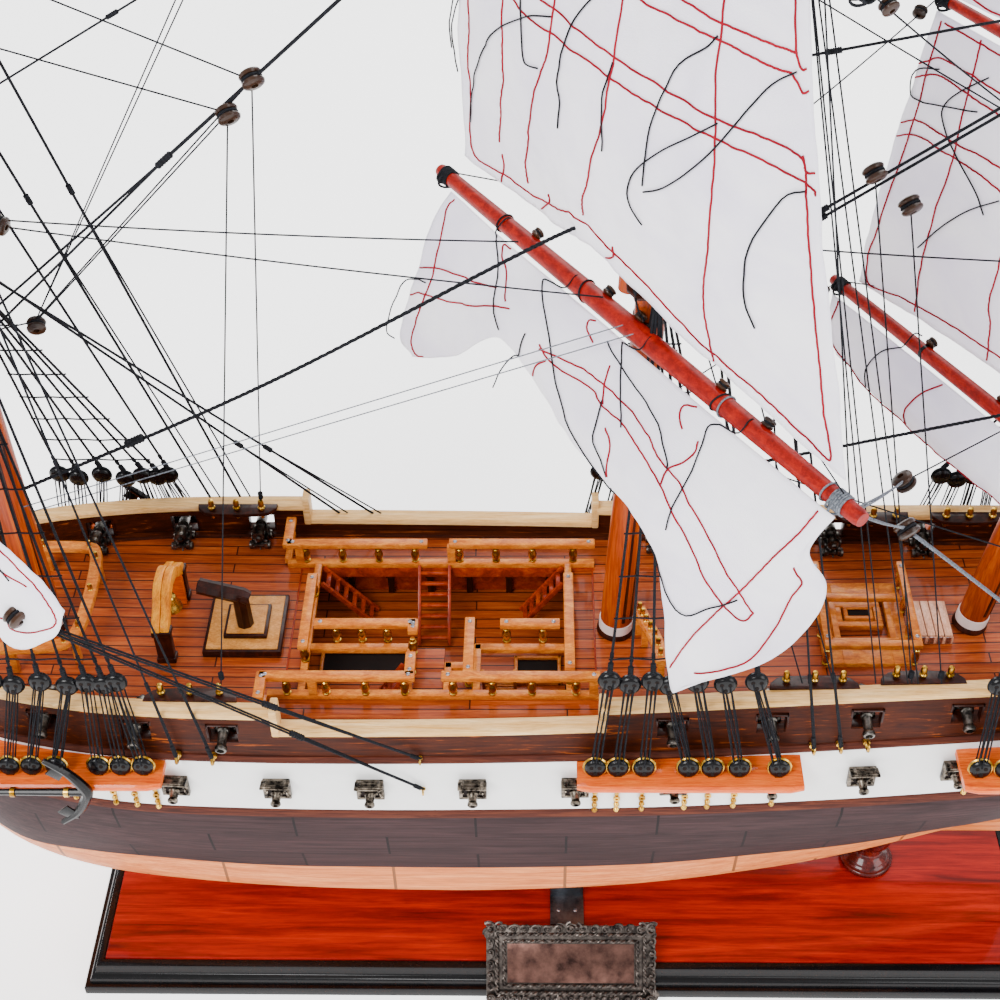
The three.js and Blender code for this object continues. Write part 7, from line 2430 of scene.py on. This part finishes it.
def build_stays():
    """The stays between the masts and to the bowsprit, with their seizings."""
    lines, knots = [], bmesh.new()
    topsail_foot = Vector((-4.4, 10.5, 416.4))
    masthead = Vector((27, 13, 424))
    main = [Vector((-240.2, 0, 292)), Vector((-128, 5, 346.2)), topsail_foot, masthead]
    lines += laid_rope(main, half_thick("stay"))
    seize(knots, main[0].lerp(main[1], 0.47), main[1] - main[0], 2.1, 9)
    mizzen = [Vector((35.4, 0, 294.3)), on_mast("mizzen", 340)]
    lines += laid_rope(mizzen, half_thick("stay") * 0.9)
    seize(knots, mizzen[0].lerp(mizzen[1], 0.12), mizzen[1] - mizzen[0], 1.9, 8)
    for z, ahead, end in ((414, 0, (-404, 0, 272)), (541, 0, (-428, 0, 261)), (543, 0, (-505, 0, 276))):
        start = on_mast("fore", z, 0, ahead)
        foot = Vector((end[0], 0, bowsprit_height(end[0]) + (4.5 if end[0] < -500 else 6)))
        lines += laid_rope([foot, start], half_thick("stay") * 0.75)
        seize(knots, foot.lerp(start, 0.1), start - foot, 1.5, 7)
    for a, b, thick in (
        (("fore", 459), ("main", 622), 0.42),
        (("main", 388), ("mizzen", 522), 0.62), (("main", 384), ("mizzen", 519), 0.62),
        (("main", 486), ("mizzen", 523), 0.55),
        (("fore", 705), ("main", 760), 0.3), (("main", 700), ("mizzen", 630), 0.3),
    ):
        a, b = on_mast(*a), on_mast(*b)
        lines.append(([a, b], thick))
        seize(knots, a.lerp(b, 0.34), b - a, thick * 2.3, 5)
    fork, head = on_mast("fore", 372).lerp(on_mast("main", 614), 0.35), on_mast("main", 614)
    lines.append(([fork, head], 0.75))
    seize(knots, fork, head - fork, 1.5, 8)
    for z in (375, 366):
        lines.append(([on_mast("fore", z), fork], 0.55))
    for x, z in ((-556, 284), (-470, 262)):
        lines.append(([Vector((-330, 0, 168)), Vector((-432, 0, 205 if x < -500 else 222)), Vector((x, 0, z))], 0.6))
    lines.append(([Vector((-432, 0, 244)), Vector((-434, 0, 205))], 1.2))
    for side in SIDES.values():
        lines.append(([Vector((-330, side * 12, 200)), Vector((-430, side * 2, 243))], 0.6))
    thread_piece("stays", lines, "rope_black", 6)
    finished("stay_seizings", knots, ["rope_black"], recalc=False)


def hang_block(bm, at, scale=1.0, turn=0.0, lean=0.0):
    place = Matrix.Translation(at) @ Matrix.Rotation(turn, 4, "Z") @ Matrix.Rotation(lean, 4, "X")
    stamp(bm, block_form(), place @ Matrix.Scale(scale, 4))


def build_running_rigging():
    """Halyards down to the pins, braces and lifts of the yards, and their blocks."""
    black, grey, blocks, knots = [], [], bmesh.new(), bmesh.new()

    def run(points, thick=None, colour=black, sag=0.0):
        thick = thick or half_thick("line")
        colour.append((sagging(points[0], points[1], sag, 10) if sag else [Vector(p) for p in points], thick))

    # Lines that hang from blocks on the stays down to the pins
    for block, pin in (
        ((-125.6, -1, 476), (-153.6, -57, 226)), ((-115.5, 1, 489), (-151, 62, 227)),
        ((111.7, -1, 450), (150.5, -56, 227)), ((127, -1, 436), (163.5, -56, 227)),
    ):
        block, pin = Vector(block), Vector(pin)
        hang_block(blocks, block, 1.35, 0.5, 0.6)
        run([block, pin])
        seize(knots, pin.lerp(block, 0.02), (0, 0, 1), 1.3, 4)
    # From the pins behind the main topsail up to the pole, and from yard to yard along the sail's edge
    for x, z in ((134.5, 762), (138, 755), (148.5, 738), (153, 748)):
        run([(x, -57, 228), on_mast("main", z)], half_thick("line") * 0.95, black, 2)
    run(
        [yard_point("main_yard", 0.93, 4, -2), yard_point("main_topsail_yard", 0.8, -2, -3)],
        half_thick("line") * 0.95
    )
    run([(-125.6, 0, 476), on_mast("fore", 520)])
    run([(-115.5, 0, 489), on_mast("fore", 556)])
    run([(-125.6, 0, 476), (-216, -1, 383)])
    run([(-115.5, 0, 489), (-216, 1, 383)])
    for share in (0.445, 0.46):
        run([(-216, 0, 383), on_mast("fore", 459).lerp(on_mast("main", 622), share)], half_thick("line") * 0.9)
    hang_block(blocks, (-216, 0, 381), 1.2, 0.2, 0.3)
    run([(-216, 0, 383), on_mast("fore", 375)])
    # From the fore mast to the main yard
    hang_block(blocks, (-219, -2, 430), 1.2, 1.2, 0.2)
    run([(-219, 0, 430), on_mast("fore", 428)], 0.5)
    run([(-219, 0, 431), (-20.7, 6, 416)], None, black, 1.5)
    run([(-219, 0, 428), yard_point("main_yard", -0.08, 6, 2)], half_thick("line"), black, 1.5)
    low = Vector((-243, -2, 284))
    for k, y in enumerate((-1, 1.5)):
        run([low + Vector((0, y * 2, -8 * k)), yard_point("main_yard", 0.04 + 0.05 * k, 3.4, 4.4)], 0.26, grey)
    # Braces and lifts: yard arm, and where its rope is led on the next mast
    for name, led, z, slack in (
        ("fore_topgallant_yard", "main", 610, 3),
        ("main_topsail_yard", "mizzen", 440, 3), ("main_topgallant_yard", "mizzen", 560, 3),
        ("crossjack_yard", "main", 330, 2), ("mizzen_topsail_yard", "main", 425, 3),
        ("mizzen_topgallant_yard", "main", 560, 3),
    ):
        for side in SIDES.values():
            arm = yard_point(name, side * 0.975, 1)
            end = on_mast(led, z, -side * 5)
            run([arm, end], half_thick("line") * 0.95, black, slack)
            hang_block(blocks, arm.lerp(end, 0.08), 0.9, 0.5 * side, 0.4)
    for name, yard in YARDS.items():
        mast = MASTS[yard[0]]
        head = on_mast(yard[0], min(yard[1] + yard[2] * 0.42, mast["truck"] - 8))
        if yard[1] < mast["top"]:
            head = on_mast(yard[0], mast["cap"] - 2)
        for side in SIDES.values():
            run([yard_point(name, side * 0.96, 2), head + Vector((0, -side * 3, 0))], half_thick("line") * 0.9)
    # Main brace at the port yard arm, with its thick grey fall
    arm = yard_point("main_yard", 0.965, 0.5)
    outer, upper = Vector((125, -85, 348)), Vector((129.5, -55, 345))
    hang_block(blocks, outer, 1.4, 0.6, 0.5)
    hang_block(blocks, upper, 1.35, 1.3, 0.9)
    for start, end in ((arm, outer), (arm + UP, upper)):
        grey.append((sagging(start, end, 0.8, 8), 0.42))
        grey.append((sagging(start + Vector((0.6, -0.9, 0)), end + Vector((0, 0, 1)), 1.6, 8), 0.42))
    fall = Vector((216, -60, 251))
    for dy in (-0.6, 0.6):
        grey += laid_rope([outer + Vector((3, dy, -3)), fall + Vector((0, dy, 0)), Vector((262, -54, 231))], 0.52, 4)
    run([upper, on_mast("mizzen", 352, -6)], half_thick("line"))
    for x, z in ((102.5, 455), (116, 505)):
        run([(x, -57, 228), on_mast("main", z, 0, -4)])
    # Fore course sheets to the eyebolts on the side
    clew = yard_point("fore_yard", 0.78, -76, -4)
    hang_block(blocks, clew, 1.5, 0.9, 0.4)
    for x, z, share in ((-66, 195, 0.6), (-65.5, 175, 0.66)):
        eye = Vector((x, PORT * (breadth(x, z) + 2.6), z + 1.5))
        for k in (-0.7, 0.7):
            black.append(([clew + Vector((0, k, 0)), clew.lerp(eye, share) + Vector((0, k, 0)), eye], 0.5))
        black.append(([clew.lerp(eye, share), eye + AFT * 0.8], 0.5))
        seize(knots, clew.lerp(eye, share), eye - clew, 1.6, 7)
        seize(knots, clew.lerp(eye, 0.985), eye - clew, 1.1, 4)
    # Lashings round the yard arms, and turns of thread along the main yard
    for name, yard in YARDS.items():
        for s, thick in ((-0.972, 0.55), (0.9 if name == "main_yard" else 0.962, 0.5)):
            r = yard_radius(name, s) + thick * 0.6
            colour = grey if name == "main_yard" and s > 0 else black
            colour.append(ring_round(yard_point(name, s), yard_along(yard), r, thick, 16, 6, 1.05))
            colour.append(ring_round(yard_point(name, s), yard_along(yard), r + 0.5, thick, 16, 2, 2.4, 0.5))
    for s, colour, lean in (
        (-0.62, black, 0.1), (-0.18, black, -0.25), (0.44, black, 0.3), (0.465, grey, 0), (0.872, grey, 0.1)
    ):
        r = yard_radius("main_yard", s) + 0.35
        place, along = yard_point("main_yard", s), yard_along(YARDS["main_yard"])
        colour.append(ring_round(place, along, r, 0.42, 20, 1.1, 0.4, lean))
    thread_piece("running_lines", black, "rope_black", 6)
    thread_piece("grey_lines", grey, "rope_grey", 6)
    finished("rigging_blocks", blocks, ["block_brown", "rope_black"], recalc=False)
    finished("rigging_knots", knots, ["rope_black"], recalc=False)


def bowsprit_height(x):
    """Height of the bowsprit's middle, or of the jibboom's beyond the cap."""
    a, b = (BOWSPRIT_HEEL, BOWSPRIT_CAP) if x > BOWSPRIT_CAP.x else (BOWSPRIT_CAP, JIBBOOM_END)
    return mix(a.z, b.z, (x - a.x) / (b.x - a.x))


# Camera, light and floor

CAMERA_PLACE = Vector((-0.012666, -0.524541, 0.767010))
CAMERA_AXES = (
    (0.99970403, 0.01729493, -0.01710982), (0.00089127, 0.67678351, 0.73618156), (0.02431185, -0.73597892, 0.67656778)
)
CAMERA_LENS = 58.014
WORLD_LIGHT = 1.0
FLOOR_GLOW = 1.7
LAMPS = [
    ("key_light", (-1.2, -1.6, 2.2), 1.2, 85),
    ("fill_light", (1.9, -1.2, 1.4), 1.4, 34),
    ("back_light", (0.3, 2.0, 1.8), 1.6, 40),
]


def build_stage():
    scene = bpy.context.scene
    camera = bpy.data.objects.new("camera", bpy.data.cameras.new("camera"))
    camera.data.sensor_width = 36
    camera.data.lens = scene.ship_stage.lens
    camera.data.clip_start, camera.data.clip_end = 0.02, 50
    scene.collection.objects.link(camera)
    camera.matrix_world = Matrix.Translation(CAMERA_PLACE) @ Matrix(CAMERA_AXES).transposed().to_4x4()
    scene.camera = camera

    bm = bmesh.new()
    bmesh.ops.create_grid(bm, x_segments=1, y_segments=1, size=6)
    mesh = bpy.data.meshes.new("floor")
    bm.to_mesh(mesh)
    bm.free()
    floor = bpy.data.objects.new("floor", mesh)
    floor.location.z = -0.0004
    scene.collection.objects.link(floor)
    pale = Coat("floor_pale", 0.9)
    cloud = pale.noise(pale.place((0.002, 0.002, 0.002)), detail=2)
    pale.colour(pale.ramp(cloud, (0.3, (0.9, 0.9, 0.9)), (0.7, (0.94, 0.94, 0.94))))
    pale.shader.inputs["Emission Color"].default_value = (1, 1, 1, 1)
    pale.shader.inputs["Emission Strength"].default_value = scene.ship_stage.floor
    mesh.materials.append(pale.made)

    world = bpy.data.worlds.new("studio")
    world.use_nodes = True
    world.node_tree.nodes["Background"].inputs["Color"].default_value = (1, 1, 1, 1)
    world.node_tree.nodes["Background"].inputs["Strength"].default_value = scene.ship_stage.sky
    scene.world = world
    for name, place, size, power in LAMPS:
        lamp = bpy.data.lights.new(name, "AREA")
        lamp.size, lamp.energy = size, power * scene.ship_stage.lamps
        holder = bpy.data.objects.new(name, lamp)
        scene.collection.objects.link(holder)
        holder.location = place
        holder.rotation_mode = "QUATERNION"
        holder.rotation_quaternion = (Vector((0, 0, 0.25)) - Vector(place)).to_track_quat("-Z", "Y")


# Settings, operators and panel


def rope_size(name, what, thick):
    """A setting for a thickness, with its default in millimetres."""
    return bpy.props.FloatProperty(
        name=name, description="Thickness of " + what, default=thick * MM, min=0.1 * MM, max=4 * MM,
        unit="LENGTH", precision=5,
    )


def main_colour(name, what, code):
    """A setting for a colour, with its default as an sRGB code."""
    return bpy.props.FloatVectorProperty(
        name=name, description=what, default=shade(code), min=0, max=1, subtype="COLOR"
    )


class ShipSizes(bpy.types.PropertyGroup):
    """Thickness of the ropes and the cloth."""

    shroud: rope_size("Shroud", "the shrouds", 1.24)
    ratline: rope_size("Ratline", "the ratlines", 0.8)
    lanyard: rope_size("Lanyard", "the lanyards", 0.72)
    line: rope_size("Line", "the light lines", 0.68)
    backstay: rope_size("Backstay", "the backstays", 1.24)
    stay: rope_size("Stay", "the main stay", 1.7)
    sail_thread: rope_size("Sail stitch", "the stitches on the sails", 0.8)
    reef_thread: rope_size("Reef thread", "the reef threads", 0.68)
    cloth: rope_size("Cloth", "the sailcloth", 0.45)


class ShipColours(bpy.types.PropertyGroup):
    """Main colours. The lighter and darker grain of a wood follows its own."""

    hull_plum: main_colour("Hull planks", "Planks under the wale", WOODS["hull_plum"][1])
    bottom_pale: main_colour("Bottom planks", "Planks under the waterline", WOODS["bottom_pale"][1])
    rosewood: main_colour("Bulwarks", "Dark wood of the bulwarks", WOODS["rosewood"][1])
    maple: main_colour("Cap rails", "Pale wood of the cap rails", WOODS["maple"][1])
    deck_mahogany: main_colour("Decks", "Planks of the decks", WOODS["deck_mahogany"][1])
    mast_wood: main_colour("Masts", "Varnished masts", WOODS["mast_wood"][1])
    yard_red: main_colour("Yards", "Red paint of the yards", WOODS["yard_red"][1])
    channel_wood: main_colour("Channels", "Orange wood of the channels", WOODS["channel_wood"][1])
    board_red: main_colour("Base board", "Red wood of the base board", WOODS["board_red"][1])
    band_white: main_colour("White band", "Painted band with the gun ports", PAINTS["band_white"])
    stitch_crimson: main_colour("Stitches", "Stitches on the sails", PAINTS["stitch_crimson"])


class ShipStage(bpy.types.PropertyGroup):
    """Light and camera."""

    sky: bpy.props.FloatProperty(
        name="Sky", description="Strength of the soft light all round", default=WORLD_LIGHT, min=0
    )
    floor: bpy.props.FloatProperty(name="Floor", description="Glow of the pale floor", default=FLOOR_GLOW, min=0)
    lamps: bpy.props.FloatProperty(
        name="Lamps", description="Strength of the lamps against their usual", default=1, min=0, subtype="FACTOR"
    )
    lens: bpy.props.FloatProperty(
        name="Lens", description="Focal length of the camera", default=CAMERA_LENS, min=10, unit="CAMERA"
    )


class BuildHull(bpy.types.Operator):
    """Hull sides, bottom and white band."""

    bl_idname = "ship.build_hull"
    bl_label = "Hull"

    def execute(self, context):
        build_hull()
        return {"FINISHED"}


class BuildBulwarks(bpy.types.Operator):
    """Walls round the upper deck with their ports."""

    bl_idname = "ship.build_bulwarks"
    bl_label = "Bulwarks"

    def execute(self, context):
        build_bulwarks()
        return {"FINISHED"}


class BuildCapRails(bpy.types.Operator):
    """Maple rails on top of the bulwarks."""

    bl_idname = "ship.build_cap_rails"
    bl_label = "Cap rails"

    def execute(self, context):
        build_cap_rails()
        return {"FINISHED"}


class BuildDecks(bpy.types.Operator):
    """Planked upper deck and gun deck."""

    bl_idname = "ship.build_decks"
    bl_label = "Decks"

    def execute(self, context):
        build_decks()
        return {"FINISHED"}


class BuildWaist(bpy.types.Operator):
    """Rails, ladders and gangways round the open waist."""

    bl_idname = "ship.build_waist"
    bl_label = "Waist"

    def execute(self, context):
        build_waist()
        return {"FINISHED"}


class BuildBelfry(bpy.types.Operator):
    """Arched belfry and the bell that swings in it."""

    bl_idname = "ship.build_belfry"
    bl_label = "Belfry and bell"

    def execute(self, context):
        build_belfry()
        return {"FINISHED"}


class BuildGalley(bpy.types.Operator):
    """Bent galley funnel on its stepped base."""

    bl_idname = "ship.build_galley"
    bl_label = "Galley funnel"

    def execute(self, context):
        build_galley()
        return {"FINISHED"}


class BuildQuarterdeck(bpy.types.Operator):
    """Hatch rail, skylight, capstan and steering wheel."""

    bl_idname = "ship.build_quarterdeck"
    bl_label = "Quarterdeck fittings"

    def execute(self, context):
        build_quarterdeck()
        return {"FINISHED"}


class BuildDeckGuns(bpy.types.Operator):
    """Guns along the bulwarks, with their barrels through the ports."""

    bl_idname = "ship.build_deck_guns"
    bl_label = "Deck guns"

    def execute(self, context):
        build_deck_guns()
        return {"FINISHED"}


class BuildPinRacks(bpy.types.Operator):
    """Racks and fife rails with their brass pins."""

    bl_idname = "ship.build_pin_racks"
    bl_label = "Pin racks"

    def execute(self, context):
        build_pin_racks()
        return {"FINISHED"}


class BuildPortGuns(bpy.types.Operator):
    """Cast gun ports along the white band."""

    bl_idname = "ship.build_port_guns"
    bl_label = "Gun ports"

    def execute(self, context):
        build_port_guns()
        return {"FINISHED"}


class BuildChannels(bpy.types.Operator):
    """Channels on the ship's sides with deadeyes and chain plates."""

    bl_idname = "ship.build_channels"
    bl_label = "Channels and deadeyes"

    def execute(self, context):
        build_channels()
        return {"FINISHED"}


class BuildEyebolts(bpy.types.Operator):
    """Brass eyebolts on the ship's sides."""

    bl_idname = "ship.build_eyebolts"
    bl_label = "Eyebolts"

    def execute(self, context):
        build_eyebolts()
        return {"FINISHED"}


class BuildAnchors(bpy.types.Operator):
    """Two black anchors at the bow."""

    bl_idname = "ship.build_anchors"
    bl_label = "Anchors"

    def execute(self, context):
        build_anchors()
        return {"FINISHED"}


class BuildBow(bpy.types.Operator):
    """Bowsprit, head and catheads."""

    bl_idname = "ship.build_bow"
    bl_label = "Bow"

    def execute(self, context):
        build_bow()
        return {"FINISHED"}


class BuildStern(bpy.types.Operator):
    """Galleries, stern windows and the rudder that turns."""

    bl_idname = "ship.build_stern"
    bl_label = "Stern and rudder"

    def execute(self, context):
        build_stern()
        return {"FINISHED"}


class BuildBase(bpy.types.Operator):
    """Base board with its mouldings, pedestals and bracket."""

    bl_idname = "ship.build_base"
    bl_label = "Base"

    def execute(self, context):
        build_base()
        return {"FINISHED"}


class BuildPlate(bpy.types.Operator):
    """Cast plate with its ornate frame, left blank."""

    bl_idname = "ship.build_plate"
    bl_label = "Plate"

    def execute(self, context):
        build_plate()
        return {"FINISHED"}


class BuildMasts(bpy.types.Operator):
    """Masts, topmasts, tops and caps."""

    bl_idname = "ship.build_masts"
    bl_label = "Masts"

    def execute(self, context):
        build_masts()
        return {"FINISHED"}


class BuildYards(bpy.types.Operator):
    """Square yards and the blocks on them."""

    bl_idname = "ship.build_yards"
    bl_label = "Yards"

    def execute(self, context):
        build_yards()
        return {"FINISHED"}


class BuildSpankerSpars(bpy.types.Operator):
    """Gaff and boom of the spanker."""

    bl_idname = "ship.build_spanker_spars"
    bl_label = "Gaff and boom"

    def execute(self, context):
        build_spanker_spars()
        return {"FINISHED"}


class BuildSails(bpy.types.Operator):
    """Cloth of every sail with its stitches and reef threads."""

    bl_idname = "ship.build_sails"
    bl_label = "Sails"

    def execute(self, context):
        build_sails()
        return {"FINISHED"}


class BuildShrouds(bpy.types.Operator):
    """Shrouds, ratlines and lanyards on both sides."""

    bl_idname = "ship.build_shrouds"
    bl_label = "Shrouds"

    def execute(self, context):
        build_shrouds()
        return {"FINISHED"}


class BuildBackstays(bpy.types.Operator):
    """Backstays and the lines to the rail."""

    bl_idname = "ship.build_backstays"
    bl_label = "Backstays"

    def execute(self, context):
        build_backstays()
        return {"FINISHED"}


class BuildStays(bpy.types.Operator):
    """Laid stays between the masts and to the bowsprit."""

    bl_idname = "ship.build_stays"
    bl_label = "Stays"

    def execute(self, context):
        build_stays()
        return {"FINISHED"}


class BuildRunningRigging(bpy.types.Operator):
    """Halyards, braces, lifts, sheets and their blocks."""

    bl_idname = "ship.build_running_rigging"
    bl_label = "Running rigging"

    def execute(self, context):
        build_running_rigging()
        return {"FINISHED"}


class BuildStage(bpy.types.Operator):
    """Floor, light and camera."""

    bl_idname = "ship.build_stage"
    bl_label = "Stage"

    def execute(self, context):
        build_stage()
        return {"FINISHED"}


OPERATORS = [
    BuildHull, BuildBulwarks, BuildCapRails, BuildDecks, BuildWaist, BuildBelfry, BuildGalley,
    BuildQuarterdeck, BuildDeckGuns, BuildPinRacks, BuildPortGuns, BuildChannels, BuildEyebolts,
    BuildAnchors, BuildBow, BuildStern, BuildBase, BuildPlate, BuildMasts, BuildYards, BuildSpankerSpars,
    BuildSails, BuildShrouds, BuildBackstays, BuildStays, BuildRunningRigging, BuildStage,
]


class ShipPanel(bpy.types.Panel):
    """Lists the settings and the operators."""

    bl_idname = "SHIP_PT_build"
    bl_label = "Ship"
    bl_space_type = "VIEW_3D"
    bl_region_type = "UI"
    bl_category = "Ship"

    def draw(self, context):
        for group in GROUPS:
            box = self.layout.box()
            for name in GROUPS[group].__annotations__:
                box.prop(getattr(context.scene, group), name)
        for operator in OPERATORS:
            self.layout.operator(operator.bl_idname)


GROUPS = {"ship_sizes": ShipSizes, "ship_colours": ShipColours, "ship_stage": ShipStage}


def register():
    for made in (*GROUPS.values(), *OPERATORS, ShipPanel):
        bpy.utils.register_class(made)
    for name, group in GROUPS.items():
        setattr(bpy.types.Scene, name, bpy.props.PointerProperty(type=group))


def unregister():
    for name in GROUPS:
        delattr(bpy.types.Scene, name)
    for made in reversed((*GROUPS.values(), *OPERATORS, ShipPanel)):
        bpy.utils.unregister_class(made)


def main():
    register()
    for operator in OPERATORS:
        group, name = operator.bl_idname.split(".")
        getattr(getattr(bpy.ops, group), name)()
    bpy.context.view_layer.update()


if __name__ == "__main__":
    main()
